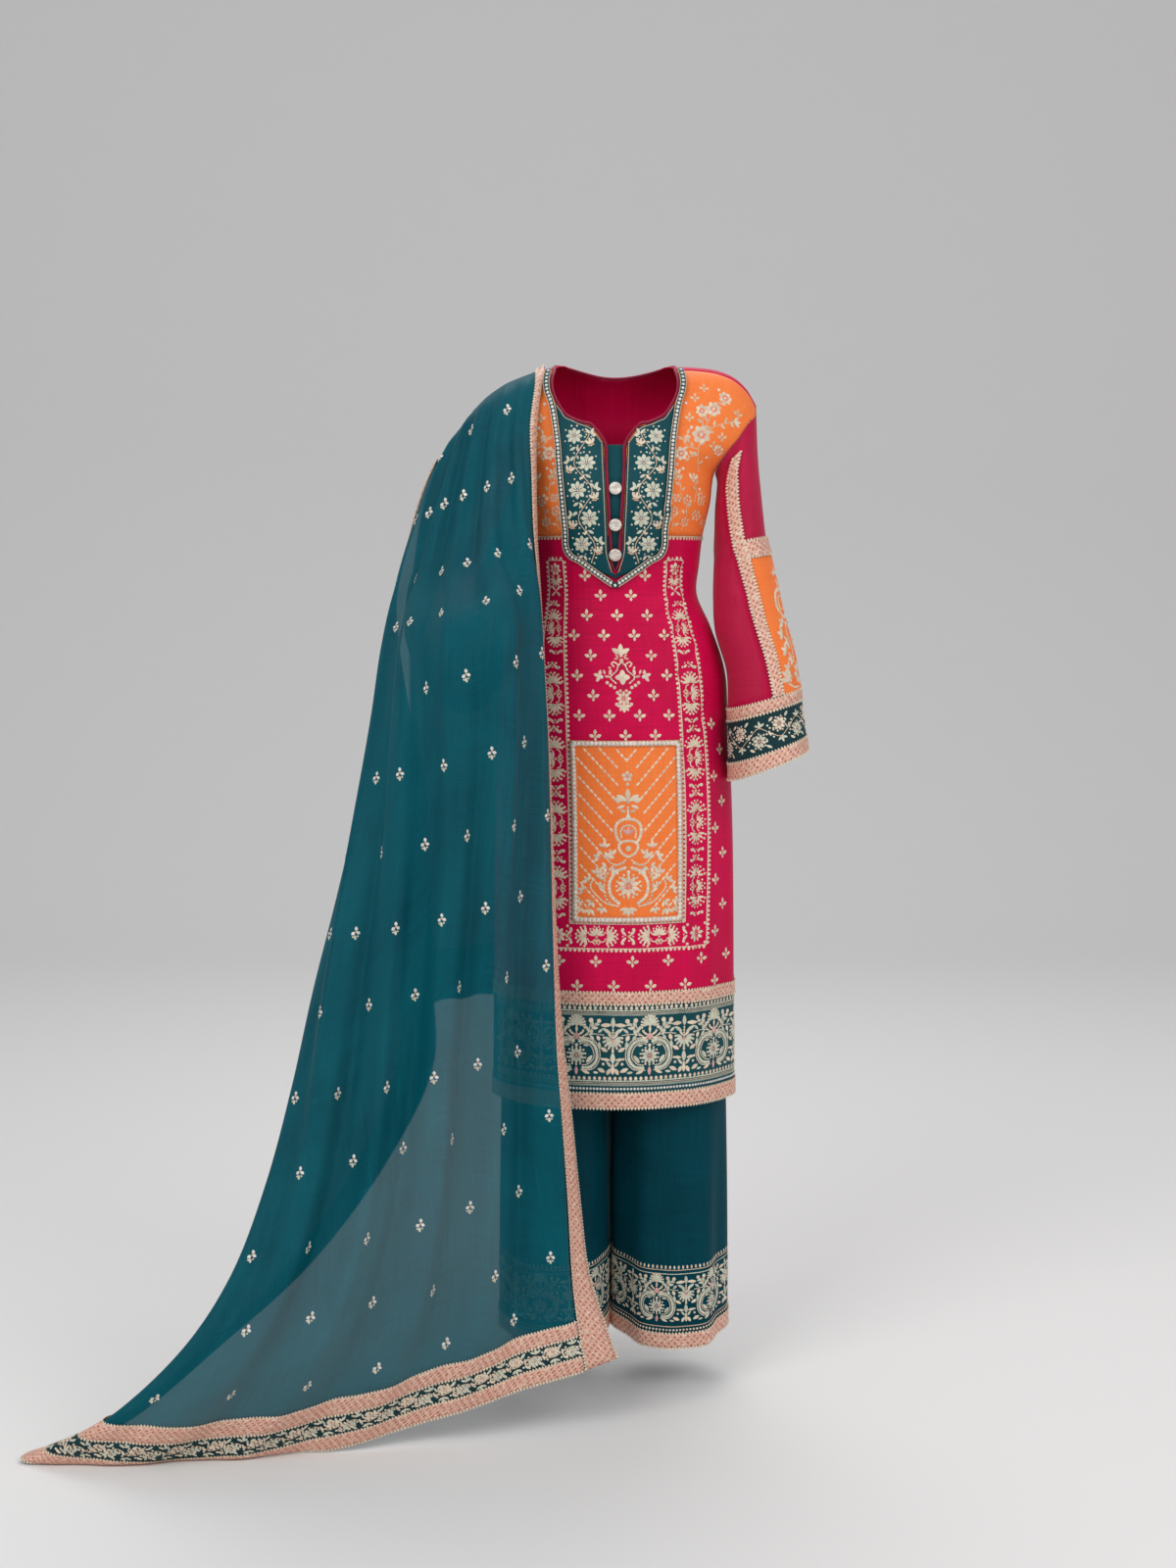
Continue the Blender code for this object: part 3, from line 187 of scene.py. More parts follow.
def smooth(table):
    """A function that reads a table's other columns at keys, on a smooth curve."""
    data = np.array(table, float)
    keys, rest = data[:, 0], data[:, 1:]
    slopes = np.gradient(rest, keys, axis=0)

    def at(key):
        key = np.clip(np.asarray(key, float), keys[0], keys[-1])
        i = np.clip(np.searchsorted(keys, key, side="right") - 1, 0, len(keys) - 2)
        span = (keys[i + 1] - keys[i])[..., None]
        t = (key - keys[i])[..., None] / span
        t2, t3 = t * t, t * t * t
        ends = (2 * t3 - 3 * t2 + 1) * rest[i] + (3 * t2 - 2 * t3) * rest[i + 1]
        return ends + span * ((t3 - 2 * t2 + t) * slopes[i] + (t3 - t2) * slopes[i + 1])

    return at


body_at, armhole_at, turn_at = smooth(BODY), smooth(ARMHOLE), smooth(TURN)
left_shoulder_at, right_shoulder_at = smooth(LEFT_SHOULDER), smooth(RIGHT_SHOULDER)


def ease(value):
    value = np.clip(value, 0.0, 1.0)
    return value * value * (3 - 2 * value)


def run_of(drop):
    """The length of cloth from the ridge of the shoulder down to a drop."""
    drop = np.maximum(np.asarray(drop, float), 0.0)
    turning = ROUND * np.arccos(np.clip(1 - drop / ROUND, -1, 1))
    return np.where(drop < ROUND, turning, drop - ROUND + ROUND * math.pi / 2)


def drop_of(run):
    turned = np.minimum(abs(run), ROUND * math.pi / 2)
    return ROUND * (1 - np.cos(turned / ROUND)) + abs(run) - turned


def swell_at(angle, drop, half, side):
    """How far the folds and creases stand out from the plain form."""
    swell = np.zeros_like(angle)
    for fold_side, middle, lean, top, bottom, depth, width in SKIRT_FOLDS:
        along = np.clip((drop - top) / (bottom - top), 0, 1)
        off = (angle - middle - lean * along) / width
        shape = np.sin(math.pi * along ** FOLD_SKEW) * np.exp(-off * off)
        swell += np.where(side == fold_side, depth * shape, 0.0)
    for crease_side, x0, drop0, x1, drop1, depth, width in CREASES:
        reach = (x1 - x0) ** 2 + (drop1 - drop0) ** 2
        x = half * angle
        along = np.clip(((x - x0) * (x1 - x0) + (drop - drop0) * (drop1 - drop0)) / reach, 0, 1)
        away = np.hypot(x - x0 - along * (x1 - x0), drop - drop0 - along * (drop1 - drop0))
        shape = np.sin(math.pi * (CREASE_END + (1 - 2 * CREASE_END) * along)) * np.exp(-(away / width) ** 2)
        swell += np.where(side == crease_side, CREASE_STRENGTH * depth * shape, 0.0)
    return swell


def torso(angle, run):
    """Points of the kameez: angle from the middle, run from the ridge, negative in front."""
    angle, run = np.broadcast_arrays(angle, run)
    drop = drop_of(run)
    half, front, back = np.moveaxis(body_at(drop), -1, 0)
    side = np.where(run < 0, -1, 1)
    swell = swell_at(angle, drop, half, side)
    turning = np.sin(np.minimum(abs(run) / ROUND, math.pi / 2))
    depth = np.where(side < 0, front, back) * turning + swell
    x = (half + swell) * np.sin(angle)
    fall = np.where(x > 0, left_shoulder_at(abs(x))[..., 0], right_shoulder_at(abs(x))[..., 0])
    z = -drop - fall * (1 - ease(drop / SHOULDER_REACH))
    return np.stack([x, side * depth * np.cos(angle), z], -1)


def arc_to(angle, half, depth):
    """The length of cloth from the middle of the front or the back to an angle."""
    steps = angle[..., None] * (GAUSS + 1) / 2
    speed = np.hypot(half[..., None] * np.cos(steps), depth[..., None] * np.sin(steps))
    return angle / 2 * (speed * WEIGHTS).sum(-1)


def angle_to(arc, half, depth):
    arc, half, depth = np.broadcast_arrays(arc, half, depth)
    angle = arc / half
    for _ in range(5):
        speed = np.hypot(half * np.cos(angle), depth * np.sin(angle))
        angle = np.clip(angle - (arc_to(angle, half, depth) - arc) / speed, -WRAP, WRAP)
    return angle


def front_at(across, drop):
    """Points of the kameez front: cloth from its own middle, and drop."""
    across, drop = np.broadcast_arrays(across, drop)
    half, front, _ = np.moveaxis(body_at(drop), -1, 0)
    return torso(angle_to(across + turn_at(drop)[..., 0], half, front), -run_of(drop))


def back_at(across, drop):
    """Points of the kameez back: cloth to the right of its middle as seen from behind."""
    across, drop = np.broadcast_arrays(across, drop)
    half, _, back = np.moveaxis(body_at(drop), -1, 0)
    return torso(angle_to(-across, half, back), run_of(drop))


def tangents(surface, across, drop, step=0.0015):
    """Points of a surface, with the ways across and down it and out of it."""
    along = (surface(across + step, drop) - surface(across - step, drop)) / (2 * step)
    down = (surface(across, drop + step) - surface(across, drop - step)) / (2 * step)
    normal = np.cross(down, along)
    normal /= np.maximum(np.linalg.norm(normal, axis=-1, keepdims=True), 1e-9)
    return surface(across, drop), along, down, normal


def raised(grid, height, ring=False):
    """A grid of points moved out along its own normals."""
    wide = np.concatenate([grid[:, -2:-1], grid, grid[:, 1:2]], 1) if ring else grid
    across = wide[:, 2:] - wide[:, :-2] if ring else np.gradient(grid, axis=1)
    normal = np.cross(np.gradient(grid, axis=0), across)
    normal /= np.maximum(np.linalg.norm(normal, axis=2, keepdims=True), 1e-9)
    return grid + normal * height


def cloth_lengths(grid):
    """How far each point of a grid lies across and down the flat cloth, in metres."""
    across = np.linalg.norm(np.diff(grid, axis=1), axis=2).cumsum(1)
    down = np.linalg.norm(np.diff(grid, axis=0), axis=2).cumsum(0)
    across = np.pad(across, ((0, 0), (1, 0)))
    across -= across[:, -1:] / 2
    return np.stack([across, -np.pad(down, ((1, 0), (0, 0)))], -1)


def shell(name, grid, material, wall=CLOTH, ring=False, keep=None, flat=None):
    """A thin sheet of cloth through a grid of points, walled inwards. Ring joins its sides, and
    keep marks the cells that are cloth."""
    deep, wide = grid.shape[:2]
    mesh = bpy.data.meshes.new(name)
    bm = bmesh.new()
    bmesh.ops.create_grid(bm, x_segments=wide - 1, y_segments=deep - 1, size=1)
    bmesh.ops.reverse_faces(bm, faces=bm.faces[:])
    bm.to_mesh(mesh)
    bm.free()
    mesh.vertices.foreach_set("co", grid.ravel())
    lay_flat(mesh, cloth_lengths(grid) if flat is None else flat)
    bm = bmesh.new()
    bm.from_mesh(mesh)
    if keep is not None:
        bm.faces.ensure_lookup_table()
        dropped = [bm.faces[int(index)] for index in np.flatnonzero(~keep.ravel())]
        bmesh.ops.delete(bm, geom=dropped, context="FACES")
    if ring:
        bmesh.ops.remove_doubles(bm, verts=bm.verts[:], dist=1e-6)
    bm.to_mesh(mesh)
    bm.free()
    mesh.materials.append(material)
    mesh.shade_smooth()
    made = placed(name, mesh)
    if wall:
        solid = made.modifiers.new("wall", "SOLIDIFY")
        solid.thickness = wall
        solid.offset = -1
    return made


def lay_flat(mesh, flat):
    """Gives each point of a mesh its place on the flat cloth."""
    corners = np.empty(len(mesh.loops), np.int32)
    mesh.loops.foreach_get("vertex_index", corners)
    mesh.uv_layers.new(name="flat").data.foreach_set("uv", flat.reshape(-1, 2)[corners].ravel())


def dress(piece, slot, *nodes):
    """The piece takes the place of these solids."""
    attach(piece, "root")
    if nodes:
        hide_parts(*nodes)
    return piece


def cut_area(grid, keep=None):
    """The area of cloth that a grid of points covers."""
    cells = np.cross(grid[1:, 1:] - grid[:-1, :-1], grid[1:, :-1] - grid[:-1, 1:])
    cells = np.linalg.norm(cells, axis=2) / 2
    return float(cells.sum() if keep is None else cells[keep].sum())


def declare(piece, grid, keep=None, strip=None):
    """Works out the flat cut of a piece, and keeps it nowhere. Strip is its width where it runs
    round a frame, and keep marks the frame's cells. A slit takes nothing off the area that it is cut into."""
    area, lengths = cut_area(grid, keep if strip else None), cloth_lengths(grid)
    flat = (max(0.01, float(np.ptp(lengths[..., 0]))), max(0.01, float(np.ptp(lengths[..., 1]))))
    flat = (area / strip / 0.96, strip) if strip else flat
    return piece


def sewn(name, grid, material, held, rests, height=0.0, wall=CLOTH, ring=False, keep=None,
         flat=None, strip=None, slot=None, nodes=()):
    """A piece of cloth at a height over a grid of points. It stands for the solid it is named after,
    unless others are given. Its slot is not used."""
    piece = shell(name, raised(grid, height, ring), material, wall, ring, keep, flat)
    dress(piece, slot or material.name.removesuffix("_weave"), *nodes or [name.rpartition("_")[0]])
    return declare(piece, grid, keep, strip)


class Nodes:
    """A material's shader nodes, wired as they are made."""

    def __init__(self, name):
        self.material = bpy.data.materials.new(name)
        self.material.use_nodes = True
        self.tree = self.material.node_tree
        self.shader = self.tree.nodes["Principled BSDF"]

    def add(self, kind, settings=(), **inputs):
        """A node with its settings and inputs. An input is its name, or i and its number."""
        node = self.tree.nodes.new(f"ShaderNode{kind}")
        for key, value in dict(settings).items():
            setattr(node, key, value)
        for key, value in inputs.items():
            self.put(node.inputs[int(key[1:]) if key[1:].isdigit() else key], value)
        return node

    def put(self, socket, value):
        if isinstance(value, bpy.types.NodeSocket):
            self.tree.links.new(value, socket)
        else:
            socket.default_value = value

    def flat(self, scale):
        """The cloth's own flat coordinates, in metres, scaled."""
        place = self.add("UVMap", {"uv_map": "flat"})
        return self.add("Mapping", Vector=place.outputs["UV"], Scale=scale).outputs["Vector"]

    def noise(self, vector, detail=2.0):
        return self.add("TexNoise", Vector=vector, Scale=1.0, Detail=detail).outputs["Fac"]

    def mixed(self, share, first, second, blend="MIX"):
        settings = {"data_type": "RGBA", "blend_type": blend}
        return self.add("Mix", settings, i0=share, i6=first, i7=second).outputs[2]

    def spread(self, value, low, high, start=0.3, end=0.7):
        """A value between start and end taken to one between low and high."""
        settings = {"From Min": start, "From Max": end, "To Min": low, "To Max": high}
        return self.add("MapRange", (), Value=value, **settings).outputs["Result"]

    def wave(self, vector, bands="X"):
        return self.add("TexWave", {"bands_direction": bands}, Vector=vector, Scale=1.0).outputs["Fac"]

    def math(self, operation, first, second):
        return self.add("Math", {"operation": operation}, i0=first, i1=second).outputs["Value"]

    def sum(self, first, share, second, other):
        """The first by its share and the second by its own, added."""
        first, second = self.math("MULTIPLY", first, share), self.math("MULTIPLY", second, other)
        return self.math("ADD", first, second)

    def bump(self, height, strength, distance):
        node = self.add("Bump", (), Strength=strength, Distance=distance, Height=height)
        return node.outputs["Normal"]

    def finish(self, surface):
        """Sets the inputs of the surface, and gives back the material."""
        for name, value in surface.items():
            self.put(self.shader.inputs[name], value)
        return self.material


WEAVE = (180, 180, 1)  # 573 threads to a metre, since a wave texture turns 20 radians a unit


def woven(name, colour, deep, rough=0.52, sheen=0.3, relief=0.25, slub=0.35, alpha=1.0,
          gloss=0.18):
    """Woven silk: fine warp and weft, thicker threads here and there, and a soft sheen."""
    nodes = Nodes(name)
    weave = nodes.flat(WEAVE)
    slubs = nodes.noise(nodes.flat((14, 620, 1)), 3.0)
    ends = nodes.noise(nodes.flat((540, 11, 1)), 3.0)
    patches = nodes.noise(nodes.flat((9, 7, 1)), 4.0)
    tone = nodes.sum(nodes.sum(slubs, 0.55, ends, 0.45), 0.65, patches, 0.35)
    threads = nodes.math("MAXIMUM", nodes.wave(weave), nodes.wave(weave, "Y"))
    height = nodes.math("ADD", threads, nodes.math("MULTIPLY", slubs, slub))
    tint = [0.4 + 0.6 * (c / max(deep)) for c in deep]
    return nodes.finish({
        "Base Color": nodes.mixed(nodes.spread(tone, 0.0, 1.0, 0.38, 0.62), (*deep, 1), (*colour, 1)),
        "Roughness": nodes.spread(tone, rough - 0.06, rough + 0.08),
        "Normal": nodes.bump(height, relief, 0.0004), "Sheen Weight": sheen, "Sheen Roughness": 0.45,
        "Sheen Tint": (*tint, 1), "Specular IOR Level": gloss, "Alpha": alpha,
    })


magenta_silk = woven("magenta_silk_weave", (0.68, 0.001, 0.074), (0.48, 0, 0.044), sheen=0.05,
                     gloss=0.12)


def vent(drop):
    """Half the opening between the front and the back at the side."""
    return SEAM + VENT_HALF * ease((drop - VENT_TOP) / (HEM - VENT_TOP))


def slit_half(drop):
    share = np.clip((drop - SLIT_TOP) / (SLIT_BOTTOM - SLIT_TOP), 0, 1)
    return SLIT_HALF[0] + (SLIT_HALF[1] - SLIT_HALF[0]) * share


def side_arc(drop, front=True):
    """The length of cloth from the middle line of the body to the side seam."""
    half, ahead, behind = np.moveaxis(body_at(drop), -1, 0)
    depth = ahead if front else behind
    return arc_to(np.full_like(half, math.pi / 2), half, depth) - vent(drop)


def front_grid(drops, count=34, middle=2):
    """Points of the front in rows, with columns on both edges of the slit's width."""
    drops = np.asarray(drops, float)[:, None]
    side, turn, slit = side_arc(drops), turn_at(drops)[..., 0], slit_half(drops)
    share = np.linspace(0, 1, count)
    left = -side - turn + (side + turn - slit) * share
    between = slit * np.linspace(-1, 1, middle + 1)[1:-1]
    right = slit + (side - turn - slit) * share
    across = np.concatenate([left, between, right], 1)
    return front_at(across, drops), np.stack([across, -drops + 0 * across], -1)


def back_grid(drops, count=72):
    drops = np.asarray(drops, float)[:, None]
    across = side_arc(drops, False) * np.linspace(-1, 1, count + 1)
    return back_at(across, drops), np.stack([across, -drops + 0 * across], -1)


def coons(top, bottom, left, right):
    """A patch of pairs between four edges."""
    v = np.linspace(0, 1, len(left))[:, None, None]
    u = np.linspace(0, 1, len(top))[None, :, None]
    patch = (1 - v) * top[None] + v * bottom[None] + (1 - u) * left[:, None] + u * right[:, None]
    patch -= (1 - v) * ((1 - u) * top[0] + u * top[-1])
    return patch - v * ((1 - u) * bottom[0] + u * bottom[-1])


def finer(points, steps):
    """More points on a smooth curve through these."""
    table = [(i, *point) for i, point in enumerate(points)]
    return smooth(table)(np.linspace(0, len(points) - 1, steps * (len(points) - 1) + 1))


def angle_of(x, drop):
    return np.arcsin(np.clip(x / body_at(drop)[..., 0], -1, 1))


def armhole_pairs(runs):
    """Angle and run along the armhole's edge."""
    drop = drop_of(np.asarray(runs, float))
    return np.stack([angle_of(armhole_at(drop)[..., 0], drop), np.asarray(runs, float)], -1)


def upper_back_grid():
    """Points of the back from the shoulder seams and the neck down to the armpits."""
    tip, neck = armhole_pairs([-SHOULDER_RUN])[0], float(angle_of(*NECK_TIP))
    strap = np.linspace(tip, (neck, tip[1]), STRAP_COLUMNS)
    neck_edge = np.array([(float(angle_of(x, BACK_NECK_DROP)), run) for x, run in BACK_NECK])
    corner = np.linspace(strap[-1], neck_edge[0], 8)[1:-1]
    half_top = np.concatenate([strap, corner])
    top = np.concatenate([half_top, neck_edge, half_top[::-1] * (-1, 1)])
    deepest = float(run_of(ARMPIT))
    left = armhole_pairs(np.linspace(-SHOULDER_RUN, deepest, ARMHOLE_ROWS))
    half, _, back = body_at(ARMPIT)
    side = float(side_arc(np.array(ARMPIT), False)) + SEAM
    arcs = np.linspace(side, -side, len(top))
    bottom = np.stack([angle_to(arcs, half, back), np.full(len(top), deepest)], -1)
    pairs = coons(top, bottom, left, left * (-1, 1))
    return torso(pairs[..., 0], pairs[..., 1])


def make_kameez():
    yokes = ["yoke_left_silk", "yoke_right_silk"]
    drops = np.concatenate([np.linspace(YOKE_DROP + 2 * SEAM, SLIT_BOTTOM, SLIT_ROWS + 1)[:-1],
                            np.linspace(SLIT_BOTTOM, BAND_TOP - SEAM, FRONT_ROWS)])
    grid, flat = front_grid(drops)
    keep = np.ones((grid.shape[0] - 1, grid.shape[1] - 1), bool)
    middle = grid.shape[1] // 2
    keep[:SLIT_ROWS, middle - 1:middle + 1] = False
    sewn("kameez_front_silk", grid, magenta_silk, "hung", yokes, CLOTH, keep=keep, flat=flat)
    upper = upper_back_grid()
    lower, _ = back_grid(np.linspace(ARMPIT, BAND_TOP - SEAM, BACK_ROWS), upper.shape[1] - 1)
    grid = np.concatenate([upper, lower[1:]])
    sewn("kameez_back_silk", grid, magenta_silk, "hung", yokes, CLOTH)


make_kameez()

# ---- yoke ----
# The upper front is orange silk in two halves, joined to the back at the shoulder seams, to the
# sleeves at the armholes and to the magenta front in a straight seam under the bust.
SIDES = ((1, "left"), (-1, "right"))
SLIT_PLACES = (0.145, 0.175, 0.205)
YOKE_COLUMNS = 28
orange_silk = woven("orange_silk_weave", (0.95, 0.24, 0.052), (0.87, 0.168, 0.03), sheen=0.08)


def yoke_grid(side):
    """Points of one half of the front yoke, from the neckline and slit out to the armhole."""
    neck = [(float(angle_of(x, drop)), -float(run_of(drop))) for x, drop in NECKLINE]
    slit = [(float(angle_of(slit_half(d), d)), -float(run_of(d)))
            for d in (*SLIT_PLACES, YOKE_DROP)]
    inner = finer(neck + slit, 4)
    deepest = float(run_of(ARMPIT))
    armhole = armhole_pairs(-np.linspace(SHOULDER_RUN + 4 * SEAM, deepest, 33))
    drops = np.linspace(ARMPIT, YOKE_DROP, 13)[1:]
    seam = math.pi / 2 - SEAM / body_at(drops)[:, 1]
    outer = np.concatenate([armhole, np.stack([seam, -run_of(drops)], -1)])
    top = np.linspace(inner[0], outer[0], YOKE_COLUMNS + 1)
    half, front, _ = body_at(YOKE_DROP)
    ends = [float(arc_to(np.array(a), half, front)) for a in (inner[-1][0], outer[-1][0])]
    across = angle_to(np.linspace(*ends, YOKE_COLUMNS + 1), half, front)
    bottom = np.stack([across, np.full(YOKE_COLUMNS + 1, -float(run_of(YOKE_DROP)))], -1)
    pairs = coons(top, bottom, inner, outer)
    grid = torso(side * pairs[..., 0], pairs[..., 1])
    return grid if side > 0 else grid[:, ::-1]


for side, name in SIDES:
    sewn(f"yoke_{name}_silk", yoke_grid(side), orange_silk, "stretched", ["kameez_front_silk"], CLOTH)

# ---- hem band ----
# A band of dark teal silk is seamed to the bottom of the front and the back. Woven lace covers
# the seam, and a second lace finishes the hem.
HEM_LACES = (("top", 0.8935, 0.911), ("low", 1.04, HEM))
BAND_ROWS, LACE_ROWS = 30, 5
teal_silk = woven("teal_silk_weave", (0.001, 0.07, 0.086), (0, 0.042, 0.054), sheen=0.04)


def lace_material(name, colour, deep, pitch=0.0068, fleck=(0.92, 0.74, 0.6)):
    """A woven lace: crossed diagonal threads with pale loops and dark gaps among them."""
    nodes = Nodes(name)
    waves = math.pi / pitch / 10
    turned = nodes.add("Mapping", Vector=nodes.flat((1, 1, 1)), Rotation=(0, 0, math.radians(45)),
                       Scale=(waves, waves, 1)).outputs["Vector"]
    crossed = nodes.math("MAXIMUM", nodes.wave(turned), nodes.wave(turned, "Y"))
    fibres = nodes.noise(nodes.flat((520, 520, 1)), 3.0)
    blots = nodes.noise(nodes.flat((150, 150, 1)), 2.0)
    tone = nodes.sum(crossed, 0.55, fibres, 0.75)
    ground = nodes.mixed(nodes.spread(tone, 0.0, 1.0, 0.42, 0.98), (*deep, 1), (*colour, 1))
    loops = nodes.spread(nodes.math("MULTIPLY", blots, fibres), 0.0, 0.75, 0.27, 0.36)
    return nodes.finish({
        "Base Color": nodes.mixed(loops, ground, (*fleck, 1)), "Normal": nodes.bump(tone, 0.7, 0.001),
        "Roughness": nodes.spread(tone, 0.55, 0.4, 0.3, 1.0), "Metallic": 0.1,
        "Specular IOR Level": 0.3,
    })


gold_lace = lace_material("gold_lace_weave", (0.82, 0.46, 0.34), (0.38, 0.15, 0.11))


def trim(name, grid, material, rests, height=LAY, **more):
    """A strip sewn flat on the cloth under it."""
    return sewn(name, grid, material, "stretched", [rests], height + LACE, LACE, **more)


for name, grid_of in (("front", front_grid), ("back", back_grid)):
    band = f"hem_band_{name}_silk"
    grid, flat = grid_of(np.linspace(BAND_TOP + SEAM, HEM, BAND_ROWS))
    sewn(band, grid, teal_silk, "hung", [f"kameez_{name}_silk"], CLOTH, flat=flat)
    for place, top, low in HEM_LACES:
        grid, _ = grid_of(np.linspace(top, low, LACE_ROWS))
        trim(f"hem_lace_{place}_{name}_weave", grid, gold_lace, band, CLOTH + LAY)

# ---- skirt patch ----
# An upright panel of orange silk is sewn on the middle of the skirt front, and a lace of small
# pearls covers its four edges.
PATCH = (0.5324, 0.7923)
PATCH_HALF, PATCH_EDGE, PATCH_LACE_CUT = 0.0795, 0.008, 0.01
PATCH_COLUMNS, PATCH_ROWS = 27, 40
pearl_trim = lace_material("pearl_trim_weave", (0.78, 0.52, 0.36), (0.46, 0.22, 0.14), 0.004)


def make_patch():
    drops = np.linspace(*PATCH, PATCH_ROWS)[:, None]
    grid = front_at(np.linspace(-PATCH_HALF, PATCH_HALF, PATCH_COLUMNS), drops)
    trim("front_patch_silk", grid, orange_silk, "kameez_front_silk", CLOTH + LAY)
    inside, top, low = PATCH_HALF - PATCH_EDGE, PATCH[0] + PATCH_EDGE, PATCH[1] - PATCH_EDGE
    across = [-PATCH_HALF, *np.linspace(-inside, inside, PATCH_COLUMNS - 2), PATCH_HALF]
    down = [PATCH[0], *np.linspace(top, low, PATCH_ROWS - 3), PATCH[1]]
    grid = front_at(np.array(across), np.array(down)[:, None])
    keep = np.ones((len(down) - 1, len(across) - 1), bool)
    keep[1:-1, 1:-1] = False
    trim("patch_lace_weave", grid, pearl_trim, "front_patch_silk", CLOTH + LACE + 2 * LAY,
         keep=keep, strip=PATCH_LACE_CUT)


make_patch()

# ---- neckline ----
# Two panels of teal silk lie beside the slit and meet in a point under it. A lace of pearls
# edges them, a tucked placket closes the slit from behind, and a cord of maroon piping binds
# the neckline.
PANEL_POINT = ((0.008, 0.304), (0.065, 0.263))
PANEL_OUT = CLOTH + 0.0016
NECK_LACE_OUT = PANEL_OUT + LACE + 0.0016
PANEL_TUCK = 0.0004  # the panel's top edge stays this far under the neckline
POINT_CLEAR = 0.0006  # from the middle line to each panel under the slit
LACE_CLEAR = 0.0002
NECK_LACE = (MM, MM, 1, 1) * np.array((  # distance out, drop, and the way across the lace to its inner edge
    (97.5, 9, 1, 0), (100.5, 25, 1, 0), (98.5, 42, 1, 0), (92.5, 60, 1, 0), (88, 85, 1, 0),
    (83.5, 120, 1, 0), (79.5, 160, 1, 0), (75.5, 200, 1, 0), (72, 235, 1, 0),
    (69, 266.5, 1, -0.35), (50, 281, 0.45, -1), (31, 295.5, 0.45, -1), (12, 309.5, 0.45, -1),
    (1.5, 316.5, 0, -1),
))
NECK_LACE_WIDTH = 0.0085
TUCKS, TUCK_PITCH, TUCK_RISE = 11, 0.0042, 0.0011
TUCK_START, PLACKET_END = 0.002, 0.004
PLACKET_SPARE = 0.0045
PIPE, PIPE_OUT, PIPE_CLEAR = 0.0014, 0.0002, 0.0012
# how the cord keeps clear of the neckline: above this drop, below it, and at the slit's top
PIPE_TURN, PIPE_SIDE, PIPE_LOW, PIPE_TIP = 0.05, (1, 0), (0.55, -0.85), (1, -0.45)
PIPE_SHOWN = 0.0021  # the binding is rounder than its core
PIPE_BACK = (  # the cord behind the neck: distance out, run from the ridge
    (-0.0868, -0.0136), (-0.0815, 0.006), (-0.059, 0.028), (-0.03, 0.0408), (0.0, 0.0448),
)
maroon_cord = woven("maroon_piping_weave", (0.33, 0.012, 0.05), (0.17, 0.004, 0.022), relief=0.5)
lace_ground = woven("neck_lace_weave", (0.012, 0.075, 0.08), (0.005, 0.036, 0.042), sheen=0.1)


def bodice_at(x, drop):
    """Points of the upper front, from the distance out instead of the length of cloth."""
    x, drop = np.broadcast_arrays(x, drop)
    return torso(np.arcsin(np.clip(x / body_at(drop)[..., 0], -1, 1)), -run_of(drop))


def laid(surface, across, drop, height):
    here, _, _, normal = tangents(surface, across, drop)
    return here + normal * height


def runs_along(points):
    """How far along a line each of its points lies."""
    return np.concatenate([[0], np.cumsum(np.linalg.norm(np.diff(points, axis=0), axis=1))])


def neck_column(share, steps=44):
    """Points down a neck panel, at a share of its width from the slit."""
    path = NECKLINE[::-1][:5]
    lengths = runs_along(path)
    top = np.array([np.interp(share * lengths[-1], lengths, path[:, k]) for k in (0, 1)])
    top[1] += PANEL_TUCK
    low = np.array(PANEL_POINT[0]) + np.subtract(*PANEL_POINT[::-1]) * share
    line = top + (low - top) * np.linspace(0, 1, steps + 1)[:, None]
    bend = ease((line[:, 1] - SLIT_BOTTOM + 0.002) / 0.0045) * min(1, max(0, 1 - share / 0.25))
    line[:, 0] += (POINT_CLEAR - line[:, 0]) * bend
    return line


def neck_lace_line():
    """Outer and inner edges of the mirror lace, each a row of distances out and drops."""
    table = finer(NECK_LACE, 6)
    size = NECK_LACE_WIDTH / np.hypot(table[:, 2], table[:, 3])
    inner = np.stack([np.maximum(table[:, 0] - table[:, 2] * size, LACE_CLEAR),
                      table[:, 1] + table[:, 3] * size], -1)
    outer = table[:, :2].copy()
    outer[-1, 0] = inner[-1, 0] = LACE_CLEAR
    return outer, inner


def mirrored(grid, side):
    return grid if side > 0 else grid[:, ::-1]


def make_neck_panels():
    outer, inner = neck_lace_line()
    for side, name in SIDES:
        flat = np.stack([neck_column(share) for share in np.linspace(-0.01, 1, 19)], 1)
        grid = mirrored(bodice_at(side * flat[..., 0], flat[..., 1]), side)
        trim(f"neck_panel_{name}_silk", grid, teal_silk, f"yoke_{name}_silk", PANEL_OUT)
        pair = np.stack([inner, (inner + outer) / 2, outer], 1)
        grid = mirrored(bodice_at(side * pair[..., 0], pair[..., 1]), side)
        trim(f"neck_lace_{name}_weave", grid, lace_ground, f"neck_panel_{name}_silk", NECK_LACE_OUT,
             slot="pearl_trim")


def make_placket():
    """The tucked piece sewn behind the slit."""
    tucked = SLIT_TOP + TUCK_START + TUCK_PITCH * (np.arange(TUCKS * 4 + 1) / 4)
    rise = np.tile([0.0, 0.5, 1.0, 0.75], TUCKS)
    plain = np.linspace(tucked[-1], SLIT_BOTTOM + PLACKET_END, 24)[1:]
    drops = np.concatenate([[SLIT_TOP], tucked, plain])
    lift = np.zeros(len(drops))
    lift[1:1 + len(rise)] = rise * TUCK_RISE
    half = slit_half(drops) + PLACKET_SPARE
    across = half[:, None] * np.linspace(-1, 1, 11)
    height = -(CLOTH + 2 * LAY) - TUCK_RISE + lift[:, None, None] + LACE
    grid = laid(bodice_at, across, drops[:, None] + 0 * across, height)
    sewn("placket_silk", grid, teal_silk, "stretched", ["yoke_left_silk", "yoke_right_silk"])


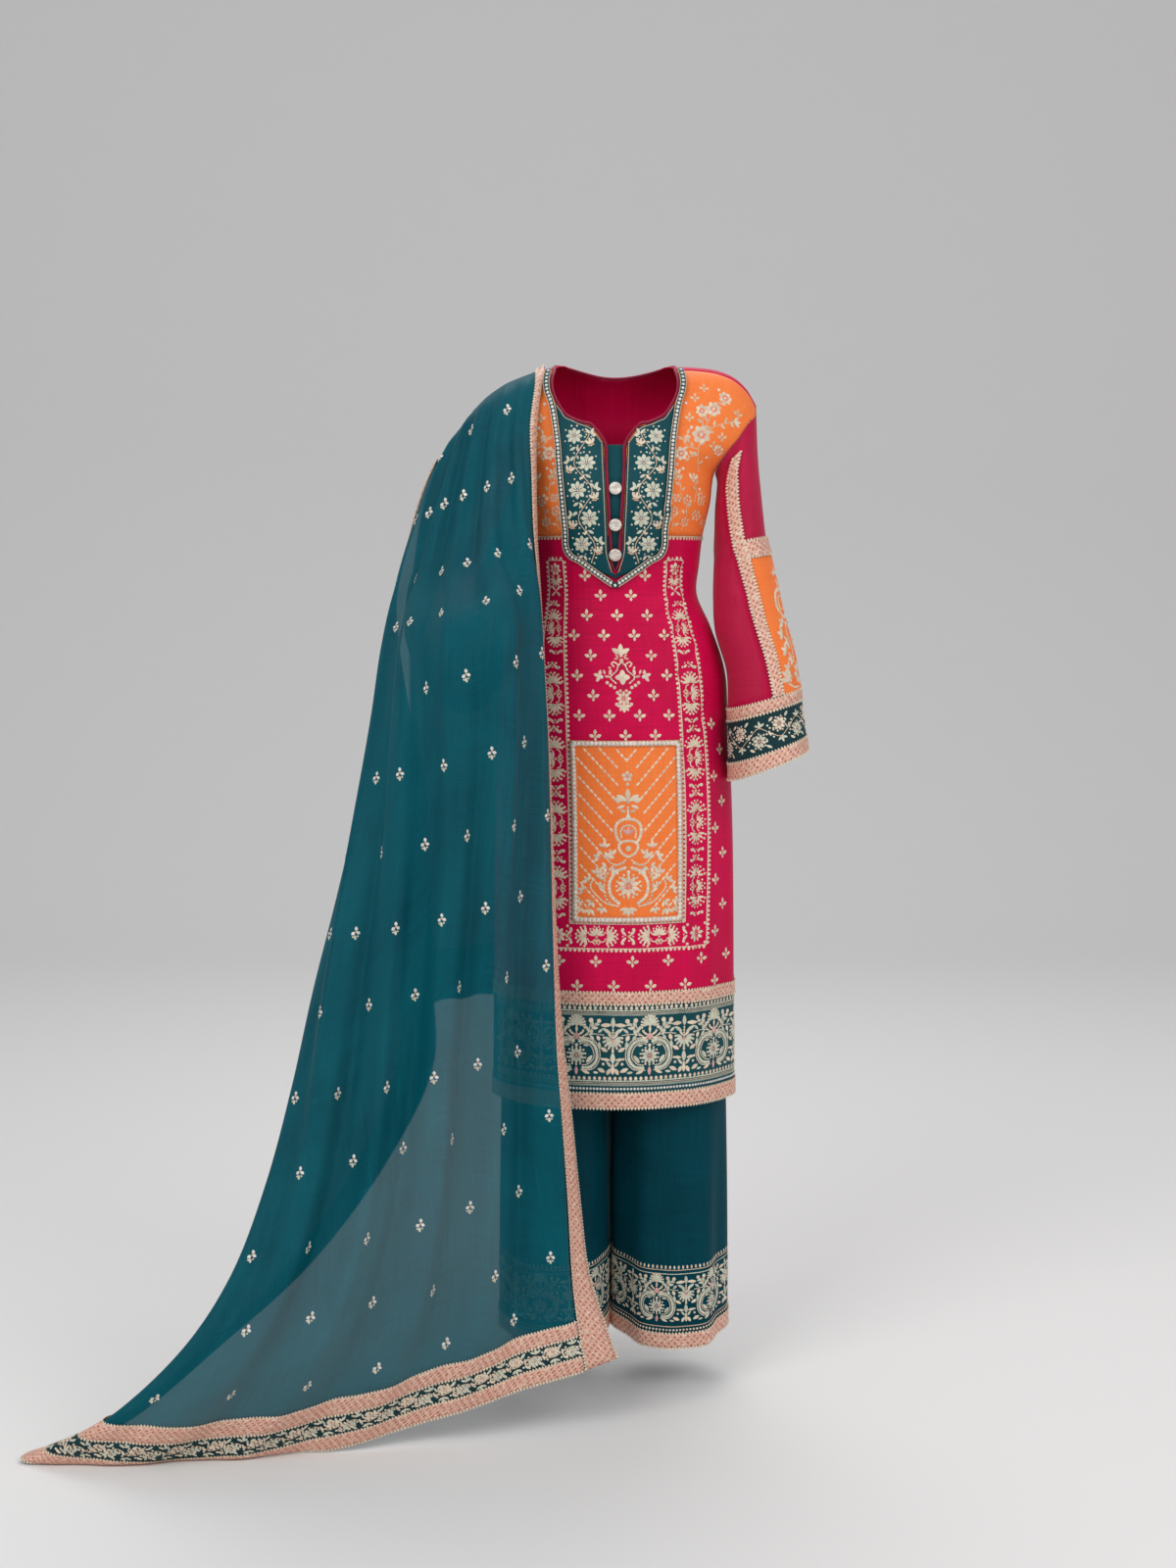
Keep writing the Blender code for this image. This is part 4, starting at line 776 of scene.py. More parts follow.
def tube(name, path, radius, material, sides=10):
    """A round cord along a closed path."""
    path = np.asarray(path, float)
    ahead = np.roll(path, -1, 0) - np.roll(path, 1, 0)
    ahead /= np.linalg.norm(ahead, axis=1, keepdims=True)
    level = np.cross(ahead, (0.0, -0.35, 1.0))
    level /= np.linalg.norm(level, axis=1, keepdims=True)
    other = np.cross(level, ahead)
    turn = np.linspace(0, 2 * math.pi, sides + 1)[None, :, None]
    ring = path[:, None] + radius * (np.cos(turn) * level[:, None] + np.sin(turn) * other[:, None])
    ring = np.concatenate([ring, ring[:1]])
    piece = shell(name, ring, material, wall=0, ring=True)
    bm = bmesh.new()
    bm.from_mesh(piece.data)
    bmesh.ops.recalc_face_normals(bm, faces=bm.faces[:])
    bm.to_mesh(piece.data)
    bm.free()
    return piece


def make_piping():
    """Beside the slit, along the front neckline and round the back of the neck."""
    clear, out = PIPE + PIPE_CLEAR, PIPE + PIPE_OUT
    front = []
    for index, (x, drop) in enumerate(NECKLINE):
        right, down = PIPE_SIDE if drop < PIPE_TURN else PIPE_LOW
        if index == len(NECKLINE) - 1:
            right, down = PIPE_TIP
        front.append((x - clear * right, drop + clear * down))
    front += [(float(slit_half(d)) - clear, d) for d in (*SLIT_PLACES, 0.235, 0.265, 0.284)]
    front = finer(front, 5)
    side = laid(bodice_at, front[:, 0], front[:, 1], out)
    tip = laid(bodice_at, np.array([0.0]), np.array([SLIT_BOTTOM + 0.0005]), out)
    back = finer([*PIPE_BACK, *[(-x, run) for x, run in PIPE_BACK[-2::-1]]], 5)
    behind = torso(angle_of(back[:, 0], BACK_NECK_DROP), back[:, 1]) + np.array((0, 0, out))
    path = np.concatenate([side, tip, side[::-1] * (-1, 1, 1), behind])
    dress(tube("neck_piping_cord", path, PIPE_SHOWN, maroon_cord), "maroon_piping", "neck_piping")


make_neck_panels()
make_placket()
make_piping()

# ---- buttons ----
# Three round pearly buttons stand on short shanks down the placket. Each is turned with a
# raised rim and a dished middle.
BUTTON_DROPS = (0.178, 0.227, 0.269)
BUTTON_RADIUS, BUTTON_STEPS = 0.009, 40
BUTTON_PROFILE = (1, MM) * np.array((  # share of the radius, height
    (0, 6.2), (0.3, 6.3), (0.5, 6.6), (0.62, 7.1), (0.74, 7.4), (0.86, 7.2), (0.95, 6.6), (1, 5.8),
    (0.97, 4.8), (0.86, 4), (0.25, 3.8), (0.25, -1.3), (0, -1.3),
))
PEARL_DARK, PEARL_PALE = (0.5, 0.43, 0.36, 1), (0.86, 0.8, 0.72, 1)


def pearl_material():
    """Cloudy shell under a clear coat."""
    nodes = Nodes("pearl_button_shell")
    place = nodes.add("TexCoord").outputs["Object"]
    cloud = nodes.noise(nodes.add("Mapping", Vector=place, Scale=(160, 60, 260)).outputs["Vector"], 4.0)
    shell_colour = nodes.mixed(nodes.spread(cloud, 0.0, 1.0, 0.35, 0.68), PEARL_DARK, PEARL_PALE)
    return nodes.finish({"Base Color": shell_colour, "Roughness": 0.16, "Coat Weight": 0.7,
                         "Coat Roughness": 0.06})


def make_button(name, drop):
    mesh = bpy.data.meshes.new(f"{name}_pearl")
    bm = bmesh.new()
    line = [bm.verts.new((share * BUTTON_RADIUS, 0, high)) for share, high in BUTTON_PROFILE]
    edges = [bm.edges.new(pair) for pair in zip(line, line[1:])]
    bmesh.ops.spin(bm, geom=line + edges, cent=(0, 0, 0), axis=(0, 0, 1), angle=2 * math.pi,
                   steps=BUTTON_STEPS, use_merge=True)
    bmesh.ops.remove_doubles(bm, verts=bm.verts[:], dist=1e-6)
    bmesh.ops.recalc_face_normals(bm, faces=bm.faces[:])
    here, _, _, ahead = tangents(bodice_at, np.array([0.0]), np.array([drop]))
    turn = Vector(ahead[0]).to_track_quat("Z", "Y").to_matrix().to_4x4()
    bm.transform(Matrix.Translation(Vector(here[0])) @ turn)
    bm.to_mesh(mesh)
    bm.free()
    mesh.materials.append(pearl_shell)
    mesh.shade_smooth()
    dress(placed(mesh.name, mesh), "pearl_button", name)


pearl_shell = pearl_material()
for index, drop in enumerate(BUTTON_DROPS):
    make_button(f"button_{index + 1}", drop)

# ---- sleeves ----
# Wide three-quarter sleeves of sheer magenta silk. A panel of orange silk runs down the outer
# side under a bar of lace, lace covers its long edges up to the armhole, and a dark band between
# two laces finishes each cuff.
SHEER = 0.0012
LEFT_SLEEVE = MM * np.array((  # middle x y z, half vector to the outer line, half vector to the back
    (179, -2, -147, 29.5, 0, 20, 0, 46, 0), (180.3, -4, -195.5, 33.8, 0, 9.5, 0, 47, 0),
    (183, -8, -250.7, 37.5, 0, 7.3, 0, 50, 0), (185.8, -11, -275.5, 40.8, 0, 7.5, 0, 52, 0),
    (190, -17, -320, 46.5, 0, 8.7, 0, 55, 0), (196.5, -26, -369, 50, 0, 11.3, 0, 58, 0),
    (211.5, -37, -422.5, 48.5, 0, 13.7, 0, 60, 0), (216.5, -47, -476, 52.5, 0, 15.5, 0, 62, 0),
    (217.3, -49, -489.5, 53.3, 0, 16, 0, 63, 0), (222.3, -60, -571, 57.3, 0, 22.5, 0, 68, 0),
))
RIGHT_SLEEVE = MM * np.array((  # the same for the bent arm, with the second half vector to the front and top
    (-182, -2, -152, -33, 0, 16, 0, -45, 0), (-205, -4, -202, -37, 0, 14, 0, -46, 0),
    (-229, -7, -256, -40, 0, 14, 0, -48, 3), (-240, -10, -281, -41.5, 1, 12, 2, -48, 10),
    (-253, -20, -318, -43, 3, 8, 4, -44, 24), (-257, -47, -356, -44, 4, 3, 5, -32, 43),
    (-250, -90, -384, -46, -6, 0, 0, -12, 56), (-233, -134, -400, -48.5, -13, 0, 0, -6, 61),
    (-229, -146, -403, -49.5, -14, 0, 0, -5, 62), (-208, -214, -418, -54, -18, 0, 0, 0, 68),
))
PANEL_REACH = 0.0825  # cloth from the outer line to the far edge of the side laces
EDGE_REACH = 0.0675
REACH_COLUMNS, REST_COLUMNS, TURN_POINTS = 22, 14, 97
EDGE_COLUMNS = round(REACH_COLUMNS * EDGE_REACH / PANEL_REACH)
BAR, PANEL_TOP, CUFF_LACE, CUFF, CUFF_END = 3, 4, 8, 9, 10  # section numbers
SIDE_LACE_TOP, SIDE_LACE_END = 0.5, CUFF_LACE - 0.03
CUFF_LACE_END, LOW_LACE = CUFF + 0.06, 9.75
LACE_STRIP = 0.015
ARMHOLE_CLEAR, UNDERARM_CLEAR = 0.0004, 0.0012
SLEEVE_OUT, SLEEVE_DOWN = 0.84, -0.55  # the way a sleeve leaves its armhole
# creases: section number, share round from the outer line, length in sections, lean, and how
# far it stands out
SLEEVE_CREASES = (
    (0.7, 0.3, 1.6, 0.1, 0.0022), (1.4, 0.72, 1.5, -0.12, 0.002), (2.4, 0.38, 1.5, 0.1, 0.0024),
    (3.4, 0.62, 1.8, -0.08, 0.0022), (4.4, 0.34, 1.8, -0.1, 0.0026), (5.1, 0.66, 1.6, 0.1, 0.0026),
    (6.2, 0.42, 2.0, 0.06, 0.002), (6.6, 0.58, 2.0, -0.05, 0.0018),
)
SLEEVE_CREASE_WIDTH = 0.045  # as a share of the way round
magenta_sheer = woven("magenta_sheer_weave", (0.6, 0.004, 0.066), (0.42, 0.001, 0.038), alpha=0.88,
                      sheen=0.1, gloss=0.12)
dark_band = woven("dark_band_weave", (0.004, 0.042, 0.048), (0.002, 0.02, 0.025), sheen=0.03)


def section_columns(points):
    """A section's points at even distances near its outer line, and even shares after."""
    lengths = runs_along(points)
    whole = lengths[-1]
    arcs = np.linspace(0, PANEL_REACH, REACH_COLUMNS + 1)
    arcs = np.concatenate([arcs, np.linspace(PANEL_REACH, whole / 2, REST_COLUMNS + 1)[1:]])
    arcs = np.concatenate([arcs, whole - arcs[-2::-1]])
    return np.stack([np.interp(arcs, lengths, points[:, k]) for k in range(3)], -1)


def sleeve_sections(side):
    deepest = float(run_of(ARMPIT))
    share = np.linspace(0, 2, TURN_POINTS)
    runs = np.where(share <= 1, share, -(2 - share)) * deepest
    low = np.minimum(share, 2 - share)
    pairs = armhole_pairs(runs)
    angle, run = side * pairs[:, 0], pairs[:, 1]
    step = 0.002
    across = torso(angle + step, run) - torso(angle - step, run)
    normal = np.cross(across, torso(angle, run + step) - torso(angle, run - step))
    normal /= np.linalg.norm(normal, axis=1, keepdims=True)
    here = torso(angle, run)
    outward = np.stack([here[:, 0], here[:, 1] + np.where(run > 0, 0.02, -0.02),
                        0.05 - np.minimum(0.05, abs(run))], -1)
    normal *= np.sign((normal * outward).sum(1))[:, None]
    loop = here + normal * CLOTH + np.array((side * SLEEVE_OUT, 0, SLEEVE_DOWN)) * ARMHOLE_CLEAR
    loop[:, 0] += side * UNDERARM_CLEAR * ease((low - 0.6) / 0.4)
    sections = [section_columns(loop if side > 0 else loop[::-1])]
    for row in LEFT_SLEEVE if side > 0 else RIGHT_SLEEVE:
        middle, outer, third = row[:3], row[3:6], row[6:]
        turn = np.linspace(0, 2 * math.pi, TURN_POINTS)[:, None]
        sections.append(section_columns(middle + outer * np.cos(turn) + third * np.sin(turn)))
    return np.array(sections)


def sleeve_reader(side):
    """Points of a sleeve at section numbers, every column of the section."""
    sections = sleeve_sections(side)
    flat = smooth([[i, *row.ravel()] for i, row in enumerate(sections)])

    def at(places):
        grid = flat(np.asarray(places, float)).reshape(len(places), -1, 3)
        return grid + sleeve_creases(grid, places, side)

    return at


def sleeve_creases(grid, places, side):
    """Soft slanting folds of the sheer cloth between the laces."""
    round_share = np.linspace(0, 1, grid.shape[1])[None]
    along = np.asarray(places, float)[:, None]
    middle = grid[:, :-1].mean(1, keepdims=True)
    outward = grid - middle
    outward /= np.linalg.norm(outward, axis=2, keepdims=True)
    swell = np.zeros(grid.shape[:2])
    for section, share, length, lean, depth in SLEEVE_CREASES:
        off = (along - section) / (length / 2)
        away = (round_share - share - lean * off) / SLEEVE_CREASE_WIDTH
        swell += depth * np.exp(-off * off * 1.5) * np.exp(-away * away)
    fade = ease(along / 0.6) * ease((CUFF - 0.4 - along) / 0.8)
    return outward * (swell * fade)[..., None]


def outer_columns(grid, reach=REACH_COLUMNS):
    """The columns on both sides of the outer line."""
    return np.concatenate([grid[:, -1 - reach:-1], grid[:, :reach + 1]], 1)


def make_sleeve(name, reader):
    """The sheer tube in two lengths, the cuff band, the panel and its laces."""
    upper, lower = f"sleeve_upper_{name}_silk", f"sleeve_lower_{name}_silk"
    band = f"cuff_band_{name}_silk"
    sewn(upper, reader(np.linspace(0, BAR, 40)), magenta_sheer, "hung", [f"yoke_{name}_silk"],
         wall=0, ring=True)  # one layer, so that it isn't seen through twice
    sewn(lower, reader(np.linspace(BAR + 0.001, CUFF, 70)), magenta_sheer, "hung", [upper],
         wall=0, ring=True)
    sewn(band, reader(np.linspace(CUFF + 0.02, CUFF_END, 20)), dark_band, "hung", [lower],
         wall=SHEER, ring=True)
    panel = outer_columns(reader(np.linspace(PANEL_TOP, CUFF_LACE, 40)), EDGE_COLUMNS)
    trim(f"sleeve_panel_{name}_silk", panel, orange_silk, lower)
    places = np.concatenate([np.linspace(SIDE_LACE_TOP, BAR, 22), np.linspace(BAR, PANEL_TOP, 9)[1:],
                             np.linspace(PANEL_TOP, SIDE_LACE_END, 40)[1:]])
    laces = outer_columns(reader(places))
    keep = np.zeros((laces.shape[0] - 1, laces.shape[1] - 1), bool)
    side_columns = REACH_COLUMNS - EDGE_COLUMNS
    keep[:, :side_columns] = keep[:, -side_columns:] = True
    keep[(places[:-1] >= BAR) & (places[1:] <= PANEL_TOP)] = True
    trim(f"sleeve_lace_{name}_weave", laces, gold_lace, lower, LACE + 2 * LAY, keep=keep,
         strip=LACE_STRIP)
    for place, top, low in (("top", CUFF_LACE, CUFF_LACE_END), ("low", LOW_LACE, CUFF_END)):
        trim(f"cuff_lace_{place}_{name}_weave", reader(np.linspace(top, low, 6)), gold_lace, band,
             ring=True)


sleeve_at = {name: sleeve_reader(side) for side, name in SIDES}
for name, reader in sleeve_at.items():
    make_sleeve(name, reader)

# ---- trousers ----
# Palazzo trousers of dark teal silk, gathered on a band at the waist, with straight wide legs
# and a woven lace on each hem.
CROTCH, RISE_TOP = 0.72, 0.58
WAIST_TOP, WAIST_LOW = 0.3, 0.336
TROUSER_HEM, TROUSER_LACE = 1.412, 0.022
FRONT_DIP = 0.02
INSIDE, BAND_INSIDE, BAND_WALL = 0.0095, 0.0014, 0.0025
INSIDE_FROM_BAND = 0.035  # how far down the trousers reach their own gap
LEG = MM * np.array((  # drop, middle x, middle y, half width, half depth of a leg
    (580, 84, 0, 79, 98), (720, 83.5, 2, 79.5, 92), (900, 84.5, 0, 80.5, 84),
    (1100, 86, -3, 81, 78), (1300, 87.5, -6, 81, 78), (1420, 87.8, -8, 81.2, 81),
))
LEG_FOLDS, LEG_FOLD_DEPTH = 6, 0.0035
RIPPLES, RIPPLE_DEPTH = 19, 0.0016
INNER_RIPPLE, INNER_RIPPLE_DEPTH = 70, 0.005
# the drop where the folds, the ripples and the dip of the hem start, and how far each takes
FOLDS_FROM, RIPPLES_FROM, DIP_FROM = (0.9, 0.5), (1.0, 0.3), (1.1, 0.3)
LEG_CLEAR = 0.0014  # from the middle line to the inner side of a leg
LEG_COLUMNS = 88
GATHERS, GATHER_DEPTH, WAIST_COLUMNS, WAIST_ROWS = 60, 0.0003, 121, 12
trouser_silk = woven("trouser_silk_weave", (0, 0.056, 0.078), (0, 0.032, 0.047), sheen=0.02,
                     gloss=0.06)
leg_at = smooth(LEG)


def inside_at(drop):
    """Half width, front depth and back depth just inside the kameez."""
    gap = BAND_INSIDE + (INSIDE - BAND_INSIDE) * ease((drop - WAIST_LOW) / INSIDE_FROM_BAND)
    return body_at(drop) - np.asarray(gap)[..., None]


def trouser_at(side, turn, drop):
    """Points of one leg: turn from 0 in front to pi behind, through the outer side."""
    turn, drop = np.broadcast_arrays(turn, drop)
    half, front, back = np.moveaxis(inside_at(drop), -1, 0)
    mx, my, rx, ry = np.moveaxis(leg_at(drop), -1, 0)
    mix = ease((drop - RISE_TOP) / (CROTCH - RISE_TOP))
    depth = np.where(turn < math.pi / 2, front, back)
    hip_x, hip_y = np.maximum(SEAM, half * np.sin(turn)), -depth * np.cos(turn)
    wave = LEG_FOLD_DEPTH * ease((drop - FOLDS_FROM[0]) / FOLDS_FROM[1]) * np.cos(LEG_FOLDS * 2 * turn)
    rippled = ease((drop - RIPPLES_FROM[0]) / RIPPLES_FROM[1])
    wave += RIPPLE_DEPTH * rippled * np.cos(RIPPLES * turn + 3 * drop)
    inner = np.maximum(0, np.cos(2 * turn)) ** 2
    rx = rx + (mx - LEG_CLEAR - rx) * inner
    leg_y = my - (ry + wave) * np.sin(2 * turn)
    leg_x = mx - (rx + wave * (1 - 0.8 * inner)) * np.cos(2 * turn)
    leg_x = leg_x + side * INNER_RIPPLE_DEPTH * inner * np.sin(INNER_RIPPLE * leg_y)
    dip = FRONT_DIP * np.maximum(0, np.sin(2 * turn)) * ease((drop - DIP_FROM[0]) / DIP_FROM[1])
    x, y = hip_x + (leg_x - hip_x) * mix, hip_y + (leg_y - hip_y) * mix
    return np.stack([side * x, y, -drop - dip], -1)


def leg_grid(side, drops, count=LEG_COLUMNS):
    turn = np.linspace(0, math.pi, count + 1)
    return mirrored(trouser_at(side, turn, np.asarray(drops)[:, None]), side)


def trouser_lace_grid(side):
    return leg_grid(side, np.linspace(TROUSER_HEM - TROUSER_LACE, TROUSER_HEM, LACE_ROWS))


def make_waistband():
    """A gathered ring, set inside the kameez."""
    turn = np.linspace(-math.pi, math.pi, WAIST_COLUMNS)
    drops = np.linspace(WAIST_TOP, WAIST_LOW - SEAM, WAIST_ROWS)
    sizes = inside_at(drops)[:, None]
    depth = np.where(abs(turn) < math.pi / 2, sizes[..., 1], sizes[..., 2])
    high = np.sin(np.linspace(0, math.pi, WAIST_ROWS))[:, None]
    gather = -GATHER_DEPTH * (1 + np.cos(GATHERS * turn)) * high
    grid = np.stack([(sizes[..., 0] + gather) * np.sin(turn), -(depth + gather) * np.cos(turn),
                     -drops[:, None] + 0 * depth], -1)
    sewn("waistband_silk", grid, trouser_silk, "stretched", ["kameez_front_silk", "kameez_back_silk"],
         wall=BAND_WALL, ring=True, slot="teal_silk")


for side, name in SIDES:
    leg = f"trouser_{name}_silk"
    drops = np.concatenate([np.linspace(WAIST_LOW + 0.0005, CROTCH, 34),
                            np.linspace(CROTCH, TROUSER_HEM, 70)[1:]])
    sewn(leg, leg_grid(side, drops), trouser_silk, "hung", ["waistband_silk"], ring=True,
         slot="teal_silk")
    trim(f"trouser_lace_{name}_weave", trouser_lace_grid(side), gold_lace, leg, ring=True)
make_waistband()

# ---- dupatta ----
# A long stole of sheer dark teal georgette, worn over the right shoulder with its far edge
# folded back behind. It falls in loose pleats to the floor in front and to the knee behind.
# Lace finishes both long edges, and each end has a dark band between two laces.
SELVEDGE = 0.022
BORDER = (0.0, 0.024, 0.057, 0.082)  # lace, band and lace from the end
BORDER_STEP, BORDER_COLUMNS = 0.002, 150
OVER = 3 * LAY + LACE
FRONT_FALL = MM * np.array((  # inner edge x y z, fold x y z, free edge x y z, forward, up, pleat depth
    (-101.5, 0, 2.6, -238, 0, -107, -262, 6, -140, 0, 23.5, 1.2),
    (-105, -58, -18, -250, -30, -128, -272, 12, -160, 24, 20, 3),
    (-113, -94, -85, -268, -36, -164, -286, 26, -194, 30, 10, 4.5),
    (-114, -105, -150, -288, -40, -218, -301, 40, -244, 45, 4, 5.5),
    (-112, -122, -248, -316, -48, -312, -322, 46, -332, 75, 0, 6.5),
    (-106, -145, -340, -329, -75, -402, -316, 30, -415, 166, 0, 7.5),
    (-101, -158, -430, -341, -112, -500, -298, 2, -512, 162, 0, 8.5),
    (-95, -162, -540, -358, -148, -600, -272, -55, -612, 138, 0, 10),
    (-90, -165, -680, -388, -188, -740, -264, -115, -750, 108, 0, 11.5),
    (-85, -168, -810, -419, -226, -870, -258, -160, -875, 88, 0, 12.5),
    (-77, -170, -940, -446, -262, -1000, -258, -192, -990, 70, 0, 13.5),
    (-64, -172, -1060, -478, -298, -1125, -322, -238, -1115, 56, 0, 14),
    (-53, -178, -1170, -521, -342, -1240, -417, -292, -1235, 48, -4, 14),
    (-41, -186, -1275, -588, -374, -1337, -535, -330, -1338, 40, -14, 12),
    (-22, -196, -1338, -697, -366, -1437, -668, -316, -1452, 36, -34, 7),
    (2, -205, -1403, -809, -340, -1497.5, -778, -298, -1497.5, 32, -50, 3),
))
BACK_FALL = np.concatenate([FRONT_FALL[:1], MM * np.array((
    (-103, 52, -13, -238, 46, -118, -262, 22, -150, -20, 19, 2.5),
    (-101, 98, -80, -250, 78, -172, -280, 40, -200, -22, 12, 4.5),
    (-96, 114, -200, -270, 94, -290, -298, 62, -310, -20, 0, 6),
    (-82, 130, -400, -281, 112, -460, -306, 82, -475, -20, 0, 8),
    (-62, 150, -600, -288, 130, -650, -300, 96, -660, -18, 0, 9.5),
    (-42, 162, -780, -292, 146, -820, -290, 112, -826, -14, 0, 10),
    (-26, 168, -930, -296, 156, -965, -280, 122, -970, -10, 0, 10),
))])
LEAN, TURN_BACK, TURN_FULL = 1.35, 0.018, 0.045
PLEATS, FADE, EDGE_FADE = 5, 0.15, 0.04
SKIN_PLEATS, SKIN_DEPTH = 13, 0.16  # finer folds between the pleats, as a share of their depth
SKIN_WANDER, SKIN_TURN = 2.2, 0.35  # how far they wander to the side, and how fast
PLEAT_REACH = 0.006  # the way out of the cloth is read this far to either side
FLOOR_CLEAR = 0.0042
FACE_COLUMNS, TURN_COLUMNS = 130, 26
ROWS_A_SECTION = 9
# it lies clear of the shoulder seam's ridge: height, middle column and row, half columns and rows
RIDGE_LIFT, RIDGE_COLUMN, RIDGE_ROW, RIDGE_WIDE, RIDGE_LONG = 0.0013, 121, 1.5, 18, 8
teal_sheer = woven("teal_sheer_weave", (0, 0.104, 0.134), (0, 0.062, 0.086), alpha=0.93,
                   gloss=0.08, sheen=0.04, relief=0.15, slub=0.15)
front_fall = smooth([[i, *row] for i, row in enumerate(FRONT_FALL)])
back_fall = smooth([[i, *row] for i, row in enumerate(BACK_FALL)])


def base_curve(values, fine=60):
    """A section without pleats, the length along it to each point, and to the fold."""
    inner, fold, free = (np.array(values[k:k + 3]) for k in (0, 3, 6))
    ahead, rise = values[9], values[10]
    u = 0.5 - 0.5 * np.cos(math.pi * np.linspace(0, 1, fine + 1))
    arch, skewed = np.sqrt(np.maximum(0, 4 * u * (1 - u))), np.sin(math.pi * u ** LEAN)
    face = inner + (fold - inner) * u[:, None] + np.stack([0 * u, -ahead * arch, rise * skewed], -1)
    behind = TURN_BACK * max(-1.0, min(1.0, ahead / TURN_FULL))
    arch = behind * np.sin(math.pi * np.sqrt(u))
    turn = fold + (free - fold) * u[:, None] + np.stack([0 * u, arch, 0 * u], -1)
    points = np.concatenate([face, turn[1:]])
    lengths = runs_along(points)
    return points, lengths, lengths[fine]


def dupatta_row(values, phase):
    """Points across the dupatta from its free edge, round the fold, to the inner edge."""
    points, lengths, fold = base_curve(values)
    whole, pleat = lengths[-1], values[11]
    face = np.linspace(0, fold, FACE_COLUMNS + 1)
    places = np.concatenate([face, np.linspace(fold, whole, TURN_COLUMNS + 1)[1:]])
    here, near, far = (np.stack([np.interp(places + d, lengths, points[:, k]) for k in range(3)], -1)
                       for d in (0, -PLEAT_REACH, PLEAT_REACH))
    toward = np.stack([far[:, 1] - near[:, 1], near[:, 0] - far[:, 0], 0 * places], -1)
    toward /= np.maximum(np.linalg.norm(toward, axis=1, keepdims=True), 1e-9)
    front = values[9] >= 0
    toward *= np.where((toward[:, 1] > 0) == front, -1, 1)[:, None]
    share = np.clip((places - SELVEDGE) / (fold - SELVEDGE), 0, 1)
    wave = np.sin(2 * math.pi * PLEATS * share)
    wander = SKIN_WANDER * math.sin(SKIN_TURN * phase)
    wave += SKIN_DEPTH * np.sin(2 * math.pi * SKIN_PLEATS * share + wander)
    wave *= ease((1 - share) / FADE) * ease(share / EDGE_FADE)
    made = here + toward * (pleat * wave)[:, None]
    made[:, 2] = np.maximum(made[:, 2], FLOOR + FLOOR_CLEAR)
    return made[::-1]


def border_places(reader, last):
    """Section numbers that put the border's pieces at their widths from the end."""
    def middle(at):
        values = reader(at)
        return (values[:3] + values[3:6]) / 2

    places = []
    for width in BORDER:
        at = float(last)
        while np.linalg.norm(middle(at) - middle(last)) < width:
            at -= BORDER_STEP
        places.append(at)
    return places


def make_dupatta_grid():
    """Points of the whole stole from the back end to the front end."""
    front_ends = border_places(front_fall, len(FRONT_FALL) - 1)
    back_ends = border_places(back_fall, len(BACK_FALL) - 1)
    behind = np.linspace(back_ends[0], 0, int(back_ends[0] * ROWS_A_SECTION))[:-1]
    ahead = np.linspace(0, front_ends[0], int(front_ends[0] * ROWS_A_SECTION))
    grid = np.array([dupatta_row(back_fall(at), -at) for at in behind]
                    + [dupatta_row(front_fall(at), at) for at in ahead])
    rows, columns = (np.arange(float(count)) for count in grid.shape[:2])
    rows = np.exp(-((rows - len(behind) - RIDGE_ROW) / RIDGE_LONG) ** 2)
    columns = np.exp(-((columns - RIDGE_COLUMN) / RIDGE_WIDE) ** 2)
    grid = raised(grid, RIDGE_LIFT * (rows[:, None] * columns)[..., None])
    return grid, len(behind), back_ends, front_ends


dupatta, SHOULDER_ROW, back_ends, front_ends = make_dupatta_grid()
LAST_ROW, LAST_COLUMN = dupatta.shape[0] - 1, dupatta.shape[1] - 1


def front_row_number(at):
    return SHOULDER_ROW + at / front_ends[0] * (LAST_ROW - SHOULDER_ROW)


def back_row_number(at):
    return SHOULDER_ROW * (1 - at / back_ends[0])


DUPATTA_ENDS = (("front", front_row_number, front_ends), ("back", back_row_number, back_ends))


def over_grid(grid):
    """A reader of points between a grid's columns and rows."""
    rows, columns = grid.shape[:2]

    def at(column, row):
        column = np.clip(column, 0, columns - 1.0001)
        row = np.clip(row, 0, rows - 1.0001)
        i, j = row.astype(int), column.astype(int)
        v, u = (row - i)[..., None], (column - j)[..., None]
        top = grid[i, j] * (1 - u) + grid[i, j + 1] * u
        return top * (1 - v) + (grid[i + 1, j] * (1 - u) + grid[i + 1, j + 1] * u) * v

    return at


def dupatta_strip(rows, columns):
    """Points of the dupatta between its rows and columns, at these numbers."""
    rows, columns = np.asarray(rows, float)[:, None], np.asarray(columns, float)[None, :]
    return over_grid(dupatta)(columns + 0.0 * rows, rows + 0.0 * columns)


def border_grid(number, ends, first, last, rows=5):
    """Points of a piece of the border, between two of its places from the end."""
    marks = sorted((float(number(ends[first])), float(number(ends[last]))))
    return dupatta_strip(np.linspace(*marks, rows), between)


def columns_wide(lengths):
    """How many of these columns a selvedge takes."""
    return SELVEDGE / lengths.sum(1).mean() * lengths.shape[1]


sewn("dupatta_georgette", dupatta, teal_sheer, "draped",
     ["kameez_front_silk", "kameez_back_silk", "yoke_right_silk"], wall=0,
     nodes=("dupatta_front", "dupatta_back", "dupatta_turn_front", "dupatta_turn_back"))
column_lengths = np.linalg.norm(np.diff(dupatta, axis=1), axis=2)
lace_columns, free_columns = columns_wide(column_lengths[:, -6:]), columns_wide(column_lengths[:, :3])
between = np.linspace(free_columns + 0.3, LAST_COLUMN - lace_columns - 0.3, BORDER_COLUMNS)
edge_laces = {
    "inner": np.linspace(LAST_COLUMN - lace_columns, LAST_COLUMN, LACE_ROWS),
    "free": np.linspace(0, free_columns, LACE_ROWS),
}
for name, columns in edge_laces.items():
    sewn(f"dupatta_lace_{name}_weave", dupatta_strip(np.arange(LAST_ROW + 1), columns), gold_lace,
         "draped", ["dupatta_georgette"], OVER, LACE)
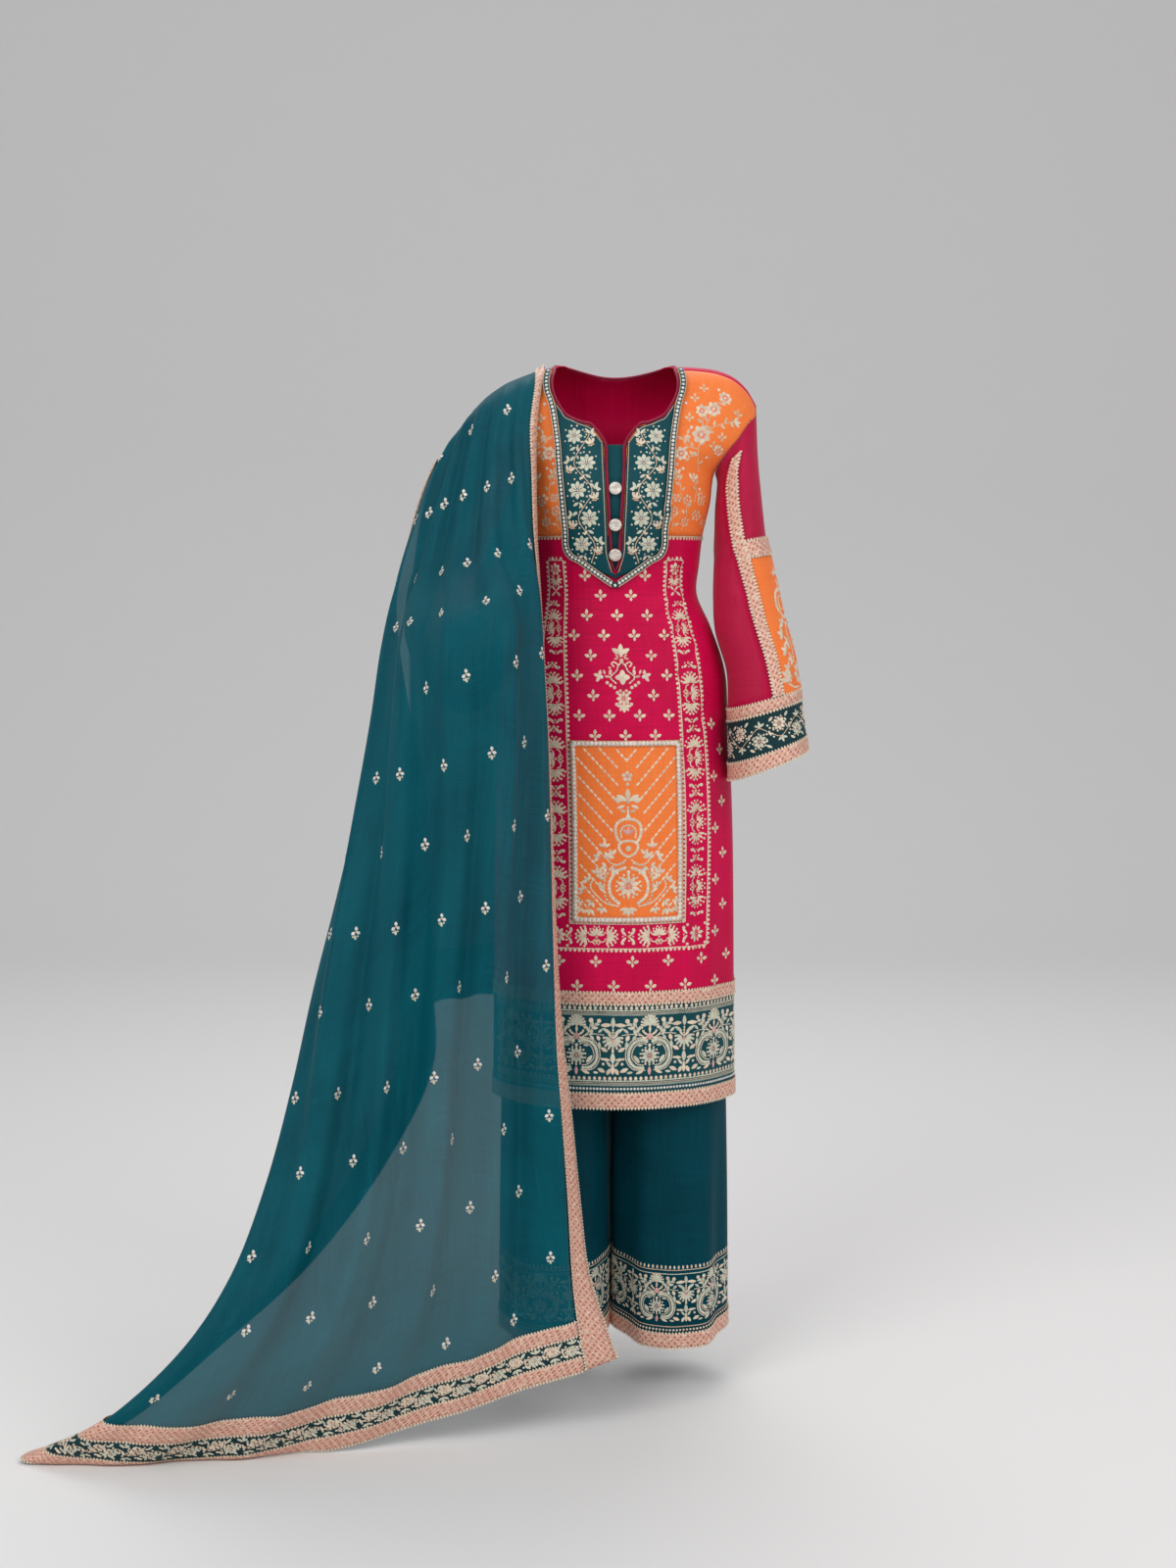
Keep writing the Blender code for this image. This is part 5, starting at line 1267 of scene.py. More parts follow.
for end, number, ends in DUPATTA_ENDS:
    for index, (name, material) in enumerate(
            (("lace_low", gold_lace), ("band", dark_band), ("lace_top", gold_lace))):
        sewn(f"dupatta_{name}_{end}_weave", border_grid(number, ends, index, index + 1), material,
             "draped", ["dupatta_georgette"], OVER, LACE)

# ---- skirt embroidery ----
# Raised satin stitches of champagne and cream silk with beads and a few pearls, worked by hand on
# the magenta cloth: small sprigs in rows, one large cross-shaped motif, and a border of lotus and
# palmettes down both sides of the patch and under it.
LEAF, BEAD = 0, 1
THREADS = np.array((  # red, green, blue, shine
    (0.84, 0.61, 0.42, 0.2), (0.95, 0.8, 0.61, 0.08), (0.74, 0.46, 0.24, 0.4),
    (0.95, 0.93, 0.88, 0.5), (0.88, 0.46, 0.44, 0.08), (0.76, 0.78, 0.62, 0.12),
    (0.24, 0.01, 0.04, 0.1), (0.88, 0.64, 0.43, 0.15),
))
CHAMPAGNE, CREAM, GOLD, PEARL, PINK, SILVER, MAROON, PEACH = range(8)
STITCH_SIDES, STITCH_INSET = 8, 0.38
THREAD_LIFT, THREAD_SUNK = 0.0002, 0.0002
LEAF_RISE, BEAD_RISE = 0.3, 0.42  # height as a share of the width
LEAF_HIGH, BEAD_HIGH, LEAST_HIGH = 1.0, 1.6, 0.3
TOOTH_PITCH, TOOTH_OUT = 6.6, 2.4
# the border's middle line: drop, distance out, width
BORDER_LINE = ((0.272, 0.09, 26), (0.33, 0.0885, 28), (0.4, 0.0975, 33), (0.48, 0.1015, 36),
               (0.84, 0.1015, 36))
BORDER_TOP, BORDER_CORNER, BORDER_PITCH = 0.277, 0.8125, 0.0925
BORDER_HALF = 18  # half the width of the border under the patch
FOOT_REACH, FOOT_INNER, CORNER_OUT = 119, 83, 102
SPRIG_ROWS, SPRIG_STEP = 0.299 + 0.0283 * np.arange(9), 0.043
SIDE_SPRIGS, SIDE_SPRIG_OUT = np.arange(0.512, 0.83, 0.0375), (0.137, 0.155)
CLEAR_OF_MOTIF = (0.038, 0.045)  # half width and half height kept free for the cross motif
CLEAR_OF_PANELS = (0.03, 0.322)
CROSS_DROP = 0.443
LAST_SPRIGS, LAST_SPRIG_STEP, LAST_SPRIG_OUT = (0.849, 0.8845), 0.0525, (0.0068, 0.033)
BACK_SPRIGS, BACK_SPRIG_STEP = np.arange(0.1, 0.875, 0.04), 0.05
border_at = smooth(BORDER_LINE)


def thread_material():
    """Silk thread and beads in the colour of each stitch, ribbed across its length, with painted shade in
    the grooves between the ribs.
    """
    nodes = Nodes("embroidery_thread")
    thread = nodes.add("Attribute", {"attribute_name": "thread"})
    ribs = nodes.wave(nodes.flat((560, 0, 1)))
    fuzz = nodes.noise(nodes.flat((2400, 900, 1)), 2.0)
    ribbed = nodes.sum(ribs, 0.7, fuzz, 0.3)
    # the colour is darkened in the grooves between the ribs, a painted shade, and by a fuzz of random tone
    shade, shine = nodes.mixed(ribbed, (0.66, 0.62, 0.58, 1), (1, 1, 1, 1)), thread.outputs["Alpha"]
    return nodes.finish({
        "Base Color": nodes.mixed(1.0, thread.outputs["Color"], shade, "MULTIPLY"),
        "Metallic": nodes.math("MULTIPLY", shine, 0.55), "Normal": nodes.bump(ribbed, 0.5, 0.0003),
        "Roughness": nodes.spread(shine, 0.52, 0.2, 0.0, 1.0), "Sheen Weight": 0.15,
    })


thread_silk = thread_material()


def leaf(x, y, length, width, degrees=90.0, colour=CREAM):
    """A pointed stitch in millimetres, y upwards, lying at an angle."""
    return (LEAF, x, y, length, width, math.radians(degrees), colour)


def dot(x, y, size, colour=CREAM):
    return (BEAD, x, y, size, size, 0.0, colour)


def toward(x, y, reach, turn):
    """A place this far from another, at an angle."""
    return x + reach * math.cos(turn), y + reach * math.sin(turn)


def petals(x, y, count, reach, length, width, start=90.0, spread=360.0, colour=CREAM):
    """Stitches round a point, pointing away from it."""
    step = spread / count if spread == 360 else spread / max(1, count - 1)
    first = start if spread == 360 else start - spread / 2
    turns = [math.radians(first + step * index) for index in range(count)]
    return [(LEAF, *toward(x, y, reach, turn), length, width, turn, colour) for turn in turns]


def paced(points, pitch):
    """Even places along a smooth line: x, y and the angle it runs at."""
    line = finer(points, 10)
    run = runs_along(line)
    count = max(1, round(run[-1] / pitch))
    at = (np.arange(count) + 0.5) * run[-1] / count
    x, y = (np.interp(at, run, line[:, k]) for k in (0, 1))
    right, up = (np.interp(at + 0.1, run, line[:, k]) - np.interp(at - 0.1, run, line[:, k])
                 for k in (0, 1))
    return zip(x, y, np.arctan2(up, right))


def chain(points, width=1.0, length=3.0, colour=CREAM, overlap=0.86, kind=LEAF):
    """Stitches end to end along a smooth line."""
    return [(kind, x, y, length, width, turn, colour) for x, y, turn in paced(points, length * overlap)]


def beads(points, size, pitch, colour=CREAM):
    return chain(points, size, size, colour, pitch / size, BEAD)


def toothed(line, out, colour=CREAM):
    """A cord along a line, with rounded teeth on its outer side."""
    teeth = [leaf(*toward(x, y, TOOTH_OUT, math.radians(out)), 5.4, 4.8, out, colour)
             for x, y, _ in paced(line, TOOTH_PITCH)]
    return chain(line, 2.4, 4.6, colour) + teeth


def flipped(items):
    """The items' mirror image."""
    return [(k, -x, y, length, width, math.pi - turn, c) for k, x, y, length, width, turn, c in items]


def both(items):
    return items + flipped(items)


def shifted(items, x=0.0, y=0.0, turn=0.0, size=1.0):
    """The items turned by degrees, scaled and moved, still in millimetres."""
    turn = math.radians(turn)
    cos, sin = size * math.cos(turn), size * math.sin(turn)
    return [(k, x + px * cos - py * sin, y + px * sin + py * cos, length * size, width * size,
             at + turn, c) for k, px, py, length, width, at, c in items]


class Embroidery:
    """Stitches gathered on cloth and made into one mesh."""

    def __init__(self, name, seed=7):
        self.name = name
        self.rows = []
        self.random = np.random.default_rng(seed)

    def sew(self, surface, items, across=0.0, drop=0.0, lift=CLOTH, step=0.0015):
        """Items in millimetres, x to the right and y up, about a place on a surface."""
        data = np.array(items, float)
        x, y = across + data[:, 1] * MM, drop - data[:, 2] * MM
        here, along, down, normal = tangents(surface, x, y, step)
        along /= np.maximum(np.linalg.norm(along, axis=1, keepdims=True), 1e-9)
        up = np.cross(normal, along)
        here = here + normal * (lift + THREAD_LIFT)
        self.rows.append(np.concatenate([here, along, up, normal, data[:, [0, 3, 4, 5, 6]]], 1))

    def make(self, slot):
        rows = np.concatenate(self.rows)
        kind, length, width, turn, colour = rows[:, 12:].T
        unit, shapes = stitch_shapes()
        mesh = repeated(unit, len(rows), self.name)
        shape = shapes[kind.astype(int)]
        x = shape[..., 0] * (length / 2 * MM)[:, None]
        y = shape[..., 1] * (width / 2 * MM)[:, None]
        rise = np.where(kind == BEAD, BEAD_RISE, LEAF_RISE) * width
        high = np.clip(rise, LEAST_HIGH, np.where(kind == BEAD, BEAD_HIGH, LEAF_HIGH)) * MM
        z = shape[..., 2] * high[:, None] - THREAD_SUNK
        cos, sin = np.cos(turn)[:, None], np.sin(turn)[:, None]
        here, along, up, out = (rows[:, None, k:k + 3] for k in (0, 3, 6, 9))
        place = here + along * (x * cos - y * sin)[..., None] + up * (x * sin + y * cos)[..., None]
        mesh.vertices.foreach_set("co", (place + out * z[..., None]).ravel())
        shift = self.random.uniform(0, 1, (len(rows), 1))
        lay_flat(mesh, np.stack([x + shift, y + shift], -1))
        tone = THREADS[colour.astype(int)].copy()
        tone[:, :3] *= self.random.uniform(0.84, 1.08, (len(rows), 1))
        tone = np.repeat(np.clip(tone, 0, 1), shape.shape[1], 0)
        made = mesh.color_attributes.new("thread", "FLOAT_COLOR", "POINT")
        made.data.foreach_set("color", tone.ravel())
        mesh.materials.append(thread_silk)
        mesh.shade_smooth()
        dress(placed(self.name, mesh), slot)


def stitch_shapes():
    """One low dome, and its points as a pointed stitch and as a round bead."""
    bm = bmesh.new()
    bmesh.ops.create_circle(bm, cap_ends=True, segments=STITCH_SIDES, radius=1)
    bmesh.ops.inset_region(bm, faces=bm.faces[:], thickness=STITCH_INSET)
    middle = min(bm.faces, key=lambda face: face.calc_center_median().length)
    top = bmesh.ops.poke(bm, faces=[middle])["verts"][0]
    bm.verts.index_update()
    bm.normal_update()
    if sum(face.normal.z for face in bm.faces) < 0:
        bmesh.ops.reverse_faces(bm, faces=bm.faces[:])
    points = np.array([tuple(vert.co) for vert in bm.verts])
    reach = np.hypot(points[:, 0], points[:, 1])
    leaf, bead = points.copy(), points.copy()
    leaf[:, 1] *= 1 - 0.42 * points[:, 0] ** 2
    leaf[:, 2] = np.where(reach > 0.9, 0.0, np.where(reach > 0.1, 0.72, 1.0))
    bead[:, 2] = np.where(reach > 0.9, 0.0, np.where(reach > 0.1, 0.8, 1.0))
    unit = bpy.data.meshes.new("stitch")
    bm.to_mesh(unit)
    bm.free()
    return unit, np.stack([leaf, bead])


def repeated(unit, count, name):
    """A mesh of so many copies of a small one, joined pair by pair."""
    whole, block = bmesh.new(), unit.copy()
    while count:
        if count & 1:
            whole.from_mesh(block)
        count >>= 1
        if count:
            pair = bmesh.new()
            pair.from_mesh(block)
            pair.from_mesh(block)
            pair.to_mesh(block)
            pair.free()
    made = bpy.data.meshes.new(name)
    whole.to_mesh(made)
    whole.free()
    return made


def sprig(thread=CREAM, core=MAROON):
    """A small flower of three petals over a drop."""
    return ([leaf(0, 4.9, 8.4, 5.0, 90, thread)] + both([leaf(5.0, -0.4, 8.2, 5.4, 24, thread)])
            + [leaf(0, -5.2, 6.4, 4.2, 90, thread), dot(0, -0.6, 3.0, GOLD)]
            + both([dot(2.6, -4.0, 2.0, core)]))


def flower(radius, count, thread=CREAM, core=PINK, width=0.62):
    """An open flower with a bead at its heart."""
    petal = radius * width * 6.2 / count
    return (petals(0, 0, count, radius * 0.64, radius * 0.74, petal, colour=thread)
            + petals(0, 0, count, radius * 0.66, radius * 0.34, petal * 0.3, colour=GOLD)
            + petals(0, 0, 7, radius * 0.27, radius * 0.24, radius * 0.17, colour=core)
            + [dot(0, 0, radius * 0.26, CHAMPAGNE)])


def cross_motif():
    """A fan of three leaves, a diamond between two curled arms, and a rose at the foot."""
    top = petals(0, 33, 3, 7.2, 14.6, 7.6, 90, 118) + [dot(0, 31, 5.4), dot(0, 23.5, 6.4, CHAMPAGNE)]
    top += both(petals(3.4, 27, 2, 4.0, 7.0, 3.0, 20, 60, CHAMPAGNE))
    diamond = petals(0, 0, 4, 5.0, 11.5, 8.6) + [dot(0, 0, 8.0)]
    diamond += both(chain([(0, 19), (6, 9), (14, 0), (6, -9), (0, -17)], 1.5, colour=MAROON))
    diamond += both(chain([(0, 22), (5.4, 15.5), (8.4, 8.5), (17, 0), (9, -9)], 2.5, 4.2))
    diamond += both(chain([(4, 17), (10.5, 21.5), (14, 19), (10.8, 14.5)], 3.0, 4.4))
    arm = petals(32, 1.5, 3, 4.8, 9.0, 5.2, 20, 150) + [dot(30, 0.5, 5.4, PEARL)]
    arm += beads([(24.5, -5.5), (20, -9.5), (15, -13), (9.5, -15.5)], 5.0, 5.2)
    arm += [leaf(17, 7.5, 9.6, 4.6, 100), leaf(21.5, 1.0, 8.6, 3.6, 8, CHAMPAGNE),
            leaf(25.5, 7.5, 7.0, 3.6, 70), dot(17.5, 13.5, 3.4)]
    low = shifted(flower(10.5, 8), 0, -30) + petals(0, -40, 5, 5.2, 9.6, 5.2, -90, 170)
    low += both([dot(8.6, -21.5, 5.0), dot(10.4, -38, 5.0), dot(4.2, -19, 4.4)])
    return top + diamond + both(arm) + low


def border_repeat():
    """One repeat of the border, 36 mm wide and 92 mm long: a ribbed pod between two fans, and
    crossed leaves with balls at its ends."""
    pod = petals(2, 0, 7, 6.6, 12.0, 4.4, 0, 170) + petals(-4, 0, 3, 4.4, 7.4, 3.8, 180, 110, CHAMPAGNE)
    pod += [dot(-1, 0, 4.6, PINK)] + petals(2, 0, 6, 13.2, 3.2, 3.2, 0, 150)
    fan = petals(0, 16.5, 7, 8.2, 13.6, 4.6, 90, 176) + petals(0, 16.5, 8, 15.2, 4.0, 4.0, 90, 166)
    fan += [dot(0, 17.5, 4.4, CHAMPAGNE), dot(-11.5, 15.5, 3.2)]
    fan += chain([(-13, 2), (-9, 6), (-8, 11), (-3, 14)], 2.4, 3.8)
    cross = petals(0, 46, 2, 7.4, 12.4, 4.4, -90, 96) + [dot(-10.6, 39.6, 4.8), dot(10.6, 39.6, 5.2)]
    half = fan + cross + [dot(0, 40.0, 3.4, PINK)]
    below = [(k, x, -y, length, width, -turn, c) for k, x, y, length, width, turn, c in half]
    return pod + half + below + [dot(0, 46, 5.0, CHAMPAGNE), dot(6.4, 46, 3.4), dot(-6.4, 46, 3.4)]


def border_column(side):
    """The border down one side of the patch, in millimetres about the waist line."""
    made = []
    for index in range(7):
        drop = BORDER_CORNER - 0.022 - BORDER_PITCH * (index + 0.5)
        if drop - 0.046 < BORDER_TOP:
            break
        out, width = border_at(drop)
        repeat = shifted(border_repeat(), size=width / 38)
        made += shifted(repeat if side > 0 else flipped(repeat), side * out * 1000, -drop * 1000)
    drops = np.linspace(BORDER_TOP, BORDER_CORNER - BORDER_HALF * MM, 24)
    line = border_at(drops) * (1000, 1)
    for edge in (-1, 1):
        rail = [(side * (out + edge * width / 2), -drop * 1000) for drop, (out, width) in zip(drops, line)]
        if edge > 0:
            rail.append((rail[-1][0], -BORDER_CORNER * 1000 - BORDER_HALF))
        made += toothed(rail, 0 if side * edge > 0 else 180)
    (out, width), y = line[0], -BORDER_TOP * 1000
    x = side * out
    made += shifted(flower(9.5, 7), x, y - 13) + petals(x, y - 27, 7, 6.4, 10.4, 3.6, -90, 176)
    made += petals(x, y - 27, 2, 6.0, 8.0, 3.2, 90, 110, CHAMPAGNE)
    made += petals(x, y - 44, 4, 6.0, 9.6, 3.8, 45)
    made += [dot(x, y - 44, 4.4, PINK), dot(x - 9.5, y - 38, 3.6), dot(x + 9.5, y - 38, 3.6)]
    return made + toothed([(side * (out - width / 2), y), (side * (out + width / 2), y)], 90)


def border_foot():
    """The border under the patch, and the roses at its corners."""
    made, y = [], -BORDER_CORNER * 1000
    for index in range(2):
        made += shifted(border_repeat(), (index - 0.5) * BORDER_PITCH * 970, y, 90, 0.94)
    made += toothed([(-FOOT_INNER, y + BORDER_HALF), (FOOT_INNER, y + BORDER_HALF)], 90)
    made += toothed([(-FOOT_REACH, y - BORDER_HALF), (FOOT_REACH, y - BORDER_HALF)], -90)
    corner = shifted(flower(13, 9), CORNER_OUT, y)
    corner += [dot(CORNER_OUT + 15 * right, y + 14 * up, 4.4) for right in (-1, 1) for up in (-1, 1)]
    return made + both(corner)


def sprig_places():
    """Rows of sprigs in the middle of the skirt front, set half a step apart."""
    places = []
    for row, drop in enumerate(SPRIG_ROWS):
        reach = float(border_at(drop)[0]) - 0.024
        for index in range(-3, 4):
            across = (index + 0.5 * (row % 2)) * SPRIG_STEP
            near = abs(across) < CLEAR_OF_MOTIF[0] and abs(drop - CROSS_DROP) < CLEAR_OF_MOTIF[1]
            under_panels = abs(across) < CLEAR_OF_PANELS[0] and drop < CLEAR_OF_PANELS[1]
            if abs(across) < reach and not near and not under_panels:
                places.append((across, drop))
    for row, drop in enumerate(SIDE_SPRIGS):
        places += [(side * SIDE_SPRIG_OUT[row % 2], drop) for side in (-1, 1)]
    return places


skirt_front = Embroidery("kameez_front_embroidery")
skirt_front.sew(front_at, cross_motif(), 0.0, CROSS_DROP)
for across, drop in sprig_places():
    skirt_front.sew(front_at, sprig(), across, drop)
for side in (-1, 1):
    skirt_front.sew(front_at, border_column(side))
skirt_front.sew(front_at, border_foot())
for index in range(-3, 4):
    for row, (drop, out) in enumerate(zip(LAST_SPRIGS, LAST_SPRIG_OUT)):
        skirt_front.sew(front_at, sprig(), out + LAST_SPRIG_STEP * (index - row), drop)
skirt_front.make("gold_lace")

back_sprigs = Embroidery("kameez_back_embroidery", 8)
for row, drop in enumerate(BACK_SPRIGS):
    reach = float(side_arc(np.array(max(drop, 0.16)), False)) - 0.016
    for across in (np.arange(-6, 7) + 0.5 * (row % 2)) * BACK_SPRIG_STEP:
        if abs(across) < reach:
            back_sprigs.sew(back_at, sprig(), across, drop)
for index in range(-4, 5):
    back_sprigs.sew(back_at, sprig(), LAST_SPRIG_STEP * index, LAST_SPRIGS[1])
back_sprigs.make("gold_lace")

# ---- hem embroidery ----
# The hem band carries fans of carnations over horseshoes of leaves, with lilies between them, in
# pale green and champagne silk, and rows of beads and twisted cord above and below.
HEM_PERIOD, HEM_PHASE = 0.105, 0.033
HEM_MOTIF_DROP = 0.9735
HORSESHOE_HALF, LILY_HALF, HEM_END = 0.036, 0.012, 0.014
HEM_LINES, PEARL_LINE = (-917.4, -1019.5), -1033.6
SPRAY_LEAVES = (  # place and angle of the leaves beside a carnation
    (27, 28, 10), (22.5, 33, 80), (15.5, 27, 110), (29.5, 33.5, -10), (21, 21.5, 60), (34, 24, 40),
)


def horseshoe_motif():
    """A carnation over a pair of curled horns with a round flower in them, and sprays beside."""
    fan = petals(0, 34, 9, 7.2, 12.4, 4.2, 90, 200, SILVER) + petals(0, 34, 10, 12.0, 4.0, 3.6, 90, 190)
    fan += [dot(0, 33, 5.0), leaf(0, 26.5, 10, 4.2)]
    bow = [leaf(0, 16.5, 11, 7.6, 90, PINK)] + both([
        leaf(6.5, 20.5, 10.5, 3.4, 35), leaf(7.0, 13.5, 10.0, 3.4, -30), dot(9.5, 24.0, 3.8)])
    horn = chain([(3, 8), (12, 11), (23, 6), (29, -5), (29, -18), (21, -28), (8, -30)], 5.4, 5.6,
                 SILVER, 0.66)
    horn += chain([(2, 11), (12, 14.5), (26, 9), (33.5, -5), (32.5, -20), (23, -31.5), (6, -33)], 2.0, 4.2)
    horn += chain([(4, 4), (12, 7), (20, 2.5), (24.5, -6), (24.5, -16), (17, -24), (8, -26)], 1.9, 4.0)
    horn += [leaf(18.5, -17, 14, 6.0, 52, SILVER), leaf(13.5, 3.2, 8.0, 3.6, -10, SILVER)]
    ring = flower(12.5, 10, SILVER) + petals(0, 0, 14, 13.2, 3.4, 3.2)
    ring = shifted(ring, 0, -12) + [leaf(0, -34, 12.5, 5.4, 90, PINK), dot(0, 3.4, 4.6, PEARL)]
    spray = chain([(8, 15), (16, 21), (24, 29), (31, 37)], 2.0, 3.8)
    spray += chain([(17, 22), (19, 30), (20.5, 37.5)], 1.8, 3.6)
    spray += chain([(10, 17), (24, 19.5), (40, 18)], 1.7, 4.0)
    spray += [dot(32, 38.5, 7.0), dot(20.5, 39.5, 7.0), dot(11.8, 29.0, 4.4)]
    spray += [leaf(x, y, 9.6, 4.4, turn, SILVER) for x, y, turn in SPRAY_LEAVES]
    spray += [leaf(31.5, 13.5, 9.4, 6.4, -65), leaf(22, 14.5, 8.4, 4.4, -50, SILVER)]
    tulips = [leaf(33.0, 3.0, 12.0, 5.0, 95, SILVER), leaf(40.0, -3.0, 12.0, 6.0, -28),
              leaf(36.0, -33.0, 13.0, 6.4, -24), leaf(28.0, -36.5, 9.0, 4.0, -8, SILVER),
              leaf(14.0, -36.0, 12.0, 4.6, -20), dot(39.0, -24.0, 4.2)]
    return fan + bow + both(horn + spray + tulips) + ring


def lily_motif():
    """An upright lily: three leaves, a round fan, a bud and a three-lobed foot."""
    top = [leaf(0, 36, 16, 6.4, 90, SILVER)] + both([
        leaf(10.5, 32.5, 17.5, 6.2, -4), leaf(8.5, 24.0, 16.0, 5.4, 32, SILVER),
        leaf(4.2, 17.5, 11.0, 3.8, 50)])
    top += chain([(0, 28), (0, 12)], 3.2, 4.4)
    fan = petals(0, 11, 9, 8.0, 12.4, 4.6, -90, 216, SILVER) + petals(0, 11, 9, 13.4, 4.0, 3.8, -90, 206)
    fan += [dot(0, 9.5, 5.2, PINK)] + petals(0, 11, 4, 5.0, 5.4, 1.6, -90, 110, PINK)
    low = [leaf(0, -15.5, 17.0, 7.4, 90, SILVER), dot(0, -5.5, 4.2)]
    low += both([leaf(9.5, -17.5, 13.0, 4.8, 8), dot(15.5, -16.8, 3.8),
                 leaf(5.6, -24.0, 11.0, 4.2, 52, SILVER), leaf(5.8, -35.0, 10.5, 6.0, -62)])
    return top + fan + low + [leaf(0, -32.5, 14.0, 6.0), dot(0, -25.5, 4.0)]


def hem_lines(reach):
    """Pointed beads, a flat braid and a twisted cord above the flowers and again below them, and
    a row of pearls."""
    made = []
    for y in HEM_LINES:
        made += [leaf(x, y + 1.2, 6.0, 5.0) for x in np.arange(-reach + 3.7, reach, 7.4)]
        made += chain([(-reach, y - 2.6), (reach, y - 2.6)], 2.6, 5.2, SILVER)
        made += chain([(-reach, y - 5.4), (reach, y - 5.4)], 1.4, 4.0, CHAMPAGNE)
        made += [leaf(x, y - 8.2, 5.2, 1.5, 48, SILVER) for x in np.arange(-reach + 1.5, reach, 3.1)]
    return made + beads([(-reach, PEARL_LINE), (reach, PEARL_LINE)], 3.9, 4.9, PEARL)


def embroider_hem(name, surface, start, ends):
    hem = Embroidery(f"hem_{name}_embroidery", 9)
    reach = float(side_arc(np.array(0.97), name == "front"))
    for index in range(-4, 5):
        across = start + HEM_PERIOD * index / 2
        motif, half = (lily_motif(), LILY_HALF) if index % 2 else (horseshoe_motif(), HORSESHOE_HALF)
        if abs(across) + half < reach - 0.004:
            hem.sew(surface, motif, across, HEM_MOTIF_DROP)
    for side in ends:
        hem.sew(surface, shifted(lily_motif(), size=0.8), side * (reach - HEM_END), HEM_MOTIF_DROP)
    hem.sew(surface, hem_lines((reach - 0.012) * 1000))
    hem.make("pearl_trim")


embroider_hem("front", front_at, HEM_PHASE, (1,))
embroider_hem("back", back_at, 0.0, (-1, 1))

# ---- patch embroidery ----
# Dashed lines of champagne thread run in chevrons over the orange patch. A tall garland stands on
# its middle line: a round flower in a horseshoe of leaves, with a cup and buds above it.
CHEVRON_STEP, CHEVRON_SLOPE, CHEVRON_PITCH = 25.0, math.tan(math.radians(48)), 5.4
GARLAND_CLEAR = ((-30, 1), (-45, 4), (-110, 15), (-165, 24))  # height, half width of the garland
GARLAND_FOOT = 34
GARLAND_TOP, GARLAND_SIZE = 0.046, 1.12
PATCH_LIFT = CLOTH + LAY + LACE
PATCH_LACE_LIFT = CLOTH + 2 * LACE + 2 * LAY
BRANCH_BUDS = ((30, -94, 90), (20, -104, 60), (37, -107, 20), (28, -120, -10), (17, -122, -60),
               (26, -107, 120))
FOOT_BUDS = ((40, -128, 90), (51, -138, 50), (57, -150, 20), (46, -164, -50), (33, -172, -80),
             (60, -163, -20), (37, -146, 160), (37, -134, 120), (60, -172, -60), (50, -174, -90))


def chevrons():
    """Lines from the patch's sides down to its middle line, cut off where the garland stands."""
    half, high = (PATCH_HALF - PATCH_EDGE) * 1000 - 2, (PATCH[1] - PATCH[0] - 2 * PATCH_EDGE) * 1000
    made = []
    for index in range(-2, 16):
        tip = -20 - CHEVRON_STEP * index
        clear = next((wide for above, wide in GARLAND_CLEAR if tip > above), GARLAND_FOOT)
        for x in np.arange(clear, half, CHEVRON_PITCH):
            y = tip + x * CHEVRON_SLOPE
            if -high < y < -2:
                made.append((LEAF, x, y, 7.6, 3.4, math.atan(CHEVRON_SLOPE), CREAM))
    return both(made)


def bud(x, y, turn, petal=(4.4, 8.0, 4.4), spread=120, heart=3.4, core=PINK):
    """Three petals and a bead, pointing at an angle. A petal is its reach, length and width."""
    return shifted(petals(0, 0, 3, *petal, 0, spread) + [dot(0, 0, heart, core)], x, y, turn)


def garland():
    """The garland, from its top at the zero of y down to the foot of the patch."""
    top = shifted(flower(7.0, 5), 0, -4) + [dot(0, -14, 4.4)]
    top += petals(0, -36, 3, 9.0, 15.0, 7.0, 90, 120) + [dot(0, -36, 6.0, CHAMPAGNE)]
    top += both([leaf(13, -34, 12, 5.6, 20), leaf(9, -43, 11, 4.6, -20)])
    cup = both(chain([(0, -58), (9, -60), (15.5, -67), (15, -80), (9, -90)], 4.6, 6.0, overlap=0.7))
    cup += both(chain([(0, -66), (6, -68), (9.5, -74), (8.5, -83)], 2.6, 4.4))
    cup += both(chain([(0, -86), (9, -88), (12, -94), (8, -102), (0, -107)], 4.0, 5.4, overlap=0.72))
    cup += petals(0, -78, 3, 5.0, 10.0, 4.4, 90, 90, PINK) + [dot(0, -56, 6.0, PEARL), dot(0, -96, 7.4)]
    cup += chain([(0, -42), (0, -54)], 3.4, 4.4) + petals(0, -50, 2, 6.4, 9.0, 4.0, 90, 150, CHAMPAGNE)
    branch = chain([(3, -110), (13, -117), (24, -113), (30, -100)], 2.6, 4.4)
    for place in BRANCH_BUDS:
        branch += bud(*place)
    shoe = chain([(3, -120), (16, -126), (24, -140), (22, -156), (11, -167)], 5.0, 6.4, overlap=0.7)
    shoe += beads([(4, -114), (21, -120), (31, -141), (28, -160), (18, -170)], 3.8, 5.0, CHAMPAGNE)
    foot = chain([(12, -170), (28, -166), (40, -156), (48, -145), (44, -134)], 2.6, 4.4)
    for place in FOOT_BUDS:
        foot += bud(*place, (4.4, 8.0, 4.2), 116, 3.2, GOLD)
    rose = shifted(flower(14.5, 10), 0, -144) + petals(0, -144, 16, 15.2, 3.6, 3.2)
    rose += petals(0, -172, 5, 6, 11.0, 4.8, -90, 150) + [dot(0, -126, 4.6, PEARL)]
    return top + cup + both(branch + shoe + foot) + rose


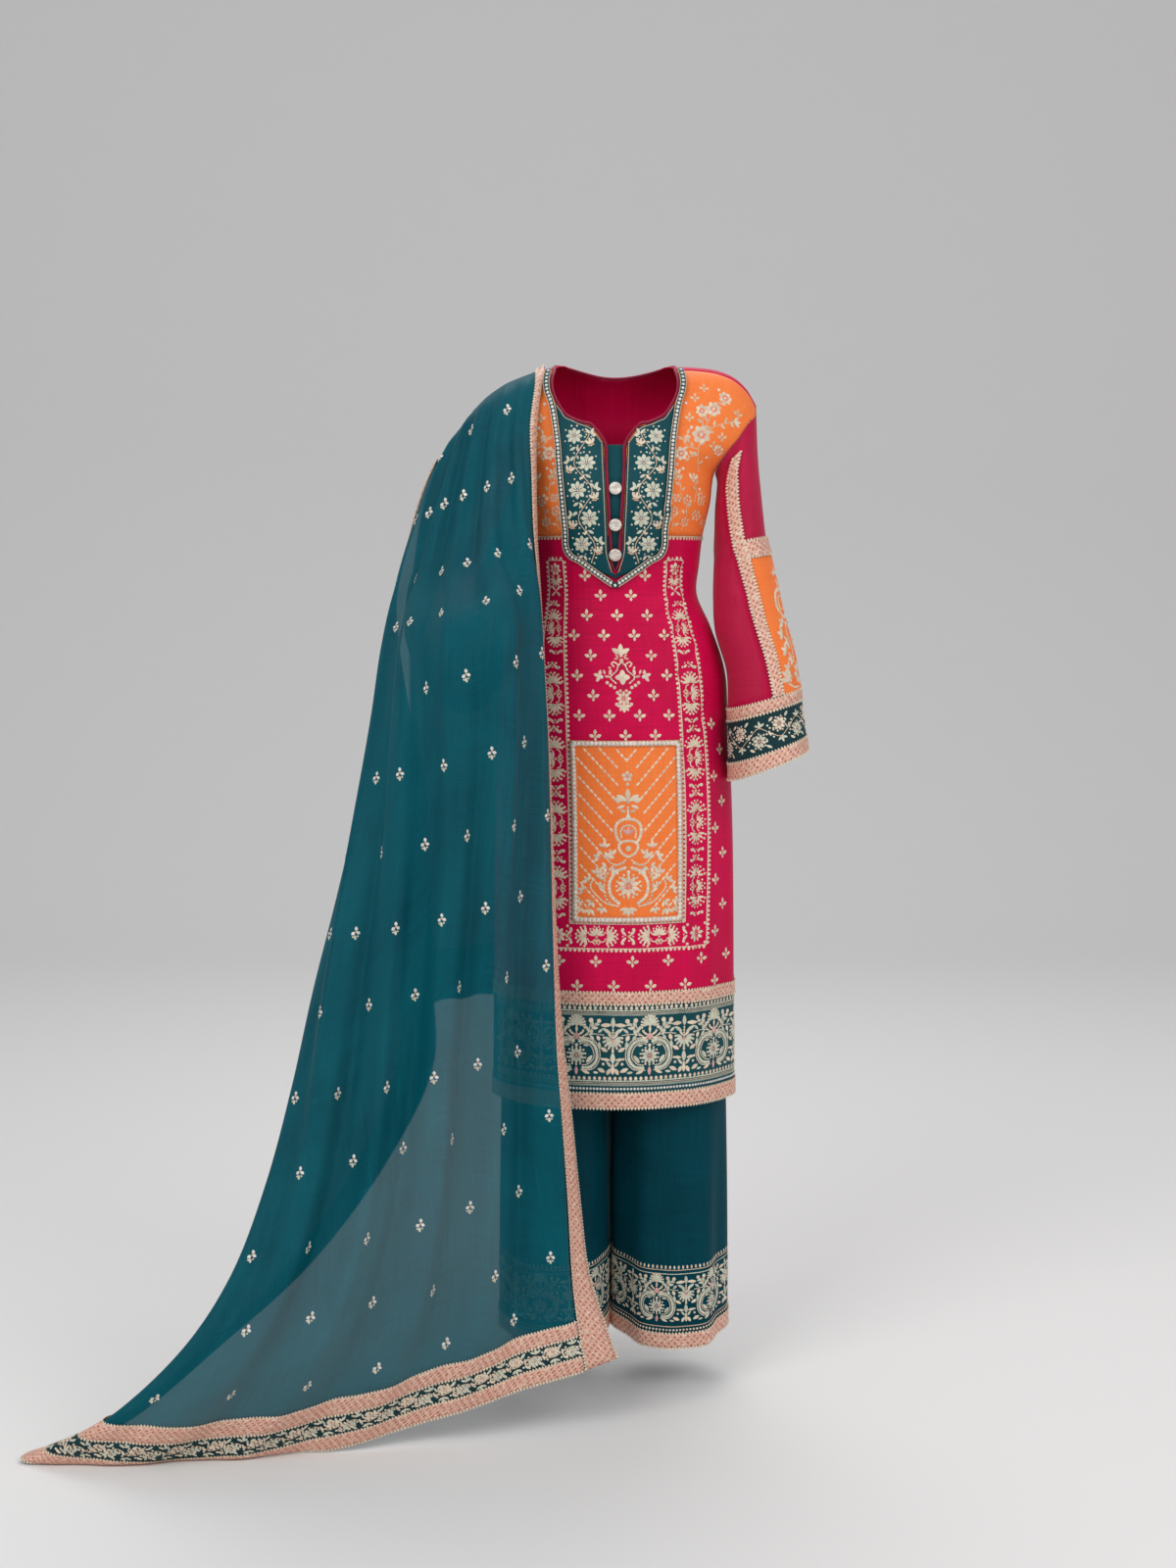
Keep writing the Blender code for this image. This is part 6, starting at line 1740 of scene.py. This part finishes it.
def embroider_patch():
    patch = Embroidery("front_patch_embroidery", 10)
    patch.sew(front_at, chevrons(), 0.0, PATCH[0] + PATCH_EDGE, lift=PATCH_LIFT)
    patch.sew(front_at, shifted(garland(), size=GARLAND_SIZE), 0.0, PATCH[0] + GARLAND_TOP,
              lift=PATCH_LIFT + THREAD_LIFT)
    side = (PATCH_HALF - PATCH_EDGE / 2) * 1000
    top, low = -(PATCH[0] + PATCH_EDGE / 2) * 1000, -(PATCH[1] - PATCH_EDGE / 2) * 1000
    corners = [(-side, top), (side, top), (side, low), (-side, low)]
    for start, end in zip(corners, corners[1:] + corners[:1]):
        patch.sew(front_at, beads([start, end], 5.4, 6.0, PEARL), lift=PATCH_LACE_LIFT)
    patch.make("pearl_trim")


embroider_patch()

# ---- neck embroidery ----
# Both neck panels carry round pearl-hearted flowers on a winding stem with leaves and berries,
# and the lace beside them is set with pearls between two gold lines.
PANEL_LIFT = PANEL_OUT + LACE
LACE_LIFT = NECK_LACE_OUT + LACE
NECK_FLOWERS = (  # drop, offset from the panel's middle and radius in millimetres
    (0.104, 8, 11.5), (0.142, -7, 12.5), (0.18, 8, 12.5), (0.218, -6, 12.5), (0.254, 7, 12.0),
)
RING_ANGLES = (35, 75, 105, 145, 215, 250, 290, 330)
BERRY_STEP, BERRY_OUT, BERRY_SIZE = 4.4, 4.0, 2.9


def panel_middle(drop):
    """How far out the middle of a neck panel lies, in millimetres."""
    return 49.5 - 12.5 * (drop - 0.1) / 0.18


def tulip(height, thread=CREAM, core=PINK):
    """A closed flower of three petals on its cup."""
    return (petals(0, 0, 3, height * 0.52, height * 0.86, height * 0.34, 90, 76, thread)
            + petals(0, 0, 1, height * 0.45, height * 0.42, height * 0.18, colour=core)
            + petals(0, 0, 2, height * 0.22, height * 0.44, height * 0.2, 90, 176, GOLD)
            + [dot(0, -height * 0.06, height * 0.2, thread)])


def neck_flower(radius):
    ring = [toward(0, 0, radius * 0.34, turn) for turn in np.linspace(0, 6.28, 9)]
    return flower(radius, 8, SILVER, PEARL, 0.66) + beads(ring, 1.5, 1.9, CHAMPAGNE)


def berries(line):
    """Beads set by turns on either side of a line."""
    fine = finer(line, 8)
    run = runs_along(fine)
    at = np.arange(BERRY_STEP / 2, run[-1], BERRY_STEP)
    x, y = (np.interp(at, run, fine[:, k]) for k in (0, 1))
    right, up = (np.interp(at + 0.5, run, fine[:, k]) for k in (0, 1))
    turns = np.arctan2(up - y, right - x) + np.where(np.arange(len(at)) % 2, 1, -1) * math.pi / 2
    return [dot(*toward(*place, BERRY_OUT, turn), BERRY_SIZE, SILVER)
            for *place, turn in zip(x, y, turns)]


def neck_panel_stitches():
    """The flowers, and beside each a fan, a tulip, berries and leaves, on one winding stem."""
    made = []
    stem = [(panel_middle(0.098) - 6, -98.0)]
    for drop, offset, radius in NECK_FLOWERS:
        x, y = panel_middle(drop) + offset, -drop * 1000
        made += shifted(neck_flower(radius), x, y)
        stem.append((panel_middle(drop) - offset * 1.5, y))
        side = -1 if offset > 0 else 1
        away = x + side * (radius + 11)
        made += petals(away, y + 3, 3, 4.8, 9.0, 4.4, 90 - side * 30, 150, SILVER)
        made += shifted(tulip(12.0), away + side * 1.0, y - 13, side * 16)
        made += [dot(away + side * (4.5 - 1.5 * abs(step)), y + 4.6 * step, 3.2) for step in (-1, 0, 1)]
        made += [dot(*toward(x, y, radius + 3.0, math.radians(turn)), 2.8 if turn % 2 else 2.2)
                 for turn in RING_ANGLES]
        made.append(leaf(x - side * 2, y - radius - 6.5, 9.6, 4.4, side * 30, SILVER))
        made.append(leaf(x + side * 5, y - radius - 7.5, 8.6, 4.0, 90 + side * 30))
    stem.append((panel_middle(0.285) - 4, -281.0))
    return made + chain(stem, 1.7, 3.2, CHAMPAGNE) + berries(stem)


def embroider_neck(side, name):
    work = Embroidery(f"neck_{name}_embroidery", 11)
    panel = neck_panel_stitches()
    work.sew(bodice_at, panel if side > 0 else flipped(panel), lift=PANEL_LIFT)
    scale = (side * 1000, -1000)
    outer, inner = (line * scale for line in neck_lace_line())
    rails = []
    for share in (0.04, 0.96):
        rails += chain((outer * (1 - share) + inner * share)[::4], 1.5, 3.4, CHAMPAGNE)
    rails += beads(((outer + inner) / 2)[::4], 4.6, 5.3, PEARL)
    if side > 0:
        rails.append(dot(0.0, float((outer + inner)[-1, 1]) / 2, 4.6, PEARL))
    work.sew(bodice_at, rails, lift=LACE_LIFT)
    top = np.array([neck_column(share)[0] for share in np.linspace(0.06, 0.98, 9)]) * scale
    top[:, 1] -= 2.0
    beside = neck_column(0.045)[::6] * scale
    lines = chain(top, 1.3, 3.0, CHAMPAGNE) + chain(beside, 1.3, 3.0, CHAMPAGNE)
    work.sew(bodice_at, lines, lift=PANEL_LIFT)
    work.make("pearl_trim")


for side, name in SIDES:
    embroider_neck(side, name)

# ---- yoke embroidery ----
# Long flowering sprays of champagne silk climb the orange yoke from its armhole side, small
# flowers crowd above its lower seam, and a row of picots edges that seam.
YOKE_FLOWERS = (  # distance out, drop, radius, all in millimetres
    (122, 100, 14), (140, 62, 11), (157, 42, 10), (123, 66, 9.5), (93, 127, 10), (147, 121, 8),
)
YOKE_LOW_FLOWERS = (
    (101, 192, 8.5), (82, 208, 8), (115, 213, 8.5), (97, 223, 7.5), (86, 190, 6.5), (122, 193, 7),
    (73, 221, 6.5), (126, 224, 6.5), (74, 196, 6),
)
YOKE_STEMS = (  # points: distance out, drop, in millimetres
    ((119, 152), (117, 130), (122, 100), (131, 82), (140, 62), (157, 42)),
    ((122, 100), (140, 88), (156, 81), (168, 77)), ((117, 128), (106, 130), (93, 127)),
    ((119, 120), (104, 117), (96, 108), (101, 101), (106, 105)), ((122, 100), (124, 84), (123, 66)),
    ((92, 188), (92, 172), (87, 158)), ((112, 194), (115, 178), (110, 164)),
    ((94, 234), (99, 212), (101, 192)), ((78, 234), (82, 222), (82, 208)),
)
# the small sprigs and the single pearls: distance out and drop
YOKE_SPRIGS = (
    (126.4, 33), (113, 48), (85, 159), (112, 160), (152, 102), (140, 115), (76, 186), (123, 186),
    (105, 76), (175, 60),
)
SEQUINS = (
    (76.6, 159.3), (96, 148), (130, 131), (100, 56), (120, 176), (87, 142), (148, 32), (108, 90),
)
YOKE_TULIPS = ((168, -77, -78), (87, -158, 10), (110, -164, -8))
YOKE_TEETH, YOKE_TEETH_START = -243.5, 66


def open_flower(radius, count, thread, core):
    """Round petals about a darker ring and a bead."""
    return (petals(0, 0, count, radius * 0.66, radius * 0.7, radius * 4.6 / count, colour=thread)
            + petals(0, 0, count, radius * 0.42, radius * 0.34, radius * 0.26, colour=core)
            + [dot(0, 0, radius * 0.36, PEARL)])


def yoke_stitches():
    """Everything in distances out and heights, in millimetres."""
    made = []
    for x, drop, radius in YOKE_FLOWERS:
        made += shifted(open_flower(radius, 7, CREAM, PINK), x, -drop, 17 * radius)
    for x, drop, radius in YOKE_LOW_FLOWERS:
        made += shifted(open_flower(radius, 6, PEACH, GOLD), x, -drop, 23 * radius)
    for stem in YOKE_STEMS:
        line = np.array(stem) * (1.0, -1.0)
        made += chain(line, 1.8, 3.6, PEACH)
        fine = finer(line, 2)
        for index, (x, y) in enumerate(fine[1:-1]):
            ahead = fine[index + 2] - fine[index]
            turn = math.atan2(ahead[1], ahead[0]) + (0.9 if index % 2 else -0.9)
            made.append((LEAF, *toward(x, y, 5.4, turn), 9.0, 4.4, turn, PEACH))
    for x, y, turn in YOKE_TULIPS:
        made += shifted(tulip(13), x, y, turn)
    for x, drop in YOKE_SPRIGS:
        made += shifted(sprig(PEACH, GOLD), x, -drop, 0, 0.8)
    return made + [dot(x, -drop, 4.6, PEARL) for x, drop in SEQUINS]


for side, name in SIDES:
    work = Embroidery(f"yoke_{name}_embroidery", 12)
    stitches = yoke_stitches()
    work.sew(bodice_at, stitches if side > 0 else flipped(stitches))
    reach = float(side_arc(np.array(YOKE_DROP))) * 1000
    seam = [(side * YOKE_TEETH_START, YOKE_TEETH), (side * (reach - 2), YOKE_TEETH)]
    work.sew(front_at, toothed(seam, -90, PEACH), lift=CLOTH + 0.0004)
    work.make("gold_lace")

# ---- sleeve embroidery ----
# A tall garland of cream silk stands on each sleeve's orange panel along the outer line of the
# arm, and the dark cuff band carries pearl-hearted flowers with leaves and berries.
GARLAND_LENGTH, GARLAND_OUT, GARLAND_START = 152, 0.022, PANEL_TOP - 0.9
PICOT, PICOT_OUT = (5.0, 3.4), 0.4
SPRAY_BUDS = (  # place and angle
    (9, -86, 50), (15, -95, 20), (9, -104, -10), (17, -112, 30), (10, -121, 0), (19, -130, 40),
)
BAND_BERRIES = (
    (-4.5, 1.0), (3.5, 3.0), (5.2, 7.6), (1.0, -6.0), (6.0, -2.4), (-5.2, 10.6), (-2.0, -10.4),
)


def strip_surface(grid):
    """A surface read in metres: across from a grid's middle, and down from its first row."""
    lengths = cloth_lengths(grid)
    across, down = lengths[..., 0].mean(0), -lengths[..., 1].mean(1)
    over, columns, rows = over_grid(grid), np.arange(len(across)), np.arange(len(down))

    def at(x, y):
        return over(np.interp(x, across, columns), np.interp(y, down, rows))

    return at, float(across[-1]), float(down[-1])


def sleeve_garland():
    """From the top of the panel down, about its middle line."""
    loop = chain([(0, -50), (9, -54), (12, -66), (6, -76), (0, -80)], 4.4, 6.0, overlap=0.72)
    loop += chain([(0, -57), (5, -59), (7, -66), (3, -72)], 2.4, 4.0)
    sprays = []
    for place in SPRAY_BUDS:
        sprays += bud(*place, (4.0, 7.8, 4.2), 120, 3.0, GOLD)
    sprays += chain([(2, -84), (6, -96), (4, -110), (8, -126)], 2.6, 4.4)
    foot = shifted(flower(12, 8), 0, -137) + [dot(0, -86, 4.6, PEARL), leaf(0, -44, 9, 4)]
    spread = shifted(tulip(15), 20, -141, -40) + chain([(4, -150), (15, -149), (24, -143)], 2.6, 4.4)
    return bud(0, -36, 90, (4.4, 8.4, 4.6), 130) + both(loop + sprays + spread) + foot


def flower_band(reach, high, step=0.031, size=10.0):
    """Flowers along a band of this half length and height, in millimetres about its top middle."""
    count = int(2 * reach / step)
    pitch, middle = 2 * reach / count * 1000, -high * 500
    play = max(0.0, high * 500 - size - 4)
    made = chain([(-reach * 1000 + pitch * k / 2, middle + play * 0.7 * (-1) ** (k // 2) * (k % 2))
                  for k in range(2 * count + 1)], 1.5, 3.4, CHAMPAGNE)
    for index in range(count):
        x, side = -reach * 1000 + pitch * (index + 0.5), 1 if index % 2 else -1
        y = middle + side * play * 0.6
        made += shifted(flower(size, 8, CREAM if index % 2 else SILVER, PINK, 0.64), x, y, 20 * index)
        made += shifted(petals(0, 0, 8, size * 1.04, 3.4, 3.0), x, y, 20 * index + 22)
        away = y - side * (size + 4 + play * 0.4)
        made += petals(x + 2, away, 3, 4.2, 8.4, 3.8, -90 * side, 130, SILVER) + [dot(x + 2, away, 3.4)]
        mid = x + pitch / 2
        made += [(LEAF, mid - 3, middle + side * (play + 5), 9.4, 4.2, 0.7 * side, SILVER),
                 (LEAF, mid + 4, middle - side * (play + 4), 9.0, 4.2, -0.6 * side, CREAM),
                 (LEAF, mid, middle + side, 8.4, 3.8, 1.4 * side, CREAM)]
        made += [dot(mid + right, middle + side * up, 3.2, CREAM if right > 0 else PEARL)
                 for right, up in BAND_BERRIES if abs(up) + 3 < high * 500]
    return made


def picots(grid, down=False, pitch=5.0):
    """Small teeth along both edges of a strip that runs across, or down, its grid."""
    _, reach, length = strip_surface(grid)
    reach, length = reach * 1000, length * 1000
    if down:
        return [leaf(edge * (reach + PICOT_OUT), -y, *PICOT, 0) for edge in (-1, 1)
                for y in np.arange(pitch / 2, length, pitch)]
    return [leaf(x, -edge, *PICOT) for edge in (-PICOT_OUT, length + PICOT_OUT)
            for x in np.arange(-reach + pitch / 2, reach, pitch)]


def sew_picots(work, grid, down=False, pitch=5.0, step=0.003):
    work.sew(strip_surface(grid)[0], picots(grid, down, pitch), lift=0, step=step)


def embroider_sleeve(name, reader):
    work = Embroidery(f"sleeve_{name}_embroidery", 13)
    panel = outer_columns(reader(np.linspace(GARLAND_START, CUFF_LACE, 60)), EDGE_COLUMNS)
    surface, _, length = strip_surface(raised(panel, LAY + LACE))
    ahead, behind = surface(np.array([0.02, -0.02]), np.array([0.1, 0.1]))[:, 1]
    out = GARLAND_OUT if ahead < behind else -GARLAND_OUT
    stitches = shifted(sleeve_garland(), size=(length * 1000 - 2) / GARLAND_LENGTH)
    work.sew(surface, stitches, across=out, lift=0)
    surface, reach, length = strip_surface(reader(np.linspace(CUFF_LACE_END, LOW_LACE, 24)))
    work.sew(surface, flower_band(reach, length), lift=0, step=0.004)
    for top, low in ((CUFF_LACE, CUFF_LACE_END), (LOW_LACE, CUFF_END)):
        lace = reader(np.linspace(top, low, 6))
        surface = strip_surface(raised(lace, LAY + LACE, True))[0]
        work.sew(surface, picots(lace), lift=0, step=0.004)
    height, side_columns = 2 * LACE + 2 * LAY, REACH_COLUMNS - EDGE_COLUMNS + 1
    laces = raised(outer_columns(reader(np.linspace(SIDE_LACE_TOP, SIDE_LACE_END, 60))), height)
    sew_picots(work, laces[:, :side_columns], down=True)
    sew_picots(work, laces[:, -side_columns:], down=True)
    sew_picots(work, raised(outer_columns(reader(np.linspace(BAR, PANEL_TOP, 8))), height))
    work.make("gold_lace")


for name, reader in sleeve_at.items():
    embroider_sleeve(name, reader)

# ---- hem lace edges ----
# Small cream teeth of twisted thread stand along both edges of each woven lace of the hem,
# front and back.
hem_picots = Embroidery("hem_lace_picots", 14)
for grid_of in (front_grid, back_grid):
    for _, top, low in HEM_LACES:
        grid, _ = grid_of(np.linspace(top, low, LACE_ROWS))
        sew_picots(hem_picots, raised(grid, CLOTH + LAY + LACE))
hem_picots.make("gold_lace")

# ---- trouser embroidery ----
# Each trouser hem repeats the horseshoes and lilies of the kameez band, a little smaller, under
# a scalloped line and over a row of beads.
TROUSER_BAND, TROUSER_MOTIF, TROUSER_PERIOD, TROUSER_MOTIF_UP = 0.13, 0.8, 0.0849, 0.048
TROUSER_LINES = ((91, CHAMPAGNE), (85.5, SILVER), (10, CHAMPAGNE))  # height over the lace
TROUSER_TEETH, TROUSER_BEADS = 95, 5


def trouser_rails(edge, low):
    """Lines, beads and teeth from side to side, in millimetres about the band's top."""
    made = []
    for up, colour in TROUSER_LINES:
        made += chain([(-edge, up - low), (edge, up - low)], 1.7, 3.6, colour)
    made += beads([(-edge, TROUSER_BEADS - low), (edge, TROUSER_BEADS - low)], 3.4, 5.0)
    return made + [leaf(x, TROUSER_TEETH - low, 6.0, 3.2) for x in np.arange(-edge, edge, 6.4)]


for side, name in SIDES:
    work = Embroidery(f"trouser_{name}_embroidery", 15)
    drops = np.linspace(TROUSER_HEM - TROUSER_BAND, TROUSER_HEM - TROUSER_LACE, 24)
    surface, reach, length = strip_surface(leg_grid(side, drops, 2 * LEG_COLUMNS))
    count = round(2 * reach / TROUSER_PERIOD)
    for index in range(2 * count):
        across = -reach + reach / count * (index + 0.5)
        motif = shifted(lily_motif() if index % 2 else horseshoe_motif(), size=TROUSER_MOTIF)
        work.sew(surface, motif, across, length - TROUSER_MOTIF_UP, lift=0, step=0.003)
    work.sew(surface, trouser_rails(reach * 1000 - 1, length * 1000), lift=0, step=0.003)
    sew_picots(work, raised(trouser_lace_grid(side), LAY + LACE, True))
    work.make("pearl_trim")

# ---- dupatta embroidery ----
# Little four-petalled sprigs are scattered over the sheer cloth in staggered rows. The dark
# border bands carry flowers set close together with leaves and pearls, and every lace has teeth.
SPRIGS_ACROSS, SPRIG_ROW, SPRIG_SIZE = 7, 0.106, 1.15
SPRIG_COLUMN = 80  # the column whose length spaces the rows
GATHERED = 0.15  # from the shoulder, where every other sprig is out of sight in the folds
DUPATTA_PITCH = 4.6


def clover():
    """Four small petals about a bead."""
    return (petals(0, 1.2, 3, 3.6, 5.2, 4.2, 90, 240, PEARL) + [dot(0, 1.2, 2.6, GOLD)]
            + petals(0, -1.6, 1, 4.2, 6.0, 3.8, -90, colour=SILVER)
            + [dot(3.0, -4.6, 2.2), dot(-3.0, -4.6, 2.2)])


def sew_by_number(work, grid, column, row, motif):
    """Sews a motif at a column and row number of a grid."""
    i, j = int(np.clip(row, 1, grid.shape[0] - 3)), int(np.clip(column, 1, grid.shape[1] - 3))
    top, left = max(0, i - 4), max(0, j - 6)
    window = grid[top:i + 6, left:j + 8]
    x, y = cloth_lengths(window)[i - top, j - left]
    work.sew(strip_surface(window)[0], motif, float(x), -float(y), lift=0.0002, step=0.002)


def scatter_sprigs():
    work = Embroidery("dupatta_sprigs", 16)
    run, numbers = runs_along(dupatta[:, SPRIG_COLUMN]), np.arange(LAST_ROW + 1)
    last, first = (np.interp(number(ends[3]), numbers, run) for _, number, ends in DUPATTA_ENDS)
    motif = shifted(clover(), size=SPRIG_SIZE)
    for index, length in enumerate(np.arange(first + 0.03, last - 0.02, SPRIG_ROW)):
        row = float(np.interp(length, run, numbers))
        gathered = abs(length - run[SHOULDER_ROW]) < GATHERED
        for step in range(index % 2, SPRIGS_ACROSS, 2) if gathered else range(SPRIGS_ACROSS):
            share = (step + (0.75 if index % 2 else 0.25)) / SPRIGS_ACROSS
            column = free_columns + 2 + (LAST_COLUMN - free_columns - lace_columns - 4) * share
            sew_by_number(work, dupatta, column, row, motif)
    work.make("pearl_trim")


scatter_sprigs()
bands = Embroidery("dupatta_border_embroidery", 17)
for _, number, ends in DUPATTA_ENDS:
    surface, reach, length = strip_surface(raised(border_grid(number, ends, 1, 2, 6), OVER))
    bands.sew(surface, flower_band(reach, length, 0.027, 9.4), lift=0, step=0.004)
    for first in (0, 2):
        grid = raised(border_grid(number, ends, first, first + 1), OVER)
        sew_picots(bands, grid, pitch=DUPATTA_PITCH, step=0.004)
bands.make("pearl_trim")

edges = Embroidery("dupatta_lace_picots", 18)
for columns in edge_laces.values():
    grid = raised(dupatta_strip(np.arange(LAST_ROW + 1), columns), OVER)
    sew_picots(edges, grid, down=True, pitch=DUPATTA_PITCH)
edges.make("gold_lace")
